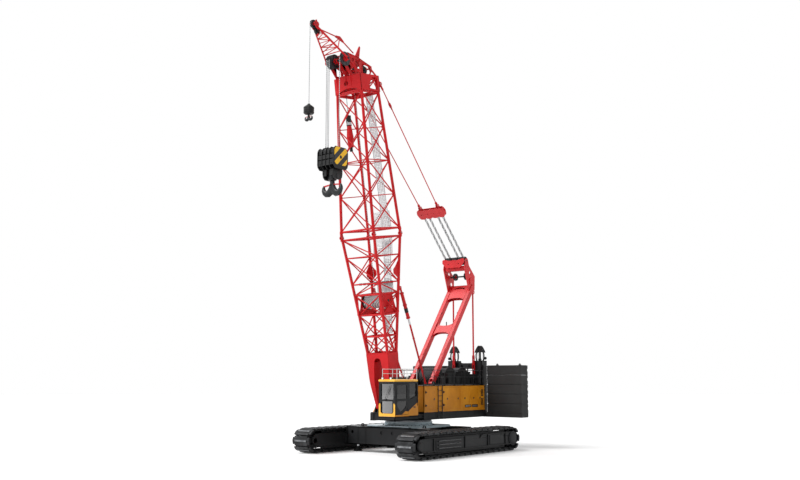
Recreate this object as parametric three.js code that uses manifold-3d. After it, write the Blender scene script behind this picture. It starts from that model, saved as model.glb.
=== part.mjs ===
// Crawler crane with a short lattice boom, full scale.
// Millimetres, +Z up. The front faces -Y and the crane's left side is +X.
// Pieces are drawn about the slewing axis (x = y = 0, ground z = 0); the last lines move
// the whole crane so that its origin is the bottom centre of its box.
import * as THREE from 'three';
import { mergeVertices } from 'three/addons/utils/BufferGeometryUtils.js';
import Module from 'manifold-3d';

const wasm = await Module();
wasm.setup();

// ---------------------------------------------------------------- driving dimensions

// Clearances
const GAP = 0.3; // between separate pieces that touch
const PIN_PLAY = 0.6; // radial play of a pin or shaft in its hole
const DOOR_GAP = 8; // around a door in its opening
const STOP_GAP = 6; // between a moving piece and what it comes to rest on

// Crawlers
const GAUGE = 7600;
const SHOE_WIDTH = 1300;
const TRACK_LENGTH = 10480;
const TRACK_HEIGHT = 1440;
const BELT_THICKNESS = 200;
const GROUSER_HEIGHT = 40;
const SHOES_PER_TRACK = 60;
const FRAME_WIDTH = 1080;
const FRAME_GAP = 130; // between the side frame and the inside of the belt
const WHEEL_WIDTH = 640;
const AXLE_RADIUS = 150;

// Carbody
const BEAM_BOTTOM = 430;
const BEAM_TOP = 1460;
const BEAM_REACH = 2000; // front face of the front cross beam from the slewing axis
const BEAM_WIDTH = 900;
const CENTRE_HALF_WIDTH = 1600;
const RING_RADIUS = 1420;
const RING_BASE_TOP = 1760;
const JACK_X = 2600;
const JACK_ROD_RADIUS = 90;
const JACK_PAD_RADIUS = 270;
const JACK_GROUND_GAP = 12;

// Slewing deck
const DECK_BOTTOM = 1860;
const DECK_TOP = 2310;
const DECK_FRONT = -2480;
const HOUSE_HALF_WIDTH = 1600;
const HOUSE_FRONT = -584;
const HOUSE_REAR = 5734;
const HOUSE_TOP = 3840;
const HOUSE_DEPTH = 640;
const HOUSE_WALL = 40;
const NOSE_HALF_WIDTH = 860;

// Cab
const CAB_LEFT = 2300;
const CAB_WIDTH = 1150;
const CAB_FRONT = -4100;
const CAB_LENGTH = 2050;
const CAB_FLOOR = 2200;
const CAB_HEIGHT = 1880;
const CAB_WALL = 60;
const CAB_ROOF = 140;
const CAB_DOOR_LENGTH = 1060;
const GLASS = 10;

// Boom
const BOOM_FOOT_Y = -2000;
const BOOM_FOOT_Z = 2640;
const BOOM_ANGLE = 81.4; // degrees above the ground
const FOOT_PIN_RADIUS = 80;
const FOOT_EYE_RADIUS = 210;
const FOOT_EYE_X = 560;
const FOOT_EYE_WIDTH = 200;
const LEG_TOP = 2950; // along the boom, as are all stations below
const LEG_HALF_WIDTH = 810;
const LEG_HALF_DEPTH = 470;
const JOINT_STATION = 10000;
const JOINT_HALF_WIDTH = 1300;
const JOINT_HALF_DEPTH = 1280;
const HEAD_STATION = 18200;
const HEAD_HALF_WIDTH = 1010;
const HEAD_HALF_DEPTH = 830;
const CHORD = 170;
const LACING = 76;
const DRUM_STATION = 6100;
const SHEAVE_RISE = 1800; // hoist sheaves above the foot of the head
const SHEAVE_OFFSET = -1400; // in front of the boom's centre line
const HEAD_SHEAVE_RADIUS = 410;

// Boom suspension
const ANCHOR_RISE = 500; // pendant anchors above the foot of the head
const ANCHOR_OFFSET = 1000;
const ANCHOR_X = 900;
const PENDANT = 70;
const BRIDLE_DISTANCE = 9100; // from the boom anchor
const BRIDLE_HALF_WIDTH = 1050;
const AFRAME_FOOT_Y = 1250;
const AFRAME_FOOT_Z = 3950;
const AFRAME_KNEE_Y = 5650;
const AFRAME_KNEE_Z = 10150;
const AFRAME_HEAD_Y = 5000;
const AFRAME_HEAD_Z = 11750;
const AFRAME_X = 770;
const AFRAME_LEG_WIDTH = 250;
const AFRAME_LEG_DEPTH = 320;
const AFRAME_SHEAVE_RADIUS = 270;

// Winches between the housings
const WINCH_Y = [2150, 3500, 4850];
const WINCH_Z = 4330;
const WINCH_FLANGE_RADIUS = 620;
const WINCH_DRUM_RADIUS = 400;
const WINCH_HALF_WIDTH = 600; // to the outside of the cheek plates
const WINCH_CHEEK = 50;

// Counterweight
const COUNTERWEIGHT_HALF_WIDTH = 4224;
const STACK_INNER = 1720;
const STACK_FRONT = 5848;
const STACK_DEPTH = 800;
const TRAY_BOTTOM = 1858;
const TRAY_TOP = 2110;
const SLAB_COUNT = 5;
const SLAB_HEIGHT = 590;
const COLUMN_X = 1000;
const COLUMN_WIDTH = 620;
const COLUMN_TOP = 5370;

// Hooks
const MAIN_HANG = 5256; // rope from the hoist sheaves down to the main block
const MAIN_BLOCK_HEIGHT = 1250;
const MAIN_BLOCK_WIDTH = 1250;
const MAIN_BLOCK_DEPTH = 1200;
const JIB_LENGTH = 2539; // from the hoist sheaves to the jib's sheave
const JIB_ANGLE = 38.9; // above the ground
const AUX_SHEAVE_RADIUS = 240;
const AUX_HANG = 4650;
const ROPE = 40;

// ---------------------------------------------------------------- derived values

const trackX = GAUGE / 2;
const trackRadius = TRACK_HEIGHT / 2;
const wheelY = TRACK_LENGTH / 2 - trackRadius;
const wheelRadius = trackRadius - BELT_THICKNESS - GAP;
const boomTilt = THREE.MathUtils.degToRad(90 - BOOM_ANGLE);
const cabRight = CAB_LEFT - CAB_WIDTH;
const cabRear = CAB_FRONT + CAB_LENGTH;
const cabTop = CAB_FLOOR + CAB_HEIGHT;
const deckRear = STACK_FRONT - GAP;
const sheaveStation = HEAD_STATION + SHEAVE_RISE;
const anchorStation = HEAD_STATION + ANCHOR_RISE;
const stackRear = STACK_FRONT + STACK_DEPTH;
const stackTop = TRAY_TOP + GAP + SLAB_COUNT * SLAB_HEIGHT;

// ---------------------------------------------------------------- materials

const paint = (color, roughness = 0.45, metalness = 0.1) =>
  new THREE.MeshStandardMaterial({ color, roughness, metalness });
const RED = paint(0xc4161c);
const ORANGE = paint(0xf0a020);
const BLACK = paint(0x17181a, 0.6);
const DARK = paint(0x34363a, 0.6);
const GREY = paint(0x9aa0a3, 0.6);
const STEEL = paint(0x8c8f92, 0.35, 0.9);
const WEIGHT = paint(0x3a3a3a, 0.7);
const PANE = new THREE.MeshStandardMaterial({
  color: 0x30363a, roughness: 0.05, transparent: true, opacity: 0.35 });

// ---------------------------------------------------------------- shape helpers

// A closed manifold body from a three.js geometry, moved to its place.
function solid(geometry, place = new THREE.Matrix4()) {
  geometry.deleteAttribute('normal');
  geometry.deleteAttribute('uv');
  const merged = mergeVertices(geometry, 1e-3).applyMatrix4(place);
  return new wasm.Manifold(new wasm.Mesh({
    numProp: 3,
    vertProperties: new Float32Array(merged.attributes.position.array),
    triVerts: new Uint32Array(merged.index.array),
  }));
}

const join = (...bodies) => bodies.flat().reduce((whole, body) => whole.add(body));

function cut(body, ...tools) {
  return tools.flat().reduce((rest, tool) => rest.subtract(tool), body);
}

// Box given by its low and high limits on each axis.
function box([x0, x1], [y0, y1], [z0, z1]) {
  const geometry = new THREE.BoxGeometry(x1 - x0, y1 - y0, z1 - z0);
  geometry.translate((x0 + x1) / 2, (y0 + y1) / 2, (z0 + z1) / 2);
  return solid(geometry);
}

// Cylinder between two points.
function rod(from, to, radius, sides = 12, endRadius = radius, turned = 0) {
  const start = new THREE.Vector3(...from);
  const span = new THREE.Vector3(...to).sub(start);
  const geometry = new THREE.CylinderGeometry(endRadius, radius, span.length(), sides, 1, false, turned);
  const turn = new THREE.Quaternion().setFromUnitVectors(
    new THREE.Vector3(0, 1, 0), span.clone().normalize());
  const place = new THREE.Matrix4().makeRotationFromQuaternion(turn);
  place.setPosition(start.addScaledVector(span, 0.5));
  return solid(geometry, place);
}

// Hole for a pin or shaft between two points; its flats clear the pin by the pin play.
const HOLE_SIDES = 16;
const holeRadius = (pin) => (pin + PIN_PLAY) / Math.cos(Math.PI / HOLE_SIDES);
const bore = (from, to, pin) => rod(from, to, holeRadius(pin), HOLE_SIDES, holeRadius(pin), Math.PI / HOLE_SIDES);

// Square bar between two points, with its flats square to the X axis where that is possible.
function bar(from, to, width, height = width) {
  const start = new THREE.Vector3(...from);
  const span = new THREE.Vector3(...to).sub(start);
  const along = span.clone().normalize();
  const guide = Math.abs(along.x) > 0.9 ? new THREE.Vector3(0, 1, 0) : new THREE.Vector3(1, 0, 0);
  const side = guide.addScaledVector(along, -guide.dot(along)).normalize();
  const other = new THREE.Vector3().crossVectors(along, side);
  const place = new THREE.Matrix4().makeBasis(side, other, along);
  place.setPosition(start.addScaledVector(span, 0.5));
  return solid(new THREE.BoxGeometry(width, height, span.length()), place);
}

// Outlines from [a, b] points, with optional holes for pins given as [a, b, pin radius].
function outline(points, holes = []) {
  const corners = points.map(([a, b]) => new THREE.Vector2(a, b));
  if (THREE.ShapeUtils.isClockWise(corners)) corners.reverse();
  const shape = new THREE.Shape(corners);
  for (const [a, b, pin] of holes) {
    const hole = new THREE.Path();
    hole.absarc(a, b, holeRadius(pin), 0, Math.PI * 2, true);
    shape.holes.push(hole);
  }
  return shape;
}

function extruded(shape, depth) {
  return new THREE.ExtrudeGeometry(shape, { depth, bevelEnabled: false, curveSegments: HOLE_SIDES / 2 });
}

// Plates: an outline in the named plane, between two limits on the third axis.
const AXES_YZ = [new THREE.Vector3(0, 1, 0), new THREE.Vector3(0, 0, 1), new THREE.Vector3(1, 0, 0)];
const AXES_XZ = [new THREE.Vector3(1, 0, 0), new THREE.Vector3(0, 0, 1), new THREE.Vector3(0, -1, 0)];

function plateYZ(points, [x0, x1], holes = []) {
  const place = new THREE.Matrix4().makeBasis(...AXES_YZ);
  place.setPosition(x0, 0, 0);
  return solid(extruded(outline(points, holes), x1 - x0), place);
}

function plateXZ(points, [y0, y1], holes = []) {
  const place = new THREE.Matrix4().makeBasis(...AXES_XZ);
  place.setPosition(0, y1, 0);
  return solid(extruded(outline(points, holes), y1 - y0), place);
}

function plateXY(points, [z0, z1], holes = []) {
  const place = new THREE.Matrix4().makeTranslation(0, 0, z0);
  return solid(extruded(outline(points, holes), z1 - z0), place);
}

// Round body about an X axis through (y, z): profile points are [x, radius], closed on themselves.
function turnedX(profile, y, z, segments = 24) {
  const points = profile.map(([x, radius]) => new THREE.Vector2(radius, x));
  const place = new THREE.Matrix4().makeBasis(
    new THREE.Vector3(0, 1, 0), new THREE.Vector3(1, 0, 0), new THREE.Vector3(0, 0, -1));
  place.setPosition(0, y, z);
  return lathe(points, segments, place);
}

// Round body about a vertical axis through (x, y): profile points are [radius, z].
function turnedZ(profile, x, y, segments = 24) {
  const points = profile.map(([radius, z]) => new THREE.Vector2(radius, z));
  const place = new THREE.Matrix4().makeBasis(
    new THREE.Vector3(1, 0, 0), new THREE.Vector3(0, 0, 1), new THREE.Vector3(0, -1, 0));
  place.setPosition(x, y, 0);
  return lathe(points, segments, place);
}

// Lathe faces point out when the profile runs anticlockwise round its inside.
function lathe(points, segments, place) {
  if (THREE.ShapeUtils.isClockWise(points)) points.reverse();
  return solid(new THREE.LatheGeometry(points, segments), place);
}

const crane = new THREE.Group();
const boom = new THREE.Group();
boom.position.set(0, BOOM_FOOT_Y, BOOM_FOOT_Z);
boom.rotation.x = boomTilt;
crane.add(boom);

function part(name, body, material, parent = crane) {
  const { vertProperties, triVerts } = body.getMesh();
  const geometry = new THREE.BufferGeometry();
  geometry.setAttribute('position', new THREE.BufferAttribute(vertProperties, 3));
  geometry.setIndex(new THREE.BufferAttribute(triVerts, 1));
  geometry.computeVertexNormals();
  const mesh = new THREE.Mesh(geometry, material);
  mesh.name = name;
  parent.add(mesh);
  return mesh;
}

// Each left piece and its mirrored right copy.
const SIDES = [['left', 1], ['right', -1]];
const span = (a, b, side) => (side > 0 ? [a, b] : [-b, -a]);

// A boom point (x, offset, station) in the crane's own axes.
function on_crane([x, offset, station]) {
  return [
    x,
    BOOM_FOOT_Y + offset * Math.cos(boomTilt) - station * Math.sin(boomTilt),
    BOOM_FOOT_Z + offset * Math.sin(boomTilt) + station * Math.cos(boomTilt),
  ];
}

// ---------------------------------------------------------------- crawlers

// A loop in the YZ plane, as points; with shoes it has one grouser a shoe.
function loop_points(radius, shoes) {
  const straight = 2 * wheelY;
  const length = 2 * straight + 2 * Math.PI * radius;
  const at = (distance, depth) => {
    const s = ((distance % length) + length) % length;
    const r = radius - depth;
    if (s < straight) return [wheelY - s, trackRadius - r];
    if (s < straight + Math.PI * radius) {
      const turn = (s - straight) / radius;
      return [-wheelY - r * Math.sin(turn), trackRadius - r * Math.cos(turn)];
    }
    if (s < 2 * straight + Math.PI * radius) return [s - straight - Math.PI * radius - wheelY, trackRadius + r];
    const turn = (s - 2 * straight - Math.PI * radius) / radius;
    return [wheelY + r * Math.sin(turn), trackRadius + r * Math.cos(turn)];
  };
  const pitch = length / shoes;
  const tooth = [[0.1, 0], [0.34, 0], [0.46, GROUSER_HEIGHT], [0.98, GROUSER_HEIGHT]];
  const points = [];
  for (let shoe = 0; shoe < shoes; shoe += 1) {
    for (const [share, depth] of tooth) points.push(at((shoe + share) * pitch, depth));
  }
  return points.reverse();
}

// Plain rounded loop with even steps round its ends.
function stadium(radius, steps = 14) {
  const points = [];
  for (const end of [1, -1]) {
    for (let k = 0; k <= steps; k += 1) {
      const turn = -Math.PI / 2 + (Math.PI * k) / steps;
      points.push([end * (wheelY + radius * Math.cos(turn)), trackRadius + end * radius * Math.sin(turn)]);
    }
  }
  return points;
}

function make_track(side) {
  const width = span(trackX - SHOE_WIDTH / 2, trackX + SHOE_WIDTH / 2, side);
  const belt = plateYZ(loop_points(trackRadius, SHOES_PER_TRACK), width);
  const inner = [width[0] - 1, width[1] + 1];
  return cut(belt, plateYZ(stadium(trackRadius - BELT_THICKNESS), inner));
}

function make_track_frame(side) {
  const half = FRAME_WIDTH / 2;
  const low = BELT_THICKNESS + FRAME_GAP;
  const high = TRACK_HEIGHT - BELT_THICKNESS - FRAME_GAP;
  const reach = wheelY + AXLE_RADIUS + 120;
  const chamfer = 200;
  const whole = plateYZ([
    [-reach, low + chamfer], [-reach + chamfer, low], [reach - chamfer, low], [reach, low + chamfer],
    [reach, high - chamfer], [reach - chamfer, high], [-reach + chamfer, high], [-reach, high - chamfer],
  ], span(trackX - half, trackX + half, side));
  const fork = WHEEL_WIDTH / 2 + GAP;
  const notches = [1, -1].map((end) => {
    const inner = wheelY - wheelRadius - 60;
    const y = end > 0 ? [inner, reach + 1] : [-reach - 1, -inner];
    return box(span(trackX - fork, trackX + fork, side), y, [low - 1, high + 1]);
  });
  return cut(whole, notches);
}

// Sprocket or idler: a wheel with its axle, held between the arms of the side frame.
function make_wheel(side, end) {
  const half = WHEEL_WIDTH / 2;
  const rim = wheelRadius;
  const x = side * trackX;
  return turnedX([
    [x - half, 0.001], [x - half, AXLE_RADIUS], [x - 240, AXLE_RADIUS], [x - 240, rim],
    [x + 240, rim], [x + 240, AXLE_RADIUS], [x + half, AXLE_RADIUS], [x + half, 0.001],
  ].map(([a, r]) => [a, r < 1 ? 0 : r]), end * wheelY, trackRadius, 28);
}

for (const [name, side] of SIDES) {
  part(`track_${name}`, make_track(side), BLACK);
  part(`track_frame_${name}`, make_track_frame(side), DARK);
  part(`drive_sprocket_${name}`, make_wheel(side, 1), DARK);
  part(`idler_${name}`, make_wheel(side, -1), DARK);
}

// ---------------------------------------------------------------- carbody and jacks

const beamCentre = BEAM_REACH - BEAM_WIDTH / 2;
const jackTop = BEAM_BOTTOM + 620;

function make_carbody() {
  const reach = trackX - FRAME_WIDTH / 2 - GAP;
  const shoulder = trackX - SHOE_WIDTH / 2 - 40; // the beam ends step down under the belts
  const beams = [1, -1].flatMap((end) => {
    const y = end > 0 ? [BEAM_REACH - BEAM_WIDTH, BEAM_REACH] : [-BEAM_REACH, -BEAM_REACH + BEAM_WIDTH];
    return [
      box([-shoulder, shoulder], y, [BEAM_BOTTOM, BEAM_TOP]),
      box([-reach, reach], y, [BEAM_BOTTOM, TRACK_HEIGHT - BELT_THICKNESS - FRAME_GAP - 60]),
    ];
  });
  const centre = box([-CENTRE_HALF_WIDTH, CENTRE_HALF_WIDTH], [-BEAM_REACH + 50, BEAM_REACH - 50],
    [BEAM_BOTTOM + 40, BEAM_TOP]);
  const table = plateXY([
    [-1950, -1500], [-1500, -1950], [1500, -1950], [1950, -1500],
    [1950, 1500], [1500, 1950], [-1500, 1950], [-1950, 1500],
  ], [BEAM_TOP - 20, BEAM_TOP + 100]);
  const ring = rod([0, 0, BEAM_TOP], [0, 0, RING_BASE_TOP], RING_RADIUS, 40);
  const bores = [1, -1].flatMap((x) => [1, -1].map((y) => bore(
    [x * JACK_X, y * beamCentre, BEAM_BOTTOM - 1], [x * JACK_X, y * beamCentre, jackTop + 260],
    JACK_ROD_RADIUS)));
  return cut(join(beams, centre, table, ring), bores);
}

// Jack: rod with a flared foot, drawn a little above the ground.
function make_jack(x, y) {
  return turnedZ([
    [0, JACK_GROUND_GAP], [JACK_PAD_RADIUS, JACK_GROUND_GAP], [JACK_PAD_RADIUS, JACK_GROUND_GAP + 50],
    [JACK_ROD_RADIUS + 20, 290], [JACK_ROD_RADIUS, 290], [JACK_ROD_RADIUS, jackTop], [0, jackTop],
  ], x, y, 16);
}

part('carbody', make_carbody(), DARK);
for (const [name, side] of SIDES) {
  part(`jack_front_${name}`, make_jack(side * JACK_X, -beamCentre), BLACK);
  part(`jack_rear_${name}`, make_jack(side * JACK_X, beamCentre), BLACK);
}

// ---------------------------------------------------------------- slewing deck

part('slew_ring', rod([0, 0, RING_BASE_TOP + GAP], [0, 0, DECK_BOTTOM - GAP], RING_RADIUS - 60, 40), STEEL);

const pinFoot = [BOOM_FOOT_Y, BOOM_FOOT_Z];
const lugInner = FOOT_EYE_X - FOOT_EYE_WIDTH / 2 - GAP;
const lugOuter = FOOT_EYE_X + FOOT_EYE_WIDTH / 2 + GAP;
const LUG_THICKNESS = 60;
const pedestalTop = AFRAME_FOOT_Z + 150;

function make_deck() {
  const body = plateXY([
    [-NOSE_HALF_WIDTH, DECK_FRONT], [NOSE_HALF_WIDTH, DECK_FRONT], [NOSE_HALF_WIDTH, HOUSE_FRONT],
    [HOUSE_HALF_WIDTH - 20, HOUSE_FRONT], [HOUSE_HALF_WIDTH - 20, deckRear],
    [-HOUSE_HALF_WIDTH + 20, deckRear], [-HOUSE_HALF_WIDTH + 20, HOUSE_FRONT],
    [-NOSE_HALF_WIDTH, HOUSE_FRONT],
  ], [DECK_BOTTOM, DECK_TOP]);
  const lugs = SIDES.flatMap(([, side]) => [
    span(lugInner - LUG_THICKNESS, lugInner, side),
    span(lugOuter, lugOuter + LUG_THICKNESS, side),
  ].map((x) => plateYZ([
    [BOOM_FOOT_Y - 330, DECK_TOP - 20], [BOOM_FOOT_Y + 420, DECK_TOP - 20],
    [BOOM_FOOT_Y + 130, BOOM_FOOT_Z + 150], [BOOM_FOOT_Y - 130, BOOM_FOOT_Z + 150],
  ], x)));
  const pins = SIDES.map(([, side]) => {
    const [x0, x1] = span(lugInner - LUG_THICKNESS, lugOuter + LUG_THICKNESS, side);
    return rod([x0, ...pinFoot], [x1, ...pinFoot], FOOT_PIN_RADIUS, 16);
  });
  return join(body, lugs, pins, make_pedestals());
}

// Pedestals that carry the A-frame's feet, with the backstops' seats in front.
const footHalf = AFRAME_LEG_WIDTH / 2 + GAP;
const FOOT_CHEEK = 45;
const AFRAME_PIN_RADIUS = 60;

function make_pedestals() {
  return SIDES.flatMap(([, side]) => {
    const column = box(span(AFRAME_X - 100, AFRAME_X + 100, side),
      [AFRAME_FOOT_Y - 650, AFRAME_FOOT_Y + 260], [DECK_TOP - 20, AFRAME_FOOT_Z - 320]);
    const cheeks = [
      span(AFRAME_X - footHalf - FOOT_CHEEK, AFRAME_X - footHalf, side),
      span(AFRAME_X + footHalf, AFRAME_X + footHalf + FOOT_CHEEK, side),
    ].map((x) => plateYZ([
      [AFRAME_FOOT_Y - 300, AFRAME_FOOT_Z - 420], [AFRAME_FOOT_Y + 300, AFRAME_FOOT_Z - 420],
      [AFRAME_FOOT_Y + 150, pedestalTop], [AFRAME_FOOT_Y - 150, pedestalTop],
    ], x));
    const web = box(span(AFRAME_X - footHalf - FOOT_CHEEK, AFRAME_X + footHalf + FOOT_CHEEK, side),
      [AFRAME_FOOT_Y - 280, AFRAME_FOOT_Y + 280], [AFRAME_FOOT_Z - 400, AFRAME_FOOT_Z - 300]);
    const [x0, x1] = span(AFRAME_X - footHalf - FOOT_CHEEK, AFRAME_X + footHalf + FOOT_CHEEK, side);
    const pin = rod([x0, AFRAME_FOOT_Y, AFRAME_FOOT_Z], [x1, AFRAME_FOOT_Y, AFRAME_FOOT_Z],
      AFRAME_PIN_RADIUS, 12);
    return [column, ...cheeks, web, pin];
  });
}

part('slewing_deck', make_deck(), BLACK);

// ---------------------------------------------------------------- machinery housings and doors

// Door openings along the side wall: [name, front, rear].
const HOUSE_DOORS = [
  ['front', HOUSE_FRONT + 130, 560],
  ['rear', 1300, 2980],
];
const doorLow = DECK_TOP + 130;
const doorHigh = HOUSE_TOP - 130;
const houseFloor = DECK_TOP + GAP;

function make_housing(side) {
  const outer = span(HOUSE_HALF_WIDTH - HOUSE_DEPTH, HOUSE_HALF_WIDTH, side);
  const inner = span(HOUSE_HALF_WIDTH - HOUSE_DEPTH + HOUSE_WALL, HOUSE_HALF_WIDTH - HOUSE_WALL, side);
  const shell = box(outer, [HOUSE_FRONT, HOUSE_REAR], [houseFloor, HOUSE_TOP]);
  const hollow = box(inner, [HOUSE_FRONT + HOUSE_WALL, HOUSE_REAR - HOUSE_WALL],
    [houseFloor + HOUSE_WALL, HOUSE_TOP - HOUSE_WALL]);
  const openings = HOUSE_DOORS.map(([, front, rear]) => box(
    span(HOUSE_HALF_WIDTH - HOUSE_WALL - 1, HOUSE_HALF_WIDTH + 1, side), [front, rear], [doorLow, doorHigh]));
  return cut(shell, hollow, openings);
}

// A door hangs on a hinge barrel along its front edge, outside the wall.
const HINGE_RADIUS = 22;
const hingeX = HOUSE_HALF_WIDTH + HINGE_RADIUS + GAP;

function make_house_door(side, front, rear) {
  const leaf = box(span(HOUSE_HALF_WIDTH - HOUSE_WALL, HOUSE_HALF_WIDTH, side),
    [front + DOOR_GAP, rear - DOOR_GAP], [doorLow + DOOR_GAP, doorHigh - DOOR_GAP]);
  const barrelY = front;
  const strap = [0.2, 0.8].map((share) => {
    const z = doorLow + share * (doorHigh - doorLow);
    return join(
      rod([side * hingeX, barrelY, z - 60], [side * hingeX, barrelY, z + 60], HINGE_RADIUS, 8),
      box(span(HOUSE_HALF_WIDTH + GAP, hingeX + 6, side), [barrelY, front + 160], [z - 40, z + 40]),
      box(span(HOUSE_HALF_WIDTH - 10, HOUSE_HALF_WIDTH + GAP + 1, side), [front + DOOR_GAP + 2, front + 160],
        [z - 40, z + 40]));
  });
  return join(leaf, strap);
}

for (const [name, side] of SIDES) {
  part(`housing_${name}`, make_housing(side), ORANGE);
  for (const [place, front, rear] of HOUSE_DOORS) {
    part(`door_${name}_${place}`, make_house_door(side, front, rear), ORANGE);
  }
}

const engineX = [-HOUSE_HALF_WIDTH + HOUSE_WALL + 60, -HOUSE_HALF_WIDTH + HOUSE_DEPTH - HOUSE_WALL - 20];
part('engine_block', box(engineX, [3100, 4700],
  [houseFloor + HOUSE_WALL + GAP, houseFloor + HOUSE_WALL + 1000]), DARK);

// ---------------------------------------------------------------- cab

const cabX = [cabRight, CAB_LEFT];
const cabY = [CAB_FRONT, cabRear];
const cabZ = [CAB_FLOOR + GAP, cabTop];
const doorY = [CAB_FRONT + 90, CAB_FRONT + 90 + CAB_DOOR_LENGTH];
const doorZ = [CAB_FLOOR + 90, cabTop - 90];
const sillZ = CAB_FLOOR + 870; // top of the lower windows

function make_cab_platform() {
  const shelf = plateXY([
    [NOSE_HALF_WIDTH + GAP, -2400], [cabRight, -2400], [cabRight, CAB_FRONT - 40], [CAB_LEFT + 20, CAB_FRONT - 40],
    [CAB_LEFT + 20, cabRear + 40], [HOUSE_HALF_WIDTH - 40, cabRear + 40],
    [HOUSE_HALF_WIDTH - 40, HOUSE_FRONT - GAP], [NOSE_HALF_WIDTH + GAP, HOUSE_FRONT - GAP],
  ], [CAB_FLOOR - 190, CAB_FLOOR]);
  return shelf;
}

function make_cab_shell() {
  const shell = cut(box(cabX, cabY, cabZ), box(
    [cabRight + CAB_WALL, CAB_LEFT - CAB_WALL], [CAB_FRONT + CAB_WALL, cabRear - CAB_WALL],
    [CAB_FLOOR + CAB_WALL, cabTop + 1]));
  const front = [CAB_FRONT - 1, CAB_FRONT + CAB_WALL + 1];
  const windows = [
    box([cabRight + 110, CAB_LEFT - 110], front, [sillZ + 40, cabTop - 110]),
    box([cabRight + 130, CAB_LEFT - 150], front, [CAB_FLOOR + 160, sillZ - 40]),
    box([CAB_LEFT - CAB_WALL - 1, CAB_LEFT + 1], doorY, doorZ),
    plateYZ([
      [doorY[1] + 130, sillZ + 130], [cabRear - 110, sillZ + 330], [cabRear - 110, cabTop - 110],
      [doorY[1] + 130, cabTop - 110],
    ], [CAB_LEFT - CAB_WALL - 1, CAB_LEFT + 1]),
    box([cabRight - 1, cabRight + CAB_WALL + 1], [CAB_FRONT + 200, cabRear - 250], [sillZ, cabTop - 110]),
    box([cabRight + 160, CAB_LEFT - 160], [cabRear - CAB_WALL - 1, cabRear + 1], [sillZ + 200, cabTop - 110]),
  ];
  return cut(shell, windows);
}

function make_cab_roof() {
  const low = cabTop + GAP;
  return plateXY([
    [cabRight - 20, CAB_FRONT - 60], [CAB_LEFT + 20, CAB_FRONT - 60],
    [CAB_LEFT + 20, cabRear + 20], [cabRight - 20, cabRear + 20],
  ], [low, low + CAB_ROOF]);
}

// Door leaf with an upper window and a five-sided lower one, hinged at its rear edge.
const cabHinge = [CAB_LEFT + HINGE_RADIUS + GAP, doorY[1]];

function make_cab_door() {
  const y0 = doorY[0] + DOOR_GAP;
  const y1 = doorY[1] - DOOR_GAP;
  const x = [CAB_LEFT - CAB_WALL, CAB_LEFT];
  const through = [x[0] - 1, x[1] + 1];
  const leaf = cut(
    box(x, [y0, y1], [doorZ[0] + DOOR_GAP, doorZ[1] - DOOR_GAP]),
    box(through, [y0 + 70, y1 - 70], [sillZ + 60, doorZ[1] - 80]),
    plateYZ([
      [y0 + 70, sillZ - 40], [y0 + 70, sillZ - 330], [y0 + 420, doorZ[0] + 110], [y1 - 250, doorZ[0] + 330],
      [y1 - 70, sillZ - 250], [y1 - 70, sillZ - 40],
    ].reverse(), through));
  const straps = [0.18, 0.82].map((share) => {
    const z = doorZ[0] + share * (doorZ[1] - doorZ[0]);
    return join(
      rod([cabHinge[0], cabHinge[1], z - 50], [cabHinge[0], cabHinge[1], z + 50], HINGE_RADIUS, 8),
      box([CAB_LEFT + GAP, cabHinge[0] + 6], [y1 - 60, cabHinge[1]], [z - 30, z + 30]),
      box([CAB_LEFT - 10, CAB_LEFT + GAP + 1], [y1 - 60, y1 - 2], [z - 30, z + 30]));
  });
  return join(leaf, straps);
}

// Panes lie against the inside of the wall or door that they close.
function make_windscreen() {
  const inner = CAB_FRONT + CAB_WALL + GAP;
  return box([cabRight + 70, CAB_LEFT - 72], [inner, inner + GLASS], [CAB_FLOOR + 110, cabTop - 70]);
}

function make_door_glass() {
  const outer = CAB_LEFT - CAB_WALL - GAP;
  return box([outer - GLASS, outer], [doorY[0] + 40, doorY[1] - 40], [doorZ[0] + 70, doorZ[1] - 50]);
}

// Seat on a pedestal, with a console on each side of it.
function make_operator_station() {
  const x = (cabRight + CAB_LEFT) / 2;
  const y = CAB_FRONT + 1180;
  const z = CAB_FLOOR + CAB_WALL + GAP;
  const plinth = box([x - 200, x + 200], [y - 220, y + 220], [z, z + 260]);
  const cushion = box([x - 250, x + 250], [y - 270, y + 250], [z + 250, z + 400]);
  const back = plateYZ([
    [y + 200, z + 380], [y + 330, z + 380], [y + 440, z + 1080], [y + 330, z + 1080],
  ], [x - 230, x + 230]);
  const consoles = [-1, 1].map((side) => box(
    [x + side * 310 - 70, x + side * 310 + 70], [y - 420, y + 180], [z + 200, z + 560]));
  return join(plinth, cushion, back, consoles);
}

part('cab_platform', make_cab_platform(), BLACK);
part('cab_shell', make_cab_shell(), ORANGE);
part('cab_roof', make_cab_roof(), ORANGE);
part('cab_door', make_cab_door(), BLACK);
part('windscreen', make_windscreen(), PANE);
part('door_glass', make_door_glass(), PANE);
part('operator_station', make_operator_station(), BLACK);

// ---------------------------------------------------------------- winches

const cheekInner = WINCH_HALF_WIDTH - WINCH_CHEEK;
const WINCH_SHAFT_RADIUS = 110;

function make_winch_frame() {
  const holes = WINCH_Y.map((y) => [y, WINCH_Z, WINCH_SHAFT_RADIUS]);
  const front = WINCH_Y[0] - 420;
  const rear = WINCH_Y[2] + 420;
  const cheeks = SIDES.map(([, side]) => plateYZ([
    [front, DECK_TOP + GAP], [rear, DECK_TOP + GAP], [rear, WINCH_Z + 220], [front, WINCH_Z + 220],
  ], span(cheekInner, WINCH_HALF_WIDTH, side), holes));
  const ties = [front + 120, rear - 120].map((y) => rod(
    [-cheekInner - 5, y, DECK_TOP + 500], [cheekInner + 5, y, DECK_TOP + 500], 90, 10));
  return join(cheeks, ties);
}

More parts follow.
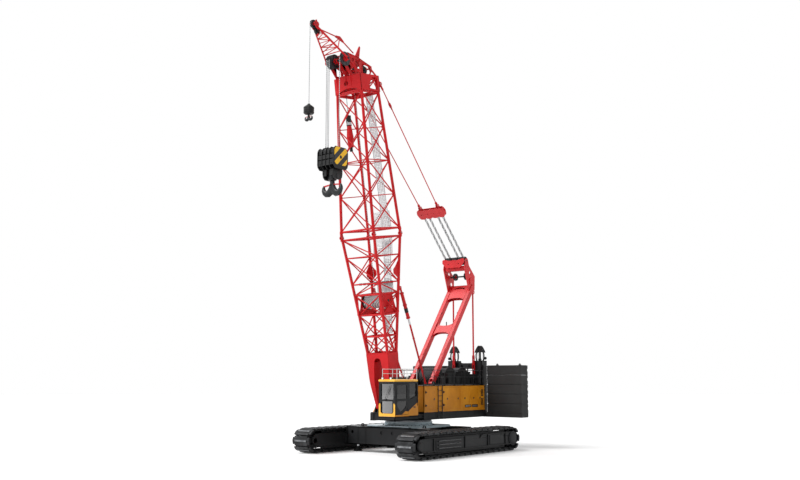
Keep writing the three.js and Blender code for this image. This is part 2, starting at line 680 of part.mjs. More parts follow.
function make_drum(y, z, half, flange, core, shaft, flangeWidth = 60) {
  const inner = half - 8;
  return turnedX([
    [-half - WINCH_CHEEK, 0], [-half - WINCH_CHEEK, shaft], [-inner, shaft], [-inner, flange],
    [-inner + flangeWidth, flange], [-inner + flangeWidth, core], [inner - flangeWidth, core],
    [inner - flangeWidth, flange], [inner, flange], [inner, shaft], [half + WINCH_CHEEK, shaft],
    [half + WINCH_CHEEK, 0],
  ], y, z, 24);
}

part('winch_frame', make_winch_frame(), BLACK);
['main_winch', 'second_winch', 'luffing_winch'].forEach((name, k) => {
  part(name, make_drum(WINCH_Y[k], WINCH_Z, cheekInner, WINCH_FLANGE_RADIUS, WINCH_DRUM_RADIUS,
    WINCH_SHAFT_RADIUS), BLACK);
});

// ---------------------------------------------------------------- ladder

function make_ladder() {
  const x = HOUSE_HALF_WIDTH + GAP;
  const y = [740, 1160];
  const z = [DECK_BOTTOM + 40, HOUSE_TOP - 20];
  const stiles = y.map((at) => box([x, x + 70], [at - 20, at + 20], z));
  const rungs = [];
  for (let height = z[0] + 140; height < z[1]; height += 300) {
    rungs.push(bar([x + 40, y[0], height], [x + 40, y[1], height], 36));
  }
  return join(stiles, rungs);
}

part('access_ladder', make_ladder(), ORANGE);

// ---------------------------------------------------------------- counterweight

const columnInner = COLUMN_X - COLUMN_WIDTH / 2;
const columnOuter = COLUMN_X + COLUMN_WIDTH / 2;

function make_counterweight_carrier() {
  const tray = box([-COUNTERWEIGHT_HALF_WIDTH, COUNTERWEIGHT_HALF_WIDTH], [STACK_FRONT, stackRear],
    [TRAY_BOTTOM, TRAY_TOP]);
  const columns = SIDES.map(([, side]) => box(span(columnInner, columnOuter, side),
    [STACK_FRONT, STACK_FRONT + 620], [TRAY_TOP - 10, COLUMN_TOP]));
  const cross = box([-columnInner - 10, columnInner + 10], [STACK_FRONT + 120, STACK_FRONT + 520], [4850, 5280]);
  return join(tray, columns, cross, make_hoist_heads());
}

// Hoisting cylinders on the columns: three slim rods under a pointed chain head.
function make_hoist_heads() {
  return SIDES.flatMap(([, side]) => {
    const x = side * COLUMN_X;
    const y = STACK_FRONT + 310;
    const rods = [-190, 0, 190].map((offset) => rod(
      [x + offset, y, COLUMN_TOP - 10], [x + offset, y, COLUMN_TOP + 640], offset ? 30 : 60, 8));
    const head = plateXZ([
      [x - 280, COLUMN_TOP + 560], [x + 280, COLUMN_TOP + 560], [x + 130, COLUMN_TOP + 900],
      [x + 40, COLUMN_TOP + 960], [x - 40, COLUMN_TOP + 960], [x - 130, COLUMN_TOP + 900],
    ], [y - 130, y + 130]);
    return [...rods, head];
  });
}

// A stack of slabs on its locating core, with lifting lugs on the top slab.
function make_stack(side) {
  const low = TRAY_TOP + GAP;
  const groove = 14;
  const slabs = [];
  for (let k = 0; k < SLAB_COUNT; k += 1) {
    slabs.push(box(span(STACK_INNER, COUNTERWEIGHT_HALF_WIDTH, side), [STACK_FRONT, stackRear],
      [low + k * SLAB_HEIGHT, low + (k + 1) * SLAB_HEIGHT - (k < SLAB_COUNT - 1 ? groove : 0)]));
  }
  const core = box(span(STACK_INNER + 20, COUNTERWEIGHT_HALF_WIDTH - 20, side),
    [STACK_FRONT + 20, stackRear - 20], [low + 10, stackTop - 10]);
  const lugs = [STACK_INNER + 550, COUNTERWEIGHT_HALF_WIDTH - 300].map((x) => box(
    span(x - 60, x + 60, side), [STACK_FRONT + 340, STACK_FRONT + 400], [stackTop - 10, stackTop + 110]));
  return join(slabs, core, lugs);
}

part('counterweight_carrier', make_counterweight_carrier(), BLACK);
for (const [name, side] of SIDES) part(`counterweight_stack_${name}`, make_stack(side), WEIGHT);

// ---------------------------------------------------------------- A-frame and its tie rods

const legRun = new THREE.Vector2(AFRAME_KNEE_Y - AFRAME_FOOT_Y, AFRAME_KNEE_Z - AFRAME_FOOT_Z).normalize();
const legAt = (share, across = 0) => [
  AFRAME_FOOT_Y + share * (AFRAME_KNEE_Y - AFRAME_FOOT_Y) - across * legRun.y,
  AFRAME_FOOT_Z + share * (AFRAME_KNEE_Z - AFRAME_FOOT_Z) + across * legRun.x,
];
const TIE_WIDTH = 90;
const TIE_Y = AFRAME_KNEE_Y + 30;
const tieTop = AFRAME_KNEE_Z - 390;
const TIE_PIN_RADIUS = 35;
const tieFoot = DECK_TOP + 300;

function make_aframe() {
  const half = AFRAME_LEG_DEPTH / 2;
  const legs = SIDES.map(([, side]) => plateYZ([
    legAt(0, half), legAt(-0.025, half * 0.5), legAt(-0.025, -half * 0.5), legAt(0, -half),
    legAt(1, -half), legAt(1, half),
  ], span(AFRAME_X - AFRAME_LEG_WIDTH / 2, AFRAME_X + AFRAME_LEG_WIDTH / 2, side),
  [[AFRAME_FOOT_Y, AFRAME_FOOT_Z, AFRAME_PIN_RADIUS]]));
  const crossPlate = (from, to) => plateYZ(
    [legAt(from, 90), legAt(from, -90), legAt(to, -90), legAt(to, 90)], [-AFRAME_X, AFRAME_X]);
  const cheeks = SIDES.map(([, side]) => plateYZ([
    [AFRAME_KNEE_Y - 420, AFRAME_KNEE_Z - 380], [AFRAME_KNEE_Y + 200, AFRAME_KNEE_Z - 250],
    [AFRAME_KNEE_Y + 240, AFRAME_KNEE_Z + 650], [AFRAME_HEAD_Y + 220, AFRAME_HEAD_Z + 60],
    [AFRAME_HEAD_Y, AFRAME_HEAD_Z + 150], [AFRAME_HEAD_Y - 220, AFRAME_HEAD_Z + 60],
    [AFRAME_HEAD_Y - 260, AFRAME_HEAD_Z - 500],
  ], span(AFRAME_X + 20, AFRAME_X + 80, side), [[AFRAME_HEAD_Y, AFRAME_HEAD_Z, AFRAME_PIN_RADIUS]]));
  const headPlate = bar([0, AFRAME_HEAD_Y + 20, AFRAME_HEAD_Z - 330], [0, AFRAME_HEAD_Y - 10, AFRAME_HEAD_Z - 560],
    2 * AFRAME_X + 100, 260);
  const lower = rod([-AFRAME_X - 30, AFRAME_KNEE_Y - 120, AFRAME_KNEE_Z + 650],
    [AFRAME_X + 30, AFRAME_KNEE_Y - 120, AFRAME_KNEE_Z + 650], 70, 12);
  return join(legs, crossPlate(0.58, 0.68), crossPlate(0.9, 1), cheeks, headPlate, lower, make_tie_lugs());
}

// Lugs behind each knee, one on each side of the tie rod.
function make_tie_lugs() {
  return SIDES.flatMap(([, side]) => [-1, 1].map((face) => {
    const near = TIE_WIDTH / 2 + GAP;
    const x = face > 0 ? [AFRAME_X + near, AFRAME_X + near + 40] : [AFRAME_X - near - 40, AFRAME_X - near];
    return plateYZ([
      [TIE_Y - 280, tieTop - 60], [TIE_Y + 130, tieTop - 110], [TIE_Y + 130, tieTop + 110],
      [TIE_Y - 130, tieTop + 180],
    ], span(...x, side));
  }).concat(rod([side * AFRAME_X - 80, TIE_Y + 65, tieTop], [side * AFRAME_X + 80, TIE_Y + 65, tieTop],
    TIE_PIN_RADIUS, 12)));
}

function make_tie_rod(side) {
  const x = side * AFRAME_X;
  const eye = plateYZ([
    [TIE_Y + 10, tieTop - 130], [TIE_Y + 120, tieTop - 130], [TIE_Y + 120, tieTop + 90], [TIE_Y + 10, tieTop + 90],
  ], [x - TIE_WIDTH / 2, x + TIE_WIDTH / 2], [[TIE_Y + 65, tieTop, TIE_PIN_RADIUS]]);
  const shank = box([x - TIE_WIDTH / 2, x + TIE_WIDTH / 2], [TIE_Y + 20, TIE_Y + 110], [tieFoot, tieTop - 120]);
  const link = box([x - 90, x + 90], [TIE_Y + 10, TIE_Y + 120], [DECK_TOP + GAP, 5350]);
  return join(eye, shank, link);
}

// Packs of rope sheaves on one shaft, each pack given by its two sides.
function sheave_packs(packs, rim, [shaftStart, shaftEnd], shaft, [y, z], segments = 24) {
  const discs = packs.flatMap(([x0, x1]) => [[x0, shaft], [x0, rim], [x1, rim], [x1, shaft]]);
  return turnedX([[shaftStart, 0], [shaftStart, shaft], ...discs, [shaftEnd, shaft], [shaftEnd, 0]],
    y, z, segments);
}

part('a_frame', make_aframe(), RED);
for (const [name, side] of SIDES) part(`tie_rod_${name}`, make_tie_rod(side), RED);
const AFRAME_PACKS = [[-740, -290], [-200, 200], [290, 740]];
const aframe_row = (rim) => sheave_packs(AFRAME_PACKS, rim, [-AFRAME_X - 80, AFRAME_X + 80],
  AFRAME_PIN_RADIUS, [AFRAME_HEAD_Y, AFRAME_HEAD_Z]);

part('a_frame_sheaves', aframe_row(AFRAME_SHEAVE_RADIUS), BLACK);

// ---------------------------------------------------------------- boom

// Half width and half depth of the chord lines at a station along the boom.
function section(station) {
  const [from, to] = station < JOINT_STATION
    ? [[LEG_TOP, LEG_HALF_WIDTH, LEG_HALF_DEPTH], [JOINT_STATION, JOINT_HALF_WIDTH, JOINT_HALF_DEPTH]]
    : [[JOINT_STATION, JOINT_HALF_WIDTH, JOINT_HALF_DEPTH], [HEAD_STATION, HEAD_HALF_WIDTH, HEAD_HALF_DEPTH]];
  const share = (station - from[0]) / (to[0] - from[0]);
  return [THREE.MathUtils.lerp(from[1], to[1], share), THREE.MathUtils.lerp(from[2], to[2], share)];
}

const CORNERS = [[-1, -1], [1, -1], [1, 1], [-1, 1]];

function corner(k, station, inset = CHORD / 2) {
  const [halfWidth, halfDepth] = section(station);
  const [x, y] = CORNERS[k % 4];
  return [x * (halfWidth - inset), y * (halfDepth - inset), station];
}

// Chords, lacing on the four faces, and a square frame at each given station.
// Crossed lacing has both diagonals in a bay; otherwise they zigzag.
function lattice(stations, frames, crossed) {
  const first = stations[0];
  const last = stations[stations.length - 1];
  const members = [];
  for (let k = 0; k < 4; k += 1) {
    members.push(rod(corner(k, first), corner(k, last), CHORD / 2, 6));
    for (let bay = 0; bay + 1 < stations.length; bay += 1) {
      const [low, high] = [stations[bay], stations[bay + 1]];
      const rising = (bay + k) % 2 === 0;
      if (crossed || rising) members.push(bar(corner(k, low), corner(k + 1, high), LACING));
      if (crossed || !rising) members.push(bar(corner(k + 1, low), corner(k, high), LACING));
    }
    for (const station of frames) members.push(bar(corner(k, station), corner(k + 1, station), LACING + 20));
  }
  return join(members);
}

function even_stations(from, to, bays) {
  return Array.from({ length: bays + 1 }, (_, k) => from + ((to - from) * k) / bays);
}

// Square blocks on the chord ends, where one section is pinned to the next.
const CONNECTOR = 230;
const CONNECTOR_LENGTH = 300;

function connectors(station, stations) {
  return [0, 1, 2, 3].map((k) => {
    const [x, y] = corner(k, station);
    const half = CONNECTOR / 2;
    return box([x - half, x + half], [y - half, y + half], stations);
  });
}

const drumHalf = section(DRUM_STATION - 450)[0] - CHORD / 2 - LACING / 2 - 80;
const DRUM_SHAFT_RADIUS = 70;

// The pin that carries a backstop, in a pair of lugs on the rear chord.
const BACKSTOP_STATION = 6750;
const BACKSTOP_PIN = {
  x: section(BACKSTOP_STATION)[0] - CHORD / 2,
  offset: section(BACKSTOP_STATION)[1] + 100,
  station: BACKSTOP_STATION,
  half: 35,
  radius: 30,
};

function make_backstop_lugs() {
  const { x, offset, station, half, radius } = BACKSTOP_PIN;
  return SIDES.flatMap(([, side]) => {
    const faces = [[x - half - GAP - 30, x - half - GAP], [x + half + GAP, x + half + GAP + 30]];
    const lugs = faces.map((limits) => plateYZ([
      [offset - 160, station - 130], [offset + 50, station - 60], [offset + 50, station + 60],
      [offset - 160, station + 130],
    ], span(...limits, side)));
    const [x0, x1] = span(faces[0][0], faces[1][1], side);
    return [...lugs, rod([x0, offset, station], [x1, offset, station], radius, 12)];
  });
}

function make_boom_base() {
  const upper = lattice(even_stations(LEG_TOP + 60, JOINT_STATION - CONNECTOR_LENGTH + 60, 5),
    [DRUM_STATION - 420, DRUM_STATION + 420, JOINT_STATION - CONNECTOR_LENGTH + 60], false);
  const legs = SIDES.map(([, side]) => make_boom_leg(side));
  const bridge = box([-LEG_HALF_WIDTH + 60, LEG_HALF_WIDTH - 60], [-LEG_HALF_DEPTH, LEG_HALF_DEPTH],
    [LEG_TOP - 150, LEG_TOP + 250]);
  const hollow = box([-LEG_HALF_WIDTH + 140, LEG_HALF_WIDTH - 140], [-LEG_HALF_DEPTH + 60, LEG_HALF_DEPTH - 60],
    [LEG_TOP - 400, LEG_TOP + 400]);
  const [, drumDepth] = section(DRUM_STATION);
  const cheeks = SIDES.map(([, side]) => cut(
    box(span(drumHalf, drumHalf + 60, side), [-drumDepth + 60, drumDepth - 60],
      [DRUM_STATION - 440, DRUM_STATION + 440]),
    bore([side * drumHalf - 200, 0, DRUM_STATION], [side * drumHalf + 200, 0, DRUM_STATION], DRUM_SHAFT_RADIUS)));
  const ends = connectors(JOINT_STATION, [JOINT_STATION - CONNECTOR_LENGTH, JOINT_STATION - GAP / 2]);
  return join(upper, legs, cut(bridge, hollow), cheeks, ends, make_backstop_lugs());
}

// Boom leg: a plate box that runs down to the eye on the foot pin.
function make_boom_leg(side) {
  const outer = [FOOT_EYE_X + FOOT_EYE_WIDTH / 2, LEG_HALF_WIDTH];
  const inner = [FOOT_EYE_X - FOOT_EYE_WIDTH / 2, LEG_HALF_WIDTH - 560];
  const leg = plateXZ([
    [side * inner[0], 0], [side * outer[0], 0], [side * outer[0], 350], [side * outer[1], LEG_TOP + 200],
    [side * inner[1], LEG_TOP + 200], [side * inner[1], LEG_TOP - 350], [side * inner[0], 500],
  ], [-LEG_HALF_DEPTH, LEG_HALF_DEPTH]);
  const eye = rod([side * inner[0], 0, 0], [side * outer[0], 0, 0], FOOT_EYE_RADIUS, 20);
  const side_view = plateYZ([
    [-FOOT_EYE_RADIUS + 10, -1], [FOOT_EYE_RADIUS - 10, -1], [LEG_HALF_DEPTH, 1500],
    [LEG_HALF_DEPTH, LEG_TOP + 200], [-LEG_HALF_DEPTH, LEG_TOP + 200], [-LEG_HALF_DEPTH, 1500],
  ], span(0, LEG_HALF_WIDTH + 10, side));
  const hole = bore([side * (inner[0] - 10), 0, 0], [side * (outer[0] + 10), 0, 0], FOOT_PIN_RADIUS);
  return cut(join(leg.intersect(side_view), eye), hole);
}

function make_boom_top() {
  const first = JOINT_STATION + CONNECTOR_LENGTH - 60;
  const last = HEAD_STATION - 60;
  return join(lattice(even_stations(first, last, 4), [first, last], true),
    connectors(JOINT_STATION, [JOINT_STATION + GAP / 2, JOINT_STATION + CONNECTOR_LENGTH]),
    connectors(HEAD_STATION, [last - 60, HEAD_STATION]));
}

// Head: a plate box on the chords, with cheek plates that carry the hoist sheaves in front.
const HEAD_CHEEKS = [[-840, -770], [-130, -70], [240, 310]];
const HEAD_BOX = 950;
const SHEAVE_SHAFT_RADIUS = 70;
const JIB_ROOT_X = [-940, 680];
const JIB_X = (JIB_ROOT_X[0] + JIB_ROOT_X[1]) / 2;
const SPIKE_X = -100;
const SPIKE_TIP = [640, sheaveStation + 1130]; // offset and station
const headLow = HEAD_STATION + GAP;

function make_boom_head() {
  const wall = 90;
  const base = cut(
    box([-HEAD_HALF_WIDTH, HEAD_HALF_WIDTH], [-HEAD_HALF_DEPTH, HEAD_HALF_DEPTH], [headLow, headLow + HEAD_BOX]),
    box([-HEAD_HALF_WIDTH + wall, HEAD_HALF_WIDTH - wall], [-HEAD_HALF_DEPTH + wall, HEAD_HALF_DEPTH - wall],
      [headLow - 1, headLow + HEAD_BOX + 1]),
    box([-HEAD_HALF_WIDTH + 300, HEAD_HALF_WIDTH - 300], [HEAD_HALF_DEPTH - wall - 1, HEAD_HALF_DEPTH + 1],
      [headLow + 150, headLow + 800]));
  const cheeks = HEAD_CHEEKS.map((x) => plateYZ([
    [-HEAD_HALF_DEPTH, headLow + 200], [HEAD_HALF_DEPTH, headLow + 200], [HEAD_HALF_DEPTH, headLow + HEAD_BOX],
    [1150, sheaveStation - 350], [1150, sheaveStation - 150], [560, sheaveStation + 60],
    [-160, sheaveStation + 330], [-900, sheaveStation + 480], [SHEAVE_OFFSET - 110, sheaveStation + 70],
    [SHEAVE_OFFSET - 110, sheaveStation - 110], [-HEAD_HALF_DEPTH - 50, headLow + HEAD_BOX],
  ], x, [[SHEAVE_OFFSET, sheaveStation, SHEAVE_SHAFT_RADIUS]]));
  const ties = [[-900, 380], [500, -60], [1040, -250]].map(([offset, rise]) => rod(
    [HEAD_CHEEKS[0][0] + 5, offset, sheaveStation + rise], [HEAD_CHEEKS[2][1] - 5, offset, sheaveStation + rise],
    55, 10));
  const spike = plateYZ([
    [-300, sheaveStation + 250], [420, sheaveStation + 60], [SPIKE_TIP[0] + 60, SPIKE_TIP[1] - 100],
    SPIKE_TIP, [SPIKE_TIP[0] - 70, SPIKE_TIP[1] - 60],
  ], [SPIKE_X - 30, SPIKE_X + 30]);
  return join(base, cheeks, ties, spike, make_anchor_lugs());
}

// Two lugs behind each rear corner of the head take the eye of a pendant.
const EYE_HALF = 40;
const EYE_RADIUS = 110;

function make_anchor_lugs() {
  return SIDES.flatMap(([, side]) => {
    const faces = [[ANCHOR_X - EYE_HALF - GAP - 40, ANCHOR_X - EYE_HALF - GAP],
      [ANCHOR_X + EYE_HALF + GAP, ANCHOR_X + EYE_HALF + GAP + 40]];
    const lugs = faces.map((x) => plateYZ([
      [HEAD_HALF_DEPTH - 60, anchorStation - 160], [ANCHOR_OFFSET + 60, anchorStation - 90],
      [ANCHOR_OFFSET + 60, anchorStation + 90], [HEAD_HALF_DEPTH - 60, anchorStation + 160],
    ], span(...x, side)));
    const [x0, x1] = span(faces[0][0], faces[1][1], side);
    const pin = rod([x0, ANCHOR_OFFSET, anchorStation], [x1, ANCHOR_OFFSET, anchorStation], 40, 12);
    return [...lugs, pin];
  });
}

// Hoist sheaves on one shaft: a pack between the cheeks and a single one outside them.
const HEAD_PACKS = [[-660, -250], [420, 500]];

part('boom_base', make_boom_base(), RED, boom);
part('boom_top', make_boom_top(), RED, boom);
part('boom_head', make_boom_head(), RED, boom);
part('head_sheaves', sheave_packs(HEAD_PACKS, HEAD_SHEAVE_RADIUS, [JIB_ROOT_X[0] - 60, JIB_ROOT_X[1] + 60],
  SHEAVE_SHAFT_RADIUS, on_crane([0, SHEAVE_OFFSET, sheaveStation]).slice(1)), BLACK);
part('boom_drum', make_drum(0, DRUM_STATION, drumHalf, 450, 300, DRUM_SHAFT_RADIUS), BLACK, boom);

// ---------------------------------------------------------------- backstops

// Each backstop is pinned to the boom's rear chord; its foot comes down on the pedestal.
function make_backstop(side) {
  const pin = BACKSTOP_PIN;
  const top = on_crane([side * pin.x, pin.offset, pin.station]);
  const foot = [side * AFRAME_X, AFRAME_FOOT_Y - 480, AFRAME_FOOT_Z - 320 + STOP_GAP + 60];
  const run = new THREE.Vector3(...foot).sub(new THREE.Vector3(...top));
  const at = (share) => new THREE.Vector3(...top).addScaledVector(run, share).toArray();
  const across = (half) => [[top[0] - half, top[1], top[2]], [top[0] + half, top[1], top[2]]];
  const body = join(
    rod(...across(pin.half), 90, 16),
    bar(at(0.01), at(0.06), 2 * pin.half - 16, 120),
    rod(at(0.05), at(1), 60, 10),
    rod(at(0.05), at(0.3), 105, 12),
    box(span(AFRAME_X - 90, AFRAME_X + 90, side), [foot[1] - 90, foot[1] + 90], [foot[2] - 60, foot[2] + 40]));
  return cut(body, bore(...across(pin.half + 9), pin.radius));
}

for (const [name, side] of SIDES) part(`backstop_${name}`, make_backstop(side), RED);

// ---------------------------------------------------------------- pendants, bridle and luffing ropes

const anchor = on_crane([0, ANCHOR_OFFSET, anchorStation]);
const toHead = new THREE.Vector2(AFRAME_HEAD_Y - anchor[1], AFRAME_HEAD_Z - anchor[2]);
const pull = toHead.clone().normalize();

// Points in the plane of the suspension: distance from the boom anchor towards the A-frame's head.
const stay = (x, distance, across = 0) => [
  x, anchor[1] + distance * pull.x - across * pull.y, anchor[2] + distance * pull.y + across * pull.x];
const bridleNear = BRIDLE_DISTANCE - 330;
const bridleFar = BRIDLE_DISTANCE + 330;
const CLEVIS_X = 680;

function make_pendant(side) {
  const eyeAt = stay(side * ANCHOR_X, 0);
  const eye = cut(
    rod([eyeAt[0] - EYE_HALF, eyeAt[1], eyeAt[2]], [eyeAt[0] + EYE_HALF, eyeAt[1], eyeAt[2]], EYE_RADIUS, 16),
    bore([eyeAt[0] - EYE_HALF - 9, eyeAt[1], eyeAt[2]], [eyeAt[0] + EYE_HALF + 9, eyeAt[1], eyeAt[2]], 40));
  return join(
    eye,
    bar(stay(side * ANCHOR_X, 80), stay(side * ANCHOR_X, 420), 2 * EYE_HALF, 110),
    bar(stay(side * ANCHOR_X, 400), stay(side * CLEVIS_X, bridleNear - 380), PENDANT, PENDANT),
    bar(stay(side * CLEVIS_X, bridleNear - 400), stay(side * CLEVIS_X, bridleNear - 200 - GAP), 110));
}

function make_bridle() {
  const beam = bar(stay(0, bridleNear), stay(0, bridleFar), 2 * BRIDLE_HALF_WIDTH, 240);
  const lugs = SIDES.map(([, side]) => bar(
    stay(side * CLEVIS_X, bridleNear - 200), stay(side * CLEVIS_X, bridleNear + 20), 170));
  return join(beam, lugs);
}

const FALLS_X = [-700, -330, 330, 700];

// Bands of rope falls from the bridle to the sheaves on the A-frame, joined where they wrap the bridle.
function make_luffing_ropes() {
  const reach = toHead.length() - AFRAME_SHEAVE_RADIUS + 40;
  const low = bridleFar + GAP;
  const wrap = bar(stay(0, low), stay(0, low + 60), FALLS_X[3] - FALLS_X[0] + 60, 30);
  const falls = FALLS_X.map((x) => bar(stay(x, low), stay(x, reach), 60, 30));
  return cut(join(wrap, falls), aframe_row(AFRAME_SHEAVE_RADIUS + GAP));
}

for (const [name, side] of SIDES) part(`pendant_${name}`, make_pendant(side), RED);
part('bridle', make_bridle(), RED);
part('luffing_ropes', make_luffing_ropes(), GREY);

// ---------------------------------------------------------------- jib tip

// The jib tip straddles the hoist sheaves and roots on the ends of their shaft.
const jibRoot = on_crane([0, SHEAVE_OFFSET, sheaveStation]);
const jibWay = new THREE.Vector2(-1, 0).rotateAround(new THREE.Vector2(), -THREE.MathUtils.degToRad(JIB_ANGLE));
const jibTip = [jibRoot[1] + JIB_LENGTH * jibWay.x, jibRoot[2] + JIB_LENGTH * jibWay.y];
const jibAt = (x, distance, across = 0) => [
  x, jibRoot[1] + distance * jibWay.x + across * jibWay.y, jibRoot[2] + distance * jibWay.y - across * jibWay.x];
const JIB_CHORD = 80;
const JIB_TIP_HALF = 150;
const JIB_BAYS = 3; // between the sheaves and the tip
const JIB_POST = [750, 1210]; // the stays' knee: along the jib, and above it
const STAY_HEAD = [110, 640]; // the stays' end: boom offset, and station above the hoist sheaves
const STAY = 50;
const AUX_SHAFT_RADIUS = 40;

function make_jib() {
  const reach = JIB_LENGTH - 230;
  const crossed = even_stations(HEAD_SHEAVE_RADIUS + 130, reach - 180, JIB_BAYS);
  const sideX = (k, distance) => THREE.MathUtils.lerp(
    JIB_ROOT_X[k], JIB_X + (k ? 1 : -1) * JIB_TIP_HALF, distance / reach);
  const at = (k, distance, across = 0) => jibAt(sideX(k, distance), distance, across);
  const knee = jibAt(JIB_X, ...JIB_POST);
  const chords = JIB_ROOT_X.flatMap((x, k) => [
    bar(at(k, 0), at(k, reach), JIB_CHORD),
    rod([x - 40, ...jibRoot.slice(1)], [x + 40, ...jibRoot.slice(1)], 120, 14),
    bar(at(k, JIB_POST[0]), knee, STAY),
    plateYZ([
      [reach - 120, -110], [JIB_LENGTH + 110, -110], [JIB_LENGTH + 110, 90], [reach - 120, 90],
    ].map(([distance, across]) => jibAt(0, distance, across).slice(1)),
    [sideX(k, reach) - 25, sideX(k, reach) + 25], [[...jibTip, AUX_SHAFT_RADIUS]]),
  ]);
  const crosses = crossed.map((distance) => bar(at(0, distance), at(1, distance), STAY));
  const diagonals = crossed.slice(1).map((distance, k) => bar(
    at(k % 2, crossed[k]), at((k + 1) % 2, distance), STAY));
  const stayX = SPIKE_X - 30 - GAP - STAY / 2;
  const stays = [
    bar(jibAt(JIB_X, reach - 60, 60), knee, STAY),
    bar(knee, on_crane([stayX, STAY_HEAD[0], sheaveStation + STAY_HEAD[1]]), STAY),
    bar(at(0, reach - 60, 60), at(1, reach - 60, 60), STAY),
  ];
  const shaftHoles = JIB_ROOT_X.map((x) => bore(
    [x - 90, ...jibRoot.slice(1)], [x + 90, ...jibRoot.slice(1)], SHEAVE_SHAFT_RADIUS));
  return cut(join(chords, crosses, diagonals, stays), shaftHoles);
}

function make_aux_sheave() {
  const half = JIB_TIP_HALF + 25;
  return turnedX([
    [JIB_X - half, 0], [JIB_X - half, AUX_SHAFT_RADIUS], [JIB_X - 60, AUX_SHAFT_RADIUS],
    [JIB_X - 60, AUX_SHEAVE_RADIUS], [JIB_X + 60, AUX_SHEAVE_RADIUS], [JIB_X + 60, AUX_SHAFT_RADIUS],
    [JIB_X + half, AUX_SHAFT_RADIUS], [JIB_X + half, 0],
  ], ...jibTip, 24);
}

part('jib_tip', make_jib(), RED);
part('aux_sheave', make_aux_sheave(), BLACK);

// ---------------------------------------------------------------- hook blocks and hooks

const sheaveCentre = on_crane([0, SHEAVE_OFFSET, sheaveStation]);
const fallY = sheaveCentre[1] - HEAD_SHEAVE_RADIUS - ROPE / 2 - GAP;
const MAIN_FALLS_X = [-540, -340, 460];
const mainBlockTop = sheaveCentre[2] - MAIN_HANG;
const mainBlockLow = mainBlockTop - MAIN_BLOCK_HEIGHT;
const crossheadLow = mainBlockLow - 560;

// Rope falls, one closed run from the head sheaves down round the block and up again.
function make_main_falls() {
  const low = mainBlockTop - 110;
  const falls = MAIN_FALLS_X.map((x) => rod([x, fallY, low], [x, fallY, sheaveCentre[2]], ROPE / 2, 8));
  const turn = box([MAIN_FALLS_X[0] - ROPE / 2, MAIN_FALLS_X[2] + ROPE / 2], [fallY - ROPE / 2, fallY + ROPE / 2],
    [low - ROPE / 2, low + ROPE / 2]);
  return join(falls, turn);
}

function make_main_block() {
  const half = MAIN_BLOCK_WIDTH / 2;
  const depth = MAIN_BLOCK_DEPTH / 2;
  const profile = [
    [fallY - depth + 180, mainBlockLow], [fallY + depth - 180, mainBlockLow], [fallY + depth, mainBlockLow + 260],
    [fallY + depth, mainBlockTop - 260], [fallY + depth - 180, mainBlockTop],
    [fallY - depth + 180, mainBlockTop], [fallY - depth, mainBlockTop - 260],
    [fallY - depth, mainBlockLow + 260],
  ];
  const body = plateYZ(profile, [-half, half]);
  const slot = box([MAIN_FALLS_X[0] - 40, MAIN_FALLS_X[2] + 40], [fallY - 60, fallY + 60],
    [mainBlockTop - 110 - ROPE / 2 - GAP, mainBlockTop + 1]);
  const crosshead = box([-420, 420], [fallY - 400, fallY + 400], [crossheadLow, mainBlockLow + 10]);
  const socket = bore([0, fallY, crossheadLow - 1], [0, fallY, crossheadLow + 260], 110);
  return cut(join(cut(body, slot), crosshead), socket);
}

// Double hook: two open horns below one shank, as a thick plate. Shares are of the hook's size.
const NECK = 0.16;
const BOWL = { x: 0.5, z: -0.55, radius: 0.26 };
const HORN = { reach: 0.98, high: -0.5, depth: 0.7 };

function half_hook() {
  const inside = Array.from({ length: 8 }, (_, k) => THREE.MathUtils.degToRad(165 + k * 30));
  const outside = Array.from({ length: 6 }, (_, k) => (k * Math.PI) / 10);
  return [
    [NECK, 0], [NECK, -0.34],
    ...inside.map((turn) => [BOWL.x + BOWL.radius * Math.cos(turn), BOWL.z + BOWL.radius * Math.sin(turn)]),
    [0.8, -0.28], [0.93, -0.36],
    ...outside.map((turn) => [HORN.reach * Math.cos(turn), HORN.high - HORN.depth * Math.sin(turn)]),
  ];
}

function make_double_hook(x, y, top, size, thickness, [shankRadius, shankHeight]) {
  const right = half_hook();
  const left = right.slice(0, -1).map(([a, b]) => [-a, b]).reverse();
  const points = [...right, ...left].map(([a, b]) => [x + a * size, top + b * size]);
  const plate = plateXZ(points, [y - thickness / 2, y + thickness / 2]);
  return join(plate, rod([x, y, top - 60], [x, y, top + shankHeight], shankRadius, 16));
}

const auxY = jibTip[0] - AUX_SHEAVE_RADIUS - ROPE / 2 - GAP;
const auxBlockTop = jibTip[1] - AUX_HANG;
const AUX_BLOCK_HEIGHT = 620;
const auxBlockLow = auxBlockTop - AUX_BLOCK_HEIGHT;

function make_aux_block() {
  const ball = turnedZ([
    [0, auxBlockLow], [150, auxBlockLow], [330, auxBlockLow + 190], [330, auxBlockLow + 380],
    [110, auxBlockTop - 60], [60, auxBlockTop], [0, auxBlockTop],
  ], JIB_X, auxY, 20);
  return cut(ball, bore([JIB_X, auxY, auxBlockLow - 1], [JIB_X, auxY, auxBlockLow + 130], 50));
}

part('main_falls', make_main_falls(), GREY);
part('main_hook_block', make_main_block(), BLACK);
part('main_hook', make_double_hook(0, fallY, crossheadLow - 12, 740, 190, [110, 250]), BLACK);
part('aux_fall', rod([JIB_X, auxY, auxBlockTop + GAP], [JIB_X, auxY, jibTip[1]], ROPE / 2, 8), GREY);
part('aux_hook_block', make_aux_block(), BLACK);
part('aux_hook', make_double_hook(JIB_X, auxY, auxBlockLow - 12, 290, 90, [50, 120]), BLACK);

// ---------------------------------------------------------------- origin

// The origin goes to the bottom centre of the whole crane's box.
const bounds = new THREE.Box3().setFromObject(crane);
crane.position.y = -(bounds.min.y + bounds.max.y) / 2;

export default crane;
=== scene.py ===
"""Looks of the crawler crane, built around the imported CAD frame. Metres, +Z up, the front faces -Y."""

import math

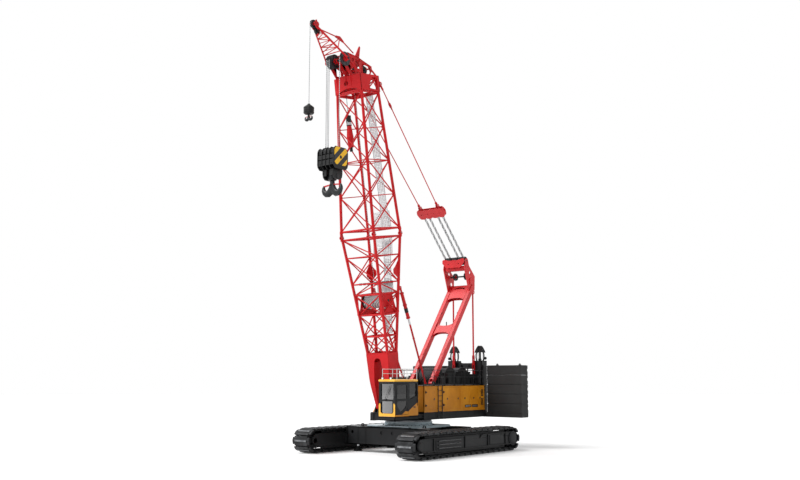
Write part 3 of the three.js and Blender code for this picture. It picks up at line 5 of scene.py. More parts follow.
import bpy
from mathutils import Matrix, Vector
from mathutils.geometry import tessellate_polygon


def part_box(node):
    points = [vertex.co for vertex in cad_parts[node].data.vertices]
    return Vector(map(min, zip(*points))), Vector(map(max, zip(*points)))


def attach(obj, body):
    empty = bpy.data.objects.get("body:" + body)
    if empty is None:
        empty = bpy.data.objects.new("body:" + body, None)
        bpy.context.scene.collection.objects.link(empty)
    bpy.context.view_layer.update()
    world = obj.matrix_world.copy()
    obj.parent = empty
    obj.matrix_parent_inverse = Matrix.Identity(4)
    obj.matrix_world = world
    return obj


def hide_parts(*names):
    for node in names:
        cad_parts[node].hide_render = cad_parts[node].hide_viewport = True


bl_info = {
    "name": "Crawler crane",
    "version": (1, 0, 0),
    "blender": (4, 5, 0),
    "location": "3D View > Sidebar > Crane",
    "description": "Builds the crane's visible pieces on its CAD frame",
    "category": "Add Mesh",
}

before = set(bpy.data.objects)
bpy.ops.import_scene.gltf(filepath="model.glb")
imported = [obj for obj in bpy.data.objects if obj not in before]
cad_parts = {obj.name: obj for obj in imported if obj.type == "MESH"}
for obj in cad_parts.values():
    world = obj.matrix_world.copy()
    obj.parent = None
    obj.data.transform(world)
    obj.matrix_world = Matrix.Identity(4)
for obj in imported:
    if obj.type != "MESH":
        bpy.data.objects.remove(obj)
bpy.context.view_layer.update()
LOW = {name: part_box(name)[0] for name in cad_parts}
HIGH = {name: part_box(name)[1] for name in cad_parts}
SIDES = (("left", 1), ("right", -1))

AXIS_Y = (LOW["slew_ring"].y + HIGH["slew_ring"].y) / 2  # the slewing axis
LEAN = math.radians(8.6)  # the boom's lean back from upright
FOOT = Vector((0, AXIS_Y - 2.0, 2.64))  # the boom's foot pin


# ---------------------------------------------------------------- sizes and colours a user may change


class CrawlerSizes(bpy.types.PropertyGroup):
    shoes: bpy.props.IntProperty(
        name="Shoes", description="Shoes in each crawler's chain", default=38, min=20
    )
    grouser: bpy.props.FloatProperty(
        name="Grouser", description="Height of a shoe's rib", default=0.04, unit="LENGTH"
    )
    shoe_colour: bpy.props.StringProperty(
        name="Shoe colour", description="sRGB hex of the cast shoes", default="#202123"
    )


class BoomSizes(bpy.types.PropertyGroup):
    chord: bpy.props.FloatProperty(
        name="Chord", description="Diameter of the corner tubes", default=0.165, unit="LENGTH"
    )
    lacing: bpy.props.FloatProperty(
        name="Lacing", description="Diameter of the lacing tubes", default=0.072, unit="LENGTH"
    )
    red: bpy.props.StringProperty(
        name="Red", description="sRGB hex of the boom's enamel", default="#c81018"
    )


class HouseSizes(bpy.types.PropertyGroup):
    orange: bpy.props.StringProperty(
        name="Orange", description="sRGB hex of the housings' enamel", default="#d18616"
    )
    latch: bpy.props.FloatProperty(
        name="Latch", description="Width of a door latch", default=0.09, unit="LENGTH"
    )


class RiggingSizes(bpy.types.PropertyGroup):
    rope: bpy.props.FloatProperty(
        name="Rope", description="Diameter of the hoist rope", default=0.04, unit="LENGTH"
    )
    strands: bpy.props.IntProperty(
        name="Strands", description="Strands drawn in a rope", default=6, min=3
    )


class StageSizes(bpy.types.PropertyGroup):
    lens: bpy.props.FloatProperty(
        name="Lens", description="Camera focal length", default=41.28, unit="CAMERA"
    )
    sky: bpy.props.FloatProperty(
        name="Sky", description="Strength of the soft light from all round", default=0.6
    )
    key: bpy.props.FloatProperty(name="Key", description="Strength of the key light", default=2.7)


GROUPS = {
    "crawler": CrawlerSizes,
    "boom": BoomSizes,
    "house": HouseSizes,
    "rigging": RiggingSizes,
    "stage": StageSizes,
}


# ---------------------------------------------------------------- finishes


def linear(text):
    """Linear RGBA of an sRGB hex value."""
    parts = [int(text.lstrip("#")[k : k + 2], 16) / 255 for k in (0, 2, 4)]
    return tuple(c / 12.92 if c <= 0.04045 else ((c + 0.055) / 1.055) ** 2.4 for c in parts) + (1.0,)


def add_node(tree, kind, inputs=None, ramp=None, **settings):
    """Adds a node, sets it, and fills its inputs from values or from other nodes' outputs."""
    made = tree.nodes.new(kind)
    for key, value in settings.items():
        setattr(made, key, value)
    if ramp:
        stops = made.color_ramp.elements
        while len(stops) < len(ramp):
            stops.new(0.5)
        for stop, (at, colour) in zip(stops, ramp):
            stop.position, stop.color = at, linear(colour)
    for key, value in (inputs or {}).items():
        if isinstance(value, bpy.types.NodeSocket):
            tree.links.new(value, made.inputs[key])
        else:
            made.inputs[key].default_value = value
    return made


def blank(name):
    """An empty node material with its surface shader and its object coordinates."""
    material = bpy.data.materials.new(name)
    # A finish is looked up by name, so one that the CAD's materials already use would never be shown.
    if material.name != name:
        raise ValueError(f"the CAD already has a material named {name}")
    material.use_nodes = True
    tree = material.node_tree
    tree.nodes.clear()
    shader = add_node(tree, "ShaderNodeBsdfPrincipled")
    add_node(tree, "ShaderNodeOutputMaterial", {"Surface": shader.outputs["BSDF"]})
    place = add_node(tree, "ShaderNodeTexCoord").outputs["Object"]
    return material, tree, shader, place


def wire(tree, shader, **links):
    """Links or sets the shader's own sockets."""
    for key, value in links.items():
        socket = shader.inputs[key.replace("_", " ")]
        if isinstance(value, bpy.types.NodeSocket):
            tree.links.new(value, socket)
        else:
            socket.default_value = value


def sprayed_enamel(name, colours, gloss, dust_and_highlight, coat=0.0, peel=0.04, level=0.5):
    """Enamel sprayed on steel: three near shades in soft patches, a pale mix on what faces up that is dust
    and, where strong, painted highlight, fine orange peel.
    """
    material, tree, shader, place = blank(name)
    patches = add_node(
        tree, "ShaderNodeTexNoise", {"Vector": place, "Scale": 0.9, "Detail": 6.0, "Roughness": 0.62}
    )
    shade = add_node(
        tree, "ShaderNodeValToRGB", {"Fac": patches.outputs["Fac"]},
        ramp=list(zip((0.3, 0.52, 0.75), colours))
    )
    # Rain streaks: noise stretched along Z to runs about 0.5 m long.
    stretched = add_node(tree, "ShaderNodeMapping", {"Vector": place, "Scale": (9.0, 9.0, 0.7)})
    runs = add_node(
        tree, "ShaderNodeTexNoise", {"Vector": stretched.outputs["Vector"], "Scale": 1.0, "Detail": 4.0}
    )
    streak = add_node(
        tree, "ShaderNodeMapRange",
        {"Value": runs.outputs["Fac"], "From Min": 0.55, "From Max": 0.8, "To Max": 0.18}
    )
    streaked = add_node(
        tree, "ShaderNodeMixRGB",
        {
            "Fac": streak.outputs["Result"], "Color1": shade.outputs["Color"],
            "Color2": linear(colours[0])
        }
    )
    # Upward faces are mixed toward pale beige: dust, and where the amount is strong (the paler red plates)
    # painted highlight.
    facing = add_node(
        tree, "ShaderNodeSeparateXYZ",
        {"Vector": add_node(tree, "ShaderNodeNewGeometry").outputs["Normal"]}
    )
    upward = add_node(
        tree, "ShaderNodeMapRange",
        {"Value": facing.outputs["Z"], "From Min": 0.5, "From Max": 1.0, "To Max": dust_and_highlight}
    )
    dust_and_highlight_mask = add_node(
        tree, "ShaderNodeMath", {0: upward.outputs["Result"], 1: patches.outputs["Fac"]},
        operation="MULTIPLY"
    )
    dust_and_highlight_mix = add_node(
        tree, "ShaderNodeMixRGB",
        {
            "Fac": dust_and_highlight_mask.outputs["Value"], "Color1": streaked.outputs["Color"],
            "Color2": linear("#b9b2a6")
        }
    )
    rough = add_node(
        tree, "ShaderNodeMapRange",
        {
            "Value": patches.outputs["Fac"], "From Min": 0.3, "From Max": 0.8, "To Min": gloss,
            "To Max": gloss + 0.16
        }
    )
    # Orange peel is under 2 mm across, too fine to show: drawn at about 20 mm.
    grain = add_node(tree, "ShaderNodeTexNoise", {"Vector": place, "Scale": 50.0, "Detail": 2.0})
    bump = add_node(
        tree, "ShaderNodeBump", {"Height": grain.outputs["Fac"], "Strength": peel, "Distance": 0.01}
    )
    wire(
        tree, shader, Base_Color=dust_and_highlight_mix.outputs["Color"], Roughness=rough.outputs["Result"],
        Normal=bump.outputs["Normal"], IOR=1.5, Coat_Weight=coat, Coat_Roughness=0.12,
        Specular_IOR_Level=level,
    )
    return material


def worn_steel(name, colours, rough, metallic, scale, pits=0.25):
    """Bare or thinly painted steel: mill scale and rub marks at the given scale, small pits."""
    material, tree, shader, place = blank(name)
    marks = add_node(
        tree, "ShaderNodeTexNoise",
        {"Vector": place, "Scale": scale, "Detail": 8.0, "Roughness": 0.65, "Distortion": 0.3}
    )
    shade = add_node(
        tree, "ShaderNodeValToRGB", {"Fac": marks.outputs["Fac"]},
        ramp=list(zip((0.3, 0.5, 0.72), colours))
    )
    sheen = add_node(
        tree, "ShaderNodeMapRange",
        {
            "Value": marks.outputs["Fac"], "From Min": 0.3, "From Max": 0.7, "To Min": rough + 0.12,
            "To Max": rough - 0.08
        }
    )
    cells = add_node(tree, "ShaderNodeTexVoronoi", {"Vector": place, "Scale": scale * 12})
    pit = add_node(
        tree, "ShaderNodeBump",
        {"Height": cells.outputs["Distance"], "Strength": pits, "Distance": 0.006}
    )
    wire(
        tree, shader, Base_Color=shade.outputs["Color"], Metallic=metallic,
        Roughness=sheen.outputs["Result"], Normal=pit.outputs["Normal"],
    )
    return material


def laid_rope(name, colours):
    """Galvanised wire rope: six strands laid round a core, drawn as slanting bright and dark bands of painted
    highlight and painted shade.
    """
    material, tree, shader, place = blank(name)
    # A strand's lay is about 45 mm along a 40 mm rope, too fine to show: drawn at 90 mm.
    slanted = add_node(
        tree, "ShaderNodeMapping",
        {"Vector": place, "Rotation": (0.6, 0.5, 0.0), "Scale": (1.0, 1.0, 1.0)}
    )
    bands = add_node(
        tree, "ShaderNodeTexWave",
        {"Vector": slanted.outputs["Vector"], "Scale": 3.5, "Distortion": 0.4}, bands_direction="Z"
    )
    # The ramp paints each strand's crown as highlight and the groove between strands as shade.
    shade = add_node(
        tree, "ShaderNodeValToRGB", {"Fac": bands.outputs["Fac"]},
        ramp=list(zip((0.15, 0.5, 0.85), colours))
    )
    bump = add_node(
        tree, "ShaderNodeBump", {"Height": bands.outputs["Fac"], "Strength": 0.5, "Distance": 0.01}
    )
    wire(
        tree, shader, Base_Color=shade.outputs["Color"], Metallic=0.55, Roughness=0.42,
        Normal=bump.outputs["Normal"]
    )
    return material


def pressed_grating(name):
    """Galvanised expanded mesh: dull zinc with a crystal spangle."""
    material, tree, shader, place = blank(name)
    spangle = add_node(tree, "ShaderNodeTexVoronoi", {"Vector": place, "Scale": 14.0})
    zinc = add_node(
        tree, "ShaderNodeValToRGB", {"Fac": spangle.outputs["Distance"]},
        ramp=[(0.0, "#bcc0c2"), (0.5, "#cdd0d2"), (1.0, "#dcdfe0")]
    )
    bump = add_node(
        tree, "ShaderNodeBump",
        {"Height": spangle.outputs["Distance"], "Strength": 0.15, "Distance": 0.004}
    )
    wire(
        tree, shader, Base_Color=zinc.outputs["Color"], Metallic=0.35, Roughness=0.5,
        Normal=bump.outputs["Normal"]
    )
    return material


def striped_plate(name):
    """Hazard stripes in enamel on the hook block's sides: yellow and black bands 0.26 m wide."""
    material, tree, shader, place = blank(name)
    parts = add_node(tree, "ShaderNodeSeparateXYZ", {"Vector": place})
    slope = add_node(
        tree, "ShaderNodeMath", {0: parts.outputs["Y"], 1: parts.outputs["Z"]}, operation="SUBTRACT"
    )
    turn = add_node(tree, "ShaderNodeMath", {0: slope.outputs["Value"], 1: 1.35}, operation="MULTIPLY")
    part = add_node(tree, "ShaderNodeMath", {0: turn.outputs["Value"]}, operation="FRACT")
    band = add_node(
        tree, "ShaderNodeMath", {0: part.outputs["Value"], 1: 0.5}, operation="GREATER_THAN"
    )
    scuff = add_node(
        tree, "ShaderNodeTexNoise", {"Vector": place, "Scale": 7.0, "Detail": 8.0, "Roughness": 0.7}
    )
    bright = add_node(
        tree, "ShaderNodeValToRGB", {"Fac": scuff.outputs["Fac"]},
        ramp=[(0.35, "#e8a90c"), (0.55, "#f6c212"), (0.75, "#f9cf3a")]
    )
    dark = add_node(
        tree, "ShaderNodeValToRGB", {"Fac": scuff.outputs["Fac"]},
        ramp=[(0.35, "#101113"), (0.6, "#1b1c1f"), (0.8, "#34353a")]
    )
    mixed = add_node(
        tree, "ShaderNodeMixRGB",
        {
            "Fac": band.outputs["Value"], "Color1": bright.outputs["Color"],
            "Color2": dark.outputs["Color"]
        }
    )
    bump = add_node(
        tree, "ShaderNodeBump", {"Height": scuff.outputs["Fac"], "Strength": 0.08, "Distance": 0.01}
    )
    wire(
        tree, shader, Base_Color=mixed.outputs["Color"], Roughness=0.4, IOR=1.5,
        Normal=bump.outputs["Normal"]
    )
    return material


def tinted_pane(name, tint, clear):
    """Laminated safety glass, tinted: dark from outside, with a clean sharp reflection and faint dust."""
    material, tree, shader, place = blank(name)
    film = add_node(tree, "ShaderNodeTexNoise", {"Vector": place, "Scale": 2.2, "Detail": 5.0})
    haze = add_node(
        tree, "ShaderNodeMapRange",
        {"Value": film.outputs["Fac"], "From Min": 0.4, "From Max": 0.8, "To Min": 0.02, "To Max": 0.09}
    )
    shade = add_node(
        tree, "ShaderNodeValToRGB", {"Fac": film.outputs["Fac"]}, ramp=[(0.3, tint), (0.7, clear)]
    )
    wire(
        tree, shader, Base_Color=shade.outputs["Color"], Transmission_Weight=0.82,
        Roughness=haze.outputs["Result"], IOR=1.52, Specular_IOR_Level=0.2
    )
    return material


def woven_cloth(name):
    """Woven polyester seat cloth: matt charcoal with a soft sheen and a plain weave."""
    material, tree, shader, place = blank(name)
    # Threads lie about 1 mm apart, too fine to show: drawn 12 mm apart.
    across = add_node(tree, "ShaderNodeTexWave", {"Vector": place, "Scale": 26.0}, bands_direction="X")
    along = add_node(tree, "ShaderNodeTexWave", {"Vector": place, "Scale": 26.0}, bands_direction="Z")
    weave = add_node(
        tree, "ShaderNodeMath", {0: across.outputs["Fac"], 1: along.outputs["Fac"]},
        operation="MULTIPLY"
    )
    worn = add_node(tree, "ShaderNodeTexNoise", {"Vector": place, "Scale": 5.0, "Detail": 4.0})
    shade = add_node(
        tree, "ShaderNodeValToRGB", {"Fac": worn.outputs["Fac"]},
        ramp=[(0.3, "#232529"), (0.55, "#2d3034"), (0.8, "#3b3e43")]
    )
    bump = add_node(
        tree, "ShaderNodeBump", {"Height": weave.outputs["Value"], "Strength": 0.4, "Distance": 0.002}
    )
    wire(
        tree, shader, Base_Color=shade.outputs["Color"], Roughness=0.88, IOR=1.46, Sheen_Weight=0.35,
        Normal=bump.outputs["Normal"]
    )
    return material


def moulded_plastic(name, colours, rough, scale=60.0):
    """Moulded plastic or rubber: an even colour with the mould's fine grain."""
    material, tree, shader, place = blank(name)
    # Mould grain is under 1 mm, too fine to show: drawn at about 15 mm.
    grain = add_node(tree, "ShaderNodeTexVoronoi", {"Vector": place, "Scale": scale})
    cloud = add_node(tree, "ShaderNodeTexNoise", {"Vector": place, "Scale": 3.0, "Detail": 4.0})
    shade = add_node(
        tree, "ShaderNodeValToRGB", {"Fac": cloud.outputs["Fac"]}, ramp=list(zip((0.35, 0.65), colours))
    )
    bump = add_node(
        tree, "ShaderNodeBump",
        {"Height": grain.outputs["Distance"], "Strength": 0.12, "Distance": 0.003}
    )
    wire(
        tree, shader, Base_Color=shade.outputs["Color"], Roughness=rough, IOR=1.5,
        Normal=bump.outputs["Normal"]
    )
    return material


def make_finishes():
    """All the crane's finishes, each a material of its own name."""
    scene = bpy.context.scene
    red, orange = scene.crane_boom.red, scene.crane_house.orange
    return [
        # Polyurethane enamel sprayed on welded tube: an even bright red with a soft gloss.
        sprayed_enamel("red_enamel", ("#b40a10", red, "#d0161b"), 0.46, 0.03, level=0.3),
        # The same enamel on the A-frame's wide plates, which catch more sky: painted paler, with a strong
        # pale mix on upward faces, as painted highlight.
        sprayed_enamel(
            "red_enamel_painted_paler", ("#c2151b", "#d11f25", "#d8262c"), 0.36, 0.16, coat=0.1, level=0.4
        ),
        # Acrylic enamel sprayed on sheet steel: warm orange-yellow, smooth, lightly dusted.
        sprayed_enamel("orange_enamel", ("#c0790d", orange, "#e09a22"), 0.4, 0.03, level=0.3),
        # The cab's mouldings in the same enamel with more yellow in it.
        sprayed_enamel("yellow_enamel", ("#eda41a", "#f8b62a", "#fcc648"), 0.26, 0.1, coat=0.4),
        # Chassis enamel, satin: near black, rubbed grey in patches.
        sprayed_enamel("chassis_enamel", ("#0c0d0e", "#111214", "#1b1c1e"), 0.5, 0.03, level=0.3),
        # The same enamel on the winches and fittings, oily and a little darker.
        sprayed_enamel("winch_enamel", ("#08090a", "#0d0e0f", "#161719"), 0.42, 0.02, level=0.35),
        # Thick textured paint on cast iron weights: dark neutral grey, even and matt.
        sprayed_enamel(
            "matt_ballast_enamel", ("#2c2c2c", "#333333", "#3b3b3b"), 0.78, 0.0, peel=0.2, level=0.3
        ),
        # Machined deck plate with a zinc-rich primer: its own blue-grey, painted pale to stand for the sky
        # light it catches.
        sprayed_enamel("zinc_primer_painted_pale", ("#93a4ac", "#a8b8bf", "#bccad0"), 0.32, 0.1, coat=0.3),
        # Cast manganese steel shoes: dark scale with faces rubbed bright by the ground.
        worn_steel(
            "cast_manganese_steel", ("#141516", scene.crane_crawler.shoe_colour, "#3a3b3d"), 0.5, 0.5,
            2.4
        ),
        # The ground faces of the shoes' ribs and the rollers' treads, polished by running.
        worn_steel("polished_tread_steel", ("#55575a", "#7c7e81", "#a3a5a7"), 0.3, 0.9, 5.0, pits=0.1),
        # Forged hook steel under thin black paint: satin, scuffed at the bowl.
        worn_steel("forged_hook_steel", ("#151618", "#1e2022", "#3a3b3e"), 0.4, 0.4, 3.0),
        # Ground hard chrome on pins and rods: bright and smooth.
        worn_steel("ground_chrome", ("#9b9ea1", "#b8bbbe", "#d2d4d6"), 0.16, 1.0, 9.0, pits=0.02),
        # Turned sheave rims, nylon on steel, dark and waxy.
        moulded_plastic("cast_nylon_sheave", ("#1b1c1e", "#2a2b2e"), 0.45, 25.0),
        laid_rope("galvanised_wire_rope", ("#7c7f81", "#a6a9ab", "#cdd0d1")),
        laid_rope("greased_wire_rope", ("#2c2d2e", "#434547", "#5f6163")),
        pressed_grating("galvanised_mesh"),
        striped_plate("hazard_stripe_enamel"),
        tinted_pane("tinted_safety_glass", "#1e1e20", "#2c2b2d"),
        # Extruded rubber round the panes and the door: matt black.
        moulded_plastic("extruded_rubber", ("#121214", "#1d1d1f"), 0.75),
        # Moulded ABS of lamp bodies, mirrors and consoles: black with a fine grain.
        moulded_plastic("black_abs", ("#18191b", "#242527"), 0.5),
        # Polycarbonate lamp lens: pale and glossy.
        moulded_plastic("polycarbonate_lens", ("#d9dcdd", "#eef0f0"), 0.12, 30.0),
        # Brushed aluminium of blank rating plates and step treads.
        worn_steel("brushed_aluminium", ("#9a9c9e", "#b2b4b6", "#c7c9ca"), 0.34, 0.9, 8.0, pits=0.05),
        woven_cloth("woven_seat_cloth"),
    ]


# ---------------------------------------------------------------- making meshes


class Work:
    """A piece on the bench: its corners, its faces and the finish that each face has."""

    def __init__(self, finish):
        self.points, self.faces, self.marks, self.finishes = [], [], [], []
        self.use(finish)

    def use(self, finish):
        """The finish of the faces made from here on."""
        if finish not in self.finishes:
            self.finishes.append(finish)
        self.mark = self.finishes.index(finish)
        return self

    def add(self, points, faces):
        start = len(self.points)
        self.points.extend(Vector(p) for p in points)
        self.faces.extend(tuple(start + k for k in f) for f in faces)
        self.marks.extend([self.mark] * len(faces))

    def loft(self, rings, closed=False, caps=True):
        """Skins rings of equally many points; closed joins the last ring to the first."""
        count, points = len(rings[0]), [p for ring in rings for p in ring]
        faces, spans = [], len(rings) if closed else len(rings) - 1
        for r in range(spans):
            a, b = r * count, ((r + 1) % len(rings)) * count
            faces += [(a + k, a + (k + 1) % count, b + (k + 1) % count, b + k) for k in range(count)]
        if caps and not closed:
            faces += [
                tuple(reversed(range(count))), tuple((len(rings) - 1) * count + k for k in range(count))
            ]
        self.add(points, faces)

    def tube(self, a, b, radius, sides=10, end=None, caps=True):
        """A round member from a to b."""
        a, b = Vector(a), Vector(b)
        along = (b - a).normalized()
        u = along.orthogonal().normalized()
        v = along.cross(u)
        turn = [math.tau * k / sides for k in range(sides)]
        rings = [
            [p + (u * math.cos(t) + v * math.sin(t)) * r for t in turn]
            for p, r in ((a, radius), (b, radius if end is None else end))
        ]
        self.loft(rings, caps=caps)

    def bar(self, a, b, wide, deep=None, across=(1, 0, 0)):
        """A square member from a to b, its width along `across`."""
        a, b = Vector(a), Vector(b)
        deep = wide if deep is None else deep
        along = (b - a).normalized()
        u = Vector(across) - along * Vector(across).dot(along)
        if u.length < 1e-3:
            u = along.orthogonal()
        u.normalize()
        v = along.cross(u)
        rings = [
            [
                p + u * (s * wide / 2) + v * (t * deep / 2)
                for s, t in ((-1, -1), (1, -1), (1, 1), (-1, 1))
            ]
            for p in (a, b)
        ]
        self.loft(rings)

    def slab(self, x, y, z):
        """A rectangular block between limits."""
        rings = [[(x[0], y[0], h), (x[1], y[0], h), (x[1], y[1], h), (x[0], y[1], h)] for h in z]
        self.loft(rings)

    def plate(self, outline, depth, place, holes=()):
        """A flat outline with holes, extruded over `depth`; place(u, v, w) puts it on the crane."""
        loops = [list(outline)]
        for hole in holes:
            if len(hole) == 3 and not hasattr(hole[0], "__len__"):
                u, v, r = hole
                count = 16 if r < 0.12 else 24
                hole = [
                    (u + r * math.cos(math.tau * k / count), v + r * math.sin(math.tau * k / count))
                    for k in range(count)
                ]
            loops.append(list(hole))
        area = lambda loop: sum(a[0] * b[1] - b[0] * a[1] for a, b in zip(loop, loop[1:] + loop[:1]))
        loops = [loop if (area(loop) > 0) == (k == 0) else loop[::-1] for k, loop in enumerate(loops)]
        flat = [p for loop in loops for p in loop]
        caps = tessellate_polygon([[Vector((*p, 0)) for p in loop] for loop in loops])
        count = len(flat)
        points = [place(u, v, w) for w in depth for u, v in flat]
        faces = []
        for f in caps:
            a, b, c = (Vector(flat[k]) for k in f)
            if abs((b - a).cross(c - a)) < 1e-10:
                continue
            if (b - a).cross(c - a) < 0:
                f = f[::-1]
            faces += [tuple(f[::-1]), tuple(k + count for k in f)]
        start = 0
        for loop in loops:
            n = len(loop)
            faces += [
                (start + k, start + (k + 1) % n, start + (k + 1) % n + count, start + k + count)
                for k in range(n)
            ]
            start += n
        first = self.points and len(self.points) or 0
        self.add(points, faces)
        return first

    def turned(self, profile, centre, axis="X", sides=32, closed=False):
        """A lathe turning: profile of (along, radius) about an axis through centre."""
        c = Vector(centre)
        u, v, w = {
            "X": ((0, 1, 0), (0, 0, 1), (1, 0, 0)), "Z": ((1, 0, 0), (0, 1, 0), (0, 0, 1)),
            "Y": ((1, 0, 0), (0, 0, 1), (0, -1, 0))
        }[axis]
        u, v, w = Vector(u), Vector(v), Vector(w)
        rings = []
        for along, radius in profile:
            r = max(radius, 0.0005)
            rings.append(
                [
                    c + w * along + (u * math.cos(t) + v * math.sin(t)) * r
                    for t in [math.tau * k / sides for k in range(sides)]
                ]
            )
        self.loft(rings, closed=closed)

    def bolts(self, centre, axis, radius, count, size=0.03, out=0.02):
        """A ring of hexagon heads about an axis."""
        c, w = Vector(centre), Vector(axis).normalized()
        u = w.orthogonal().normalized()
        v = w.cross(u)
        for k in range(count):
            t = math.tau * k / count
            p = c + (u * math.cos(t) + v * math.sin(t)) * radius
            self.tube(p, p + w * out, size / 2, 6)

    def path(self, points, radius, sides=8, closed=False):
        """A bent tube through points."""
        points = [Vector(p) for p in points]
        count = len(points)
        rings, last = [], None
        for k, p in enumerate(points):
            ahead = points[(k + 1) % count] if closed or k + 1 < count else p
            behind = points[k - 1] if closed or k else p
            along = (ahead - behind).normalized()
            u = (last - along * last.dot(along)) if last is not None else along.orthogonal()
            u.normalize()
            last = u
            v = along.cross(u)
            rings.append(
                [
                    p + (u * math.cos(t) + v * math.sin(t)) * radius
                    for t in [math.tau * n / sides for n in range(sides)]
                ]
            )
        self.loft(rings, closed=closed)

    def done(self, name, body, replaces=(), bevel=0.0, smooth=35.0):
        """Makes the object, gives it its finishes and lets it ride on its body."""
        mesh = bpy.data.meshes.new(name)
        mesh.from_pydata([tuple(p) for p in self.points], [], self.faces)
        mesh.validate()
        for finish in self.finishes:
            mesh.materials.append(bpy.data.materials[finish])
        mesh.polygons.foreach_set("material_index", self.marks[: len(mesh.polygons)])
        made = bpy.data.objects.new(name, mesh)
        bpy.context.scene.collection.objects.link(made)
        if bevel:
            edge = made.modifiers.new("edges", "BEVEL")
            edge.width, edge.segments = bevel, 2
            edge.limit_method, edge.angle_limit = "ANGLE", math.radians(50)
        mesh.shade_smooth()
        mesh.set_sharp_from_angle(angle=math.radians(smooth))
        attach(made, body)
        if replaces:
            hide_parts(*replaces)
        return made


def side_view(u, v, w):
    """An outline drawn in Y and Z, its depth along X."""
    return (w, u, v)


def front_view(u, v, w):
    """An outline drawn in X and Z, its depth along Y."""
    return (u, w, v)


def top_view(u, v, w):
    """An outline drawn in X and Y, its depth along Z."""
    return (u, v, w)


def on_boom(x, offset, station):
    """A point by its place on the boom: across, behind the centre line, and along from the foot pin."""
    return FOOT + Vector(
        (
            x, offset * math.cos(LEAN) - station * math.sin(LEAN),
            offset * math.sin(LEAN) + station * math.cos(LEAN)
        )
    )


def span(a, b, side):
    """Limits along X on the left (1) or the right (-1) side."""
    return (a, b) if side > 0 else (-b, -a)


def arc(cx, cy, r, start, stop, count):
    """Points of an arc, angles in degrees."""
    return [
        (
            cx + r * math.cos(math.radians(start + (stop - start) * k / count)),
            cy + r * math.sin(math.radians(start + (stop - start) * k / count))
        )
        for k in range(count + 1)
    ]


# ---------------------------------------------------------------- undercarriage


def loop_place(distance, radius, reach, middle_y, height):
    """A point and its outward angle on a crawler's loop, from the lower run's middle forwards."""
    straight, round_length = 2 * reach, math.pi * radius
    d = distance % (2 * straight + 2 * round_length)
    if d < reach:
        return middle_y - d, height - radius, -math.pi / 2
    d -= reach
    if d < round_length:
        t = d / radius
        return middle_y - reach - radius * math.sin(t), height - radius * math.cos(t), -math.pi / 2 - t
    d -= round_length
    if d < straight:
        return middle_y - reach + d, height + radius, math.pi / 2
    d -= straight
    if d < round_length:
        t = d / radius
        return middle_y + reach + radius * math.sin(t), height + radius * math.cos(t), math.pi / 2 - t
    return middle_y + reach - (d - round_length), height - radius, -math.pi / 2


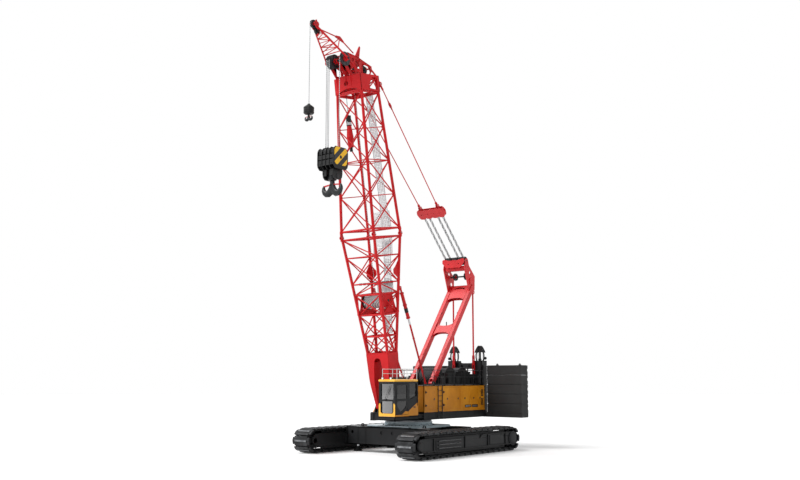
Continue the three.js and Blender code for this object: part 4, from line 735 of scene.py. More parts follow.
class CRANE_OT_crawlers(bpy.types.Operator):
    """Shoe chains, side frames, rollers, sprockets and idlers"""

    bl_idname = "crane.crawlers"
    bl_label = "Crawlers"

    def execute(self, context):
        sizes = context.scene.crane_crawler
        for name, side in SIDES:
            self.chain(name, side, sizes)
            self.side_frame(name, side)
            self.wheels(name, side)
        return {"FINISHED"}

    def chain(self, name, side, sizes):
        """Cast shoes with a rib, a stepped end and two drive lugs, set round the loop."""
        low, high = LOW[f"track_{name}"], HIGH[f"track_{name}"]
        middle = (low.y + high.y) / 2
        outer = (high.z - low.z) / 2
        reach = (high.y - low.y) / 2 - outer
        pitch_radius = outer - 0.11
        length = 4 * reach + 2 * math.pi * pitch_radius
        pitch = length / sizes.shoes
        x0, x1 = low.x, high.x
        work = Work("cast_manganese_steel")
        half = pitch * 0.47
        base, rib = 0.11 - sizes.grouser - 0.002, 0.11 - 0.002
        for k in range(sizes.shoes):
            ahead, behind = (
                Vector((0, *loop_place(n * pitch, pitch_radius, reach, middle, outer)[:2]))
                for n in (k, k + 1)
            )
            centre = (ahead + behind) / 2
            along = (ahead - behind).normalized()
            out = Vector((0, along.z, -along.y))
            centre += out * (
                pitch_radius - math.sqrt(pitch_radius**2 - pitch**2 / 4)
            ) * 0.4 * (abs(along.y) < 0.99)

            def place(u, v, w):
                return Vector((w, 0, 0)) + centre + along * u + out * v

            tongue = half + pitch * 0.05
            work.use("cast_manganese_steel")
            shoe = [
                (-half, -0.035), (-half, base - 0.012), (-half * 0.86, base), (-half * 0.3, base),
                (-half * 0.16, rib), (half * 0.16, rib), (half * 0.3, base), (half * 0.86, base),
                (half, base - 0.012), (half, -0.035)
            ]
            work.plate(shoe, (x0 + 0.16, x1 - 0.16), place)
            # The ends step in, so that neighbouring shoes overlap there.
            for a, b in ((x0, x0 + 0.17), (x1 - 0.17, x1)):
                work.plate(
                    [
                        (-half * 0.74, -0.03), (-half * 0.74, base - 0.03), (-half * 0.2, base + 0.012),
                        (half * 0.2, base + 0.012), (half * 0.74, base - 0.03), (half * 0.74, -0.03)
                    ],
                    (a, b), place
                )
            for x in (x0 + 0.3, x1 - 0.3):
                work.plate(
                    [(-half * 0.8, -0.08), (-half * 0.8, -0.03), (tongue, -0.03), (tongue, -0.08)],
                    (x - 0.09, x + 0.09), place
                )
            for x in (-0.17, 0.17):
                mid = (x0 + x1) / 2 + x
                work.plate(
                    [
                        (-half * 0.34, -0.085), (-half * 0.62, -0.03), (half * 0.62, -0.03),
                        (half * 0.34, -0.085)
                    ],
                    (mid - 0.05, mid + 0.05), place
                )
            work.use("polished_tread_steel")
            work.plate(
                [
                    (-half * 0.16, rib - 0.001), (-half * 0.16, rib + 0.002),
                    (half * 0.16, rib + 0.002), (half * 0.16, rib - 0.001)
                ],
                (x0 + 0.2, x1 - 0.2), place
            )
            # Link pins between the shoes.
            y, z = loop_place(k * pitch, pitch_radius - 0.055, reach, middle, outer)[:2]
            work.use("forged_hook_steel")
            for x in (x0 + 0.3, x1 - 0.3):
                work.tube((x - 0.13, y, z), (x + 0.13, y, z), 0.03, 8)
        work.done(f"crawler_chain_{name}", "undercarriage", [f"track_{name}"])

    def side_frame(self, name, side):
        """Welded box frame: panels, a half-round cut-out, steps, guards and the rollers' brackets."""
        low, high = LOW[f"track_frame_{name}"], HIGH[f"track_frame_{name}"]
        middle = (low.y + high.y) / 2
        work = Work("chassis_enamel")
        inner, outer = span(3.26, 4.34, side)[::side]
        y0, y1, z0, z1 = low.y, high.y, low.z, high.z
        fork = 1.7
        # The box between the wheels, with its slanting ends.
        body = [
            (y0 + fork, z0 + 0.14), (y0 + fork + 0.2, z0), (y1 - fork - 0.2, z0),
            (y1 - fork, z0 + 0.14), (y1 - fork, z1 - 0.1), (y1 - fork - 0.25, z1),
            (y0 + fork + 0.25, z1), (y0 + fork, z1 - 0.1)
        ]
        work.plate(body, (min(inner, outer) + 0.04, max(inner, outer) - 0.07), side_view)
        # The outer web: a thick plate with a half-round cut-out in its top edge.
        cut = arc(AXIS_Y + 1.05, z1, 0.2, 180, 360, 12)
        web = [
            (y0 + 0.05, z0 + 0.3), (y0 + 0.4, z0 + 0.08), (y1 - 0.4, z0 + 0.08), (y1 - 0.05, z0 + 0.3),
            (y1 - 0.05, z1 - 0.24), (y1 - 0.3, z1)
        ] + list(reversed(cut)) + [(y0 + 0.3, z1), (y0 + 0.05, z1 - 0.24)]
        for x in (span(4.27, 4.34, side), span(3.26, 3.31, side)):
            work.plate(web, x, side_view, [(middle - 4.5, 0.72, 0.16), (middle + 4.5, 0.72, 0.16)])
        # Panels, flanges and stiffeners on the outer web.
        face = span(4.34, 4.372, side)
        for a, b in ((-3.15, -0.62), (2.05, 3.5)):
            work.slab(face, (AXIS_Y + a, AXIS_Y + b), (z0 + 0.16, z1 - 0.1))
        for y in (-3.35, -0.45, 1.86, 3.72):
            work.slab(
                span(4.34, 4.4, side), (AXIS_Y + y - 0.03, AXIS_Y + y + 0.03), (z0 + 0.1, z1 - 0.03)
            )
        work.slab(span(4.3, 4.41, side), (y0 + 0.35, y1 - 0.35), (z0 + 0.075, z0 + 0.115))
        work.slab(span(4.3, 4.4, side), (y0 + 0.35, AXIS_Y + 0.8), (z1 - 0.03, z1))
        work.slab(span(4.3, 4.4, side), (AXIS_Y + 1.3, y1 - 0.35), (z1 - 0.03, z1))
        # Guards that close the frame up to the chain's upper run and down to its rollers.
        for x in (span(3.36, 3.39, side), span(4.14, 4.17, side)):
            work.slab(x, (middle - 3.9, middle + 3.9), (z1 - 0.05, 1.215))
            work.slab(x, (middle - 3.9, middle + 3.9), (0.235, z0 + 0.16))
        # Long steps with tread edges, forward on the frame.
        for z in (0.52, 0.71, 0.9):
            work.use("winch_enamel").slab(
                span(4.37, 4.44, side), (AXIS_Y - 3.0, AXIS_Y - 0.9), (z, z + 0.045)
            )
            work.use("brushed_aluminium").slab(
                span(4.425, 4.445, side), (AXIS_Y - 2.95, AXIS_Y - 0.95), (z + 0.043, z + 0.05)
            )
        work.use("chassis_enamel")
        # Drive housing behind, tensioner cover in front.
        work.turned(
            [(0, 0.01), (0, 0.42), (0.05, 0.42), (0.08, 0.36), (0.1, 0.16), (0.1, 0.01)],
            (side * 4.34 - (0 if side > 0 else 0.1), middle + 4.52, 0.72), "X", 32
        )
        work.bolts((side * 4.35, middle + 4.52, 0.72), (side, 0, 0), 0.33, 16, 0.05, 0.09)
        work.turned(
            [(0, 0.01), (0, 0.24), (0.06, 0.2), (0.08, 0.01)],
            (side * 4.34 - (0 if side > 0 else 0.08), middle - 4.52, 0.72), "X", 24
        )
        work.bolts((side * 4.35, middle - 4.52, 0.72), (side, 0, 0), 0.17, 8, 0.04, 0.05)
        # Track rollers below, carrier rollers above.
        count = 13
        for k in range(count):
            y = middle - 3.65 + 7.3 * k / (count - 1)
            work.use("chassis_enamel").slab(span(3.4, 4.2, side), (y - 0.15, y + 0.15), (0.42, 0.5))
            for x in (3.52, 4.08):
                work.use("polished_tread_steel").turned(
                    [
                        (-0.06, 0.01), (-0.06, 0.16), (-0.035, 0.18), (0.035, 0.18), (0.06, 0.16),
                        (0.06, 0.01)
                    ],
                    (side * x, y, 0.395), "X", 20
                )
            work.use("forged_hook_steel").tube(
                (side * 3.34, y, 0.395), (side * 4.26, y, 0.395), 0.06, 12
            )
        for y in (middle - 2.6, middle, middle + 2.6):
            work.use("polished_tread_steel").turned(
                [
                    (-0.28, 0.01), (-0.28, 0.075), (-0.2, 0.075), (0.2, 0.075), (0.28, 0.075),
                    (0.28, 0.01)
                ],
                (side * 3.8, y, 1.18), "X", 20
            )
            work.use("chassis_enamel").slab(
                span(3.44, 3.5, side), (y - 0.08, y + 0.08), (z1 - 0.05, 1.22)
            )
            work.slab(span(4.1, 4.16, side), (y - 0.08, y + 0.08), (z1 - 0.05, 1.22))
        work.done(
            f"side_frame_{name}", "undercarriage", [f"track_frame_{name}"],
            bevel=0.008
        )

    def wheels(self, name, side):
        """Toothed drive tumbler behind and spoked idler in front."""
        for node, teeth in ((f"drive_sprocket_{name}", 11), (f"idler_{name}", 0)):
            low, high = LOW[node], HIGH[node]
            c = (low + high) / 2
            r = (high.z - low.z) / 2
            work = Work("cast_manganese_steel")
            rim = r - (0.05 if teeth else 0.0)
            work.turned(
                [
                    (-0.24, 0.16), (-0.24, rim - 0.02), (-0.2, rim), (0.2, rim), (0.24, rim - 0.02),
                    (0.24, 0.16), (0.1, 0.15), (0.06, rim - 0.12), (-0.06, rim - 0.12), (-0.1, 0.15)
                ],
                (c.x, c.y, c.z), "X", 44, closed=True
            )
            for k in range(teeth):
                t = math.tau * k / teeth
                out, along = Vector((0, math.cos(t), math.sin(t))), Vector(
                    (0, -math.sin(t), math.cos(t))
                )

                def place(u, v, w):
                    return Vector((c.x + w, c.y, c.z)) + along * u + out * v

                for x in (-0.2, 0.12):
                    work.plate(
                        [(-0.09, rim - 0.06), (-0.05, r), (0.05, r), (0.09, rim - 0.06)], (x, x + 0.08),
                        place
                    )
            work.use("chassis_enamel").turned(
                [(-0.32, 0.01), (-0.32, 0.2), (-0.26, 0.24), (0.26, 0.24), (0.32, 0.2), (0.32, 0.01)],
                (c.x, c.y, c.z), "X", 28
            )
            work.use("forged_hook_steel").bolts(
                (c.x + side * 0.24, c.y, c.z), (side, 0, 0), 0.3, 10, 0.04, 0.03
            )
            work.done(
                node.replace("drive_sprocket", "drive_tumbler") + "_wheel", "undercarriage",
                [node]
            )


class CRANE_OT_carbody(bpy.types.Operator):
    """Carbody beams, its table and ring base, and the four jacks"""

    bl_idname = "crane.carbody"
    bl_label = "Carbody and jacks"

    def execute(self, context):
        high = HIGH["carbody"]
        work = Work("chassis_enamel")
        wall, sole = 0.43, 1.46
        for end in (-1, 1):
            far, near = AXIS_Y + end * 2.0, AXIS_Y + end * 1.1
            y = sorted((far, near))
            lugs = [(-2.65, 1.15, 0.1), (-0.4, 1.15, 0.1), (2.65, 1.15, 0.1), (0.4, 1.15, 0.1)]
            outline = [
                (-3.26, wall), (3.26, wall), (3.26, 1.05), (3.11, 1.05), (3.11, sole), (-3.11, sole),
                (-3.11, 1.05), (-3.26, 1.05)
            ]
            work.plate(outline, sorted((far, far - end * 0.05)), front_view, lugs)
            work.plate(outline, sorted((near, near + end * 0.05)), front_view)
            # Dark box behind the holes.
            work.plate(
                [
                    (-3.2, wall + 0.05), (3.2, wall + 0.05), (3.2, 1.0), (3.06, 1.0),
                    (3.06, sole - 0.05), (-3.06, sole - 0.05), (-3.06, 1.0), (-3.2, 1.0)
                ],
                sorted((far - end * 0.16, near + end * 0.06)), front_view
            )
            work.slab((-3.11, 3.11), y, (sole - 0.05, sole))
            work.slab((-3.26, 3.26), y, (wall, wall + 0.05))
            for x in (-3.02, -2.2, -1.6, 1.6, 2.2, 3.02):
                work.slab(
                    (x - 0.02, x + 0.02), sorted((far, far - end * 0.2)), (wall + 0.05, sole - 0.05)
                )
            # Beam-end flanges, and the pins that hold the crawlers.
            for side in (1, -1):
                work.slab(span(2.99, 3.05, side), (y[0], y[1]), (wall + 0.02, sole - 0.02))
                work.use("ground_chrome").tube(
                    (side * 3.16, far - end * 0.25, 1.0), (side * 3.16, far - end * 0.25, 1.12), 0.09,
                    16
                )
                work.use("chassis_enamel")
                # The jack's sleeve below the beam.
                c = (side * 2.6, AXIS_Y + end * 1.55)
                work.turned(
                    [
                        (wall, 0.091), (wall, 0.17), (wall + 0.08, 0.19), (wall + 0.2, 0.19),
                        (wall + 0.2, 0.091)
                    ],
                    (*c, 0), "Z", 24, closed=True
                )
                work.bolts((*c, wall + 0.01), (0, 0, 1), 0.15, 8, 0.03, -0.02)
        # The centre box and the table that the ring stands on.
        work.slab((-1.6, 1.6), (AXIS_Y - 1.95, AXIS_Y + 1.95), (0.47, sole))
        for side in (1, -1):
            work.plate(
                [(AXIS_Y - 1.1, 0.5), (AXIS_Y + 1.1, 0.5), (AXIS_Y + 0.7, sole), (AXIS_Y - 0.7, sole)],
                span(1.6, 1.66, side), side_view, [(AXIS_Y, 0.95, 0.28)]
            )
        table = [
            (-1.95, -1.5), (-1.5, -1.95), (1.5, -1.95), (1.95, -1.5), (1.95, 1.5), (1.5, 1.95),
            (-1.5, 1.95), (-1.95, 1.5)
        ]
        # The table's primer is painted pale for sky light.
        work.use("zinc_primer_painted_pale").plate(
            [(x, AXIS_Y + y) for x, y in table], (sole - 0.02, sole + 0.1), top_view
        )
        work.turned(
            [
                (sole + 0.05, 0.9), (sole + 0.05, 1.42), (1.6, 1.42), (1.62, 1.36), (1.7, 1.36),
                (1.7, 1.42), (high.z, 1.42), (high.z, 0.9)
            ],
            (0, AXIS_Y, 0), "Z", 64, closed=True
        )
        for k in range(20):
            t = math.tau * k / 20
            out = Vector((math.cos(t), math.sin(t), 0))
            a = Vector((0, AXIS_Y, 0)) + out * 1.36
            work.bar(
                a + Vector((0, 0, sole + 0.08)), a + Vector((0, 0, 1.7)), 0.04, 0.1,
                across=(-out.y, out.x, 0)
            )
        work.use("forged_hook_steel").bolts((0, AXIS_Y, sole + 0.1), (0, 0, 1), 1.5, 40, 0.05, 0.03)
        # Hydraulic hoses along the front beam.
        work.use("extruded_rubber")
        for x0, x1, z in ((-1.5, 1.4, 0.62), (-1.2, 1.7, 0.68)):
            work.path(
                [
                    (x0, AXIS_Y - 1.94, 1.5), (x0, AXIS_Y - 2.0, 1.5), (x0 + 0.1, AXIS_Y - 1.97, 1.49),
                    (x1, AXIS_Y - 1.95, 1.49)
                ],
                0.02, 8
            )
        # Steps on top of the beam ends, and the hitching eyes.
        for side in (1, -1):
            for y in (AXIS_Y - 1.85, AXIS_Y + 1.7):
                work.use("brushed_aluminium").slab(
                    span(2.1, 2.9, side), (y, y + 0.12), (sole, sole + 0.02)
                )
            work.use("chassis_enamel").plate(
                arc(0, 0.06, 0.12, 0, 180, 8) + [(-0.12, 0), (0.12, 0)], (AXIS_Y - 1.5, AXIS_Y - 1.46),
                lambda u, v, w, s=side: (s * 2.3 + u, w, sole + v), [(0, 0.08, 0.05)]
            )
        work.done("carbody_weldment", "undercarriage", ["carbody"], bevel=0.01)

        for end, place in ((-1, "front"), (1, "rear")):
            for name, side in SIDES:
                node = f"jack_{place}_{name}"
                x, y = side * 2.6, AXIS_Y + end * 1.55
                top = HIGH[node].z
                work = Work("ground_chrome")
                work.turned(
                    [(0.27, 0.01), (0.27, 0.086), (top, 0.086), (top, 0.01)], (x, y, 0), "Z", 28
                )
                work.use("chassis_enamel").turned(
                    [
                        (0.012, 0.01), (0.012, 0.27), (0.05, 0.27), (0.07, 0.24), (0.1, 0.21),
                        (0.25, 0.125), (0.3, 0.125), (0.3, 0.01)
                    ],
                    (x, y, 0), "Z", 32
                )
                for k in range(6):
                    t = math.tau * k / 6
                    out = Vector((math.cos(t), math.sin(t), 0))
                    work.bar(
                        Vector((x, y, 0.062)) + out * 0.12, Vector((x, y, 0.062)) + out * 0.25, 0.02,
                        0.05, across=(-out.y, out.x, 0)
                    )
                work.done(f"jack_{place}_{name}_ram", f"{node}_body", [node])
        return {"FINISHED"}


# ---------------------------------------------------------------- slewing deck and housings


class CRANE_OT_deck(bpy.types.Operator):
    """Slewing ring and the deck with its boom lugs and A-frame seats"""

    bl_idname = "crane.deck"
    bl_label = "Slewing deck"

    def execute(self, context):
        low, high = LOW["slew_ring"], HIGH["slew_ring"]
        work = Work("polished_tread_steel")
        r = (high.x - low.x) / 2
        teeth = 72
        inner = [
            (0.95 * math.cos(math.tau * k / 48), AXIS_Y + 0.95 * math.sin(math.tau * k / 48))
            for k in range(48)
        ]
        gear = []
        for k in range(teeth):
            for share, radius in (
                (0.0, r - 0.045), (0.22, r - 0.045), (0.36, r), (0.64, r), (0.78, r - 0.045)
            ):
                t = math.tau * (k + share) / teeth
                gear.append((radius * math.cos(t), AXIS_Y + radius * math.sin(t)))
        work.plate(gear, (low.z + 0.004, high.z - 0.02), top_view, [inner])
        work.use("forged_hook_steel").bolts(
            (0, AXIS_Y, high.z - 0.021), (0, 0, 1), r - 0.12, 48, 0.05, 0.018
        )
        work.done("slewing_ring_gear", "superstructure", ["slew_ring"])

        low, high = LOW["slewing_deck"], HIGH["slewing_deck"]
        bottom, top, rear = low.z, 2.31, high.y
        front, house = low.y, AXIS_Y - 0.584
        work = Work("chassis_enamel")
        # Two long box girders, cross members and a top plate.
        for name, side in SIDES:
            work.slab(span(0.62, 0.86, side), (front, rear), (bottom, top - 0.03))
            work.slab(span(0.55, 0.9, side), (front, rear), (bottom, bottom + 0.04))
            sill = [(house, bottom + 0.05), (rear, bottom + 0.05), (rear, top), (house, top)]
            work.plate(sill, span(1.5, 1.58, side), side_view)
            work.slab(span(0.9, 1.56, side), (house, house + 0.06), (bottom + 0.06, top))
            work.slab(span(0.9, 1.56, side), (rear - 0.06, rear), (bottom + 0.04, top))
            # Ribs, covers and a fuel tank between girder and sill.
            for k in range(9):
                y = house + 0.5 + k * 0.68
                work.slab(span(1.56, 1.585, side), (y - 0.03, y + 0.03), (bottom + 0.06, top - 0.02))
            work.slab(span(1.0, 1.5, side), (house + 0.2, house + 1.7), (bottom + 0.02, top - 0.05))
            work.slab(span(1.0, 1.5, side), (house + 3.6, house + 5.2), (bottom + 0.03, top - 0.05))
            work.slab(span(1.54, 1.6, side), (house, rear), (bottom + 0.02, bottom + 0.07))
            work.slab(span(1.54, 1.6, side), (house, rear), (top - 0.05, top))
        work.slab((-0.86, 0.86), (front, rear), (top - 0.03, top))
        work.slab((-1.56, 1.56), (house, rear), (top - 0.03, top))
        for y in (
            front + 0.05, front + 0.9, house, house + 1.4, house + 2.8, house + 4.2, house + 5.4,
            rear - 0.1
        ):
            work.slab((-0.84, 0.84), (y, y + 0.05), (bottom + 0.02, top - 0.02))
        work.turned(
            [
                (bottom, 1.1), (bottom, 1.4), (bottom + 0.05, 1.4), (bottom + 0.07, 1.36),
                (bottom + 0.16, 1.36), (bottom + 0.16, 1.1)
            ],
            (0, AXIS_Y, 0), "Z", 64, closed=True
        )
        work.use("forged_hook_steel").bolts((0, AXIS_Y, bottom + 0.05), (0, 0, 1), 1.38, 48, 0.04, 0.02)
        work.use("chassis_enamel")
        # Slewing motors inside the nose, over the ring.
        for x in (-0.42, 0.42):
            work.use("winch_enamel").turned(
                [
                    (top, 0.02), (top, 0.2), (top + 0.1, 0.2), (top + 0.12, 0.15), (top + 0.42, 0.15),
                    (top + 0.46, 0.1), (top + 0.56, 0.1), (top + 0.56, 0.02)
                ],
                (x, AXIS_Y - 1.12, 0), "Z", 24
            )
        # Boom lugs with the foot pins.
        for name, side in SIDES:
            for x in (span(0.4, 0.459, side), span(0.661, 0.72, side)):
                outline = [(-0.33, top - FOOT.z)] + [(0.42, top - FOOT.z)] + arc(
                    0, 0, 0.19, 10, 170, 12
                )
                work.use("chassis_enamel").plate(
                    [(FOOT.y + u, FOOT.z + v) for u, v in outline], x, side_view,
                    [(FOOT.y, FOOT.z, 0.081)]
                )
            work.use("ground_chrome").tube(
                (side * 0.36, FOOT.y, FOOT.z), (side * 0.76, FOOT.y, FOOT.z), 0.08, 20
            )
            work.use("forged_hook_steel").tube(
                (side * 0.72, FOOT.y, FOOT.z), (side * 0.75, FOOT.y, FOOT.z), 0.12, 20
            )
            work.slab(
                span(0.745, 0.765, side), (FOOT.y - 0.03, FOOT.y + 0.03), (FOOT.z - 0.1, FOOT.z + 0.1)
            )
            # Pedestal, cheeks and seat of the A-frame's foot.
            foot_y, foot_z = AXIS_Y + 1.25, 3.95
            work.use("chassis_enamel").slab(
                span(0.67, 0.87, side), (foot_y - 0.65, foot_y + 0.26), (top - 0.02, foot_z - 0.32)
            )
            for y in (foot_y - 0.65, foot_y + 0.2):
                work.slab(span(0.64, 0.9, side), (y, y + 0.06), (top - 0.01, foot_z - 0.36))
            for z in (2.8, 3.3):
                work.slab(span(0.65, 0.89, side), (foot_y - 0.63, foot_y + 0.24), (z, z + 0.04))
            cheek = [(foot_y - 0.3, foot_z - 0.42), (foot_y + 0.3, foot_z - 0.42)] + [
                (foot_y + a, foot_z + b) for a, b in arc(0, 0, 0.15, 0, 180, 12)
            ]
            for x in (span(0.5996, 0.6447, side), span(0.8953, 0.94, side)):
                work.plate(cheek, x, side_view, [(foot_y, foot_z, 0.061)])
            work.slab(
                span(0.6, 0.94, side), (foot_y - 0.28, foot_y + 0.28), (foot_z - 0.4, foot_z - 0.3)
            )
            work.use("ground_chrome").tube(
                (side * 0.585, foot_y, foot_z), (side * 0.955, foot_y, foot_z), 0.06, 20
            )
        # Small lamp and housing at the front right of the deck.
        work.use("orange_enamel").plate(
            [(AXIS_Y - 1.95, 2.32), (AXIS_Y - 1.42, 2.32), (AXIS_Y - 1.42, 2.6), (AXIS_Y - 1.75, 2.6)],
            (-1.12, -0.88), side_view
        )
        work.use("chassis_enamel").slab((-1.14, -0.86), (AXIS_Y - 2.1, AXIS_Y - 0.6), (2.2, 2.32))
        work.slab((-1.0, -0.86), (AXIS_Y - 2.05, AXIS_Y - 0.7), (2.0, 2.2))
        work.use("black_abs").tube(
            (-1.0, AXIS_Y - 2.2, 2.16), (-1.0, AXIS_Y - 2.06, 2.2), 0.09, 20, end=0.06
        )
        work.use("polycarbonate_lens").tube(
            (-1.0, AXIS_Y - 2.21, 2.158), (-1.0, AXIS_Y - 2.2, 2.16), 0.08, 20
        )
        work.done(
            "slewing_deck_weldment", "superstructure", ["slewing_deck"], bevel=0.008
        )
        return {"FINISHED"}


class CRANE_OT_housings(bpy.types.Operator):
    """Machinery housings with doors, latches, vents, rails and the ladder"""

    bl_idname = "crane.housings"
    bl_label = "Housings"

    def execute(self, context):
        latch = context.scene.crane_house.latch
        # A door runs from its hinge axis, which lies one barrel radius behind its low edge, to its free edge.
        doors = {
            place: (LOW[f"door_left_{place}"].y + 0.022, HIGH[f"door_left_{place}"].y)
            for place in ("front", "rear")
        }
        for name, side in SIDES:
            low, high = LOW[f"housing_{name}"], HIGH[f"housing_{name}"]
            y0, y1, z0, z1 = low.y, high.y, low.z, high.z
            outer, wall = 1.6, 0.04
            work = Work("orange_enamel")
            openings = []
            for place in doors:
                a, b = doors[place]
                openings.append([(a, 2.44), (b + 0.008, 2.44), (b + 0.008, 3.71), (a, 3.71)])
            work.plate(
                [
                    (y0, z0), (y1, z0), (y1, z1 - 0.03), (y1 - 0.03, z1), (y0 + 0.03, z1),
                    (y0, z1 - 0.03)
                ],
                span(outer - wall, outer, side), side_view, openings
            )
            work.slab(span(0.96, 1.0, side), (y0, y1), (z0, z1))
            work.slab(span(0.96, outer, side), (y0, y0 + wall), (z0, z1))
            work.slab(span(0.96, outer, side), (y1 - wall, y1), (z0, z1))
            work.slab(span(0.96, outer, side), (y0, y1), (z0, z0 + wall))
            work.slab(span(0.96, outer, side), (y0, y1), (z1 - wall, z1))
            # Swaged panel joints, a lower rail and an upper strip.
            for y in (AXIS_Y + 1.24, AXIS_Y + 3.08, AXIS_Y + 4.02, AXIS_Y + 4.96):
                work.slab(
                    span(outer, outer + 0.012, side), (y - 0.02, y + 0.02), (z0 + 0.06, z1 - 0.06)
                )
            work.slab(span(outer, outer + 0.015, side), (y0, y1), (z0, z0 + 0.05))
            work.slab(span(outer, outer + 0.012, side), (y0, y1), (z1 - 0.06, z1 - 0.035))
            # Vents: louvred panels at the rear end, one over the other; their black backing and every other
            # black blade are painted shade for the dark slots between the orange blades.
            for z in (2.62, 3.16):
                work.use("winch_enamel").slab(
                    span(outer, outer + 0.01, side), (y1 - 0.42, y1 - 0.2), (z, z + 0.4)
                )
                for k in range(9):
                    h = z + 0.03 + k * 0.04
                    work.use("orange_enamel" if k % 2 else "winch_enamel").plate(
                        [(0.01, h), (0.03, h + 0.005), (0.012, h + 0.03)], (y1 - 0.41, y1 - 0.21),
                        lambda u, v, w, s=side: (s * (outer + u), w, v)
                    )
            # Blank rating plates low on the wall.
            for y in (AXIS_Y + 3.55, AXIS_Y + 4.3):
                work.use("winch_enamel").slab(
                    span(outer, outer + 0.008, side), (y, y + 0.66), (2.5, 2.66)
                )
                work.use("brushed_aluminium").slab(
                    span(outer + 0.008, outer + 0.012, side), (y + 0.06, y + 0.6), (2.54, 2.62)
                )
            # Latches on the fixed panels.
            for y in (AXIS_Y + 3.55, AXIS_Y + 4.5, AXIS_Y + 1.02 if side < 0 else AXIS_Y + 5.2):
                self.latch(work, side, y, 3.05, latch)
            # Roof seams.
            work.use("orange_enamel")
            for y in (AXIS_Y + 0.7, AXIS_Y + 1.9, AXIS_Y + 3.1, AXIS_Y + 4.3):
                work.slab(span(0.97, 1.59, side), (y, y + 0.03), (z1 - 0.002, z1 - 0.0005))
            # Black trim under the wall, seen over the deck's sill.
            work.use("chassis_enamel").slab(
                span(outer - 0.02, outer + 0.01, side), (y0, y1), (z0 - 0.0, z0 + 0.012)
            )
            work.done(
                f"housing_{name}_panels", "superstructure", [f"housing_{name}"],
                bevel=0.006
            )

            # Handrail along the roof: posts and two rails, black.
            work = Work("winch_enamel")
            rail_y0, rail_y1 = y0 + 0.05, AXIS_Y + 5.6
            posts = [rail_y0 + k * (rail_y1 - rail_y0) / 6 for k in range(7)]
            for y in posts:
                work.tube((side * 1.54, y, z1 + 0.001), (side * 1.54, y, z1 + 0.9), 0.02, 10)
                work.slab(span(1.5, 1.58, side), (y - 0.05, y + 0.05), (z1 + 0.0005, z1 + 0.014))
            for z in (0.5, 0.9):
                work.tube((side * 1.54, posts[0], z1 + z), (side * 1.54, posts[-1], z1 + z), 0.018, 10)
            work.slab(span(1.535, 1.545, side), (posts[0], posts[-1]), (z1 + 0.02, z1 + 0.1))
            work.use("galvanised_mesh").slab(
                span(1.0, 1.5, side), (y0 + 0.1, y1 - 0.4), (z1 + 0.0005, z1 + 0.02)
            )
            # Exhaust, air cleaner and boxes stand on the roof.
            work.use("winch_enamel")
            stands = ((AXIS_Y + 5.55, 0.14, 0.62), (AXIS_Y + 1.75, 0.16, 0.5))
            # Oil tank, air cleaner, coolers and a toolbox in a row, each with ribs and a lid.
            for a, b, h in (
                (2.05, 2.75, 0.72), (2.85, 3.3, 0.5), (3.4, 4.35, 0.8), (4.45, 4.75, 0.42),
                (4.85, 5.3, 0.66)
            ):
                work.slab(span(1.04, 1.46, side), (AXIS_Y + a, AXIS_Y + b), (z1 + 0.02, z1 + h))
                work.slab(
                    span(1.02, 1.48, side), (AXIS_Y + a - 0.02, AXIS_Y + b + 0.02),
                    (z1 + h - 0.03, z1 + h + 0.02)
                )
                ribs = int((b - a) / 0.15)
                for k in range(ribs):
                    y = AXIS_Y + a + (b - a) * (k + 0.5) / ribs
                    work.slab(
                        span(1.455, 1.475, side), (y - 0.02, y + 0.02), (z1 + 0.06, z1 + h - 0.06)
                    )
            for y, r, h in stands:
                work.turned(
                    [
                        (z1 + 0.02, 0.02), (z1 + 0.02, r), (z1 + h - 0.05, r), (z1 + h, r * 0.7),
                        (z1 + h + 0.08, r * 0.7), (z1 + h + 0.08, 0.02)
                    ],
                    (side * 1.25, y, 0), "Z", 24
                )
            work.done(f"roof_rail_{name}", "superstructure")

            for place, (a, b) in doors.items():
                self.door(name, side, place, a, b, latch)
        self.ladder()
        self.engine()
        return {"FINISHED"}

    def latch(self, work, side, y, z, size):
        """A recessed paddle latch with its keyhole."""
        x = 1.6
        work.use("black_abs").plate(
            [
                (y - size / 2, z - size * 0.5), (y + size / 2, z - size * 0.5),
                (y + size / 2, z + size * 0.35), (y + size * 0.3, z + size * 0.6),
                (y - size * 0.3, z + size * 0.6), (y - size / 2, z + size * 0.35)
            ],
            span(x + 0.0005, x + 0.014, side), side_view
        )
        work.use("forged_hook_steel").slab(
            span(x + 0.014, x + 0.026, side), (y - size * 0.3, y + size * 0.3),
            (z - size * 0.1, z + size * 0.3)
        )
        work.use("brushed_aluminium").tube(
            (side * (x + 0.014), y, z - size * 0.3), (side * (x + 0.022), y, z - size * 0.3),
            size * 0.12, 12
        )

    def door(self, name, side, place, a, b, latch):
        """A pressed door leaf with a swage, hinge barrels and two latches."""
        node = f"door_{name}_{place}"
        low, high = LOW[node], HIGH[node]
        work = Work("orange_enamel")
        y0, y1, z0, z1 = a + 0.008, high.y, low.z, high.z
        work.plate([(y0, z0), (y1, z0), (y1, z1), (y0, z1)], span(1.57, 1.598, side), side_view)
        frame_in = [
            (y0 + 0.07, z0 + 0.07), (y1 - 0.07, z0 + 0.07), (y1 - 0.07, z1 - 0.07),
            (y0 + 0.07, z1 - 0.07)
        ]
        work.plate(
            [(y0, z0), (y1, z0), (y1, z1), (y0, z1)], span(1.56, 1.572, side), side_view, [frame_in]
        )
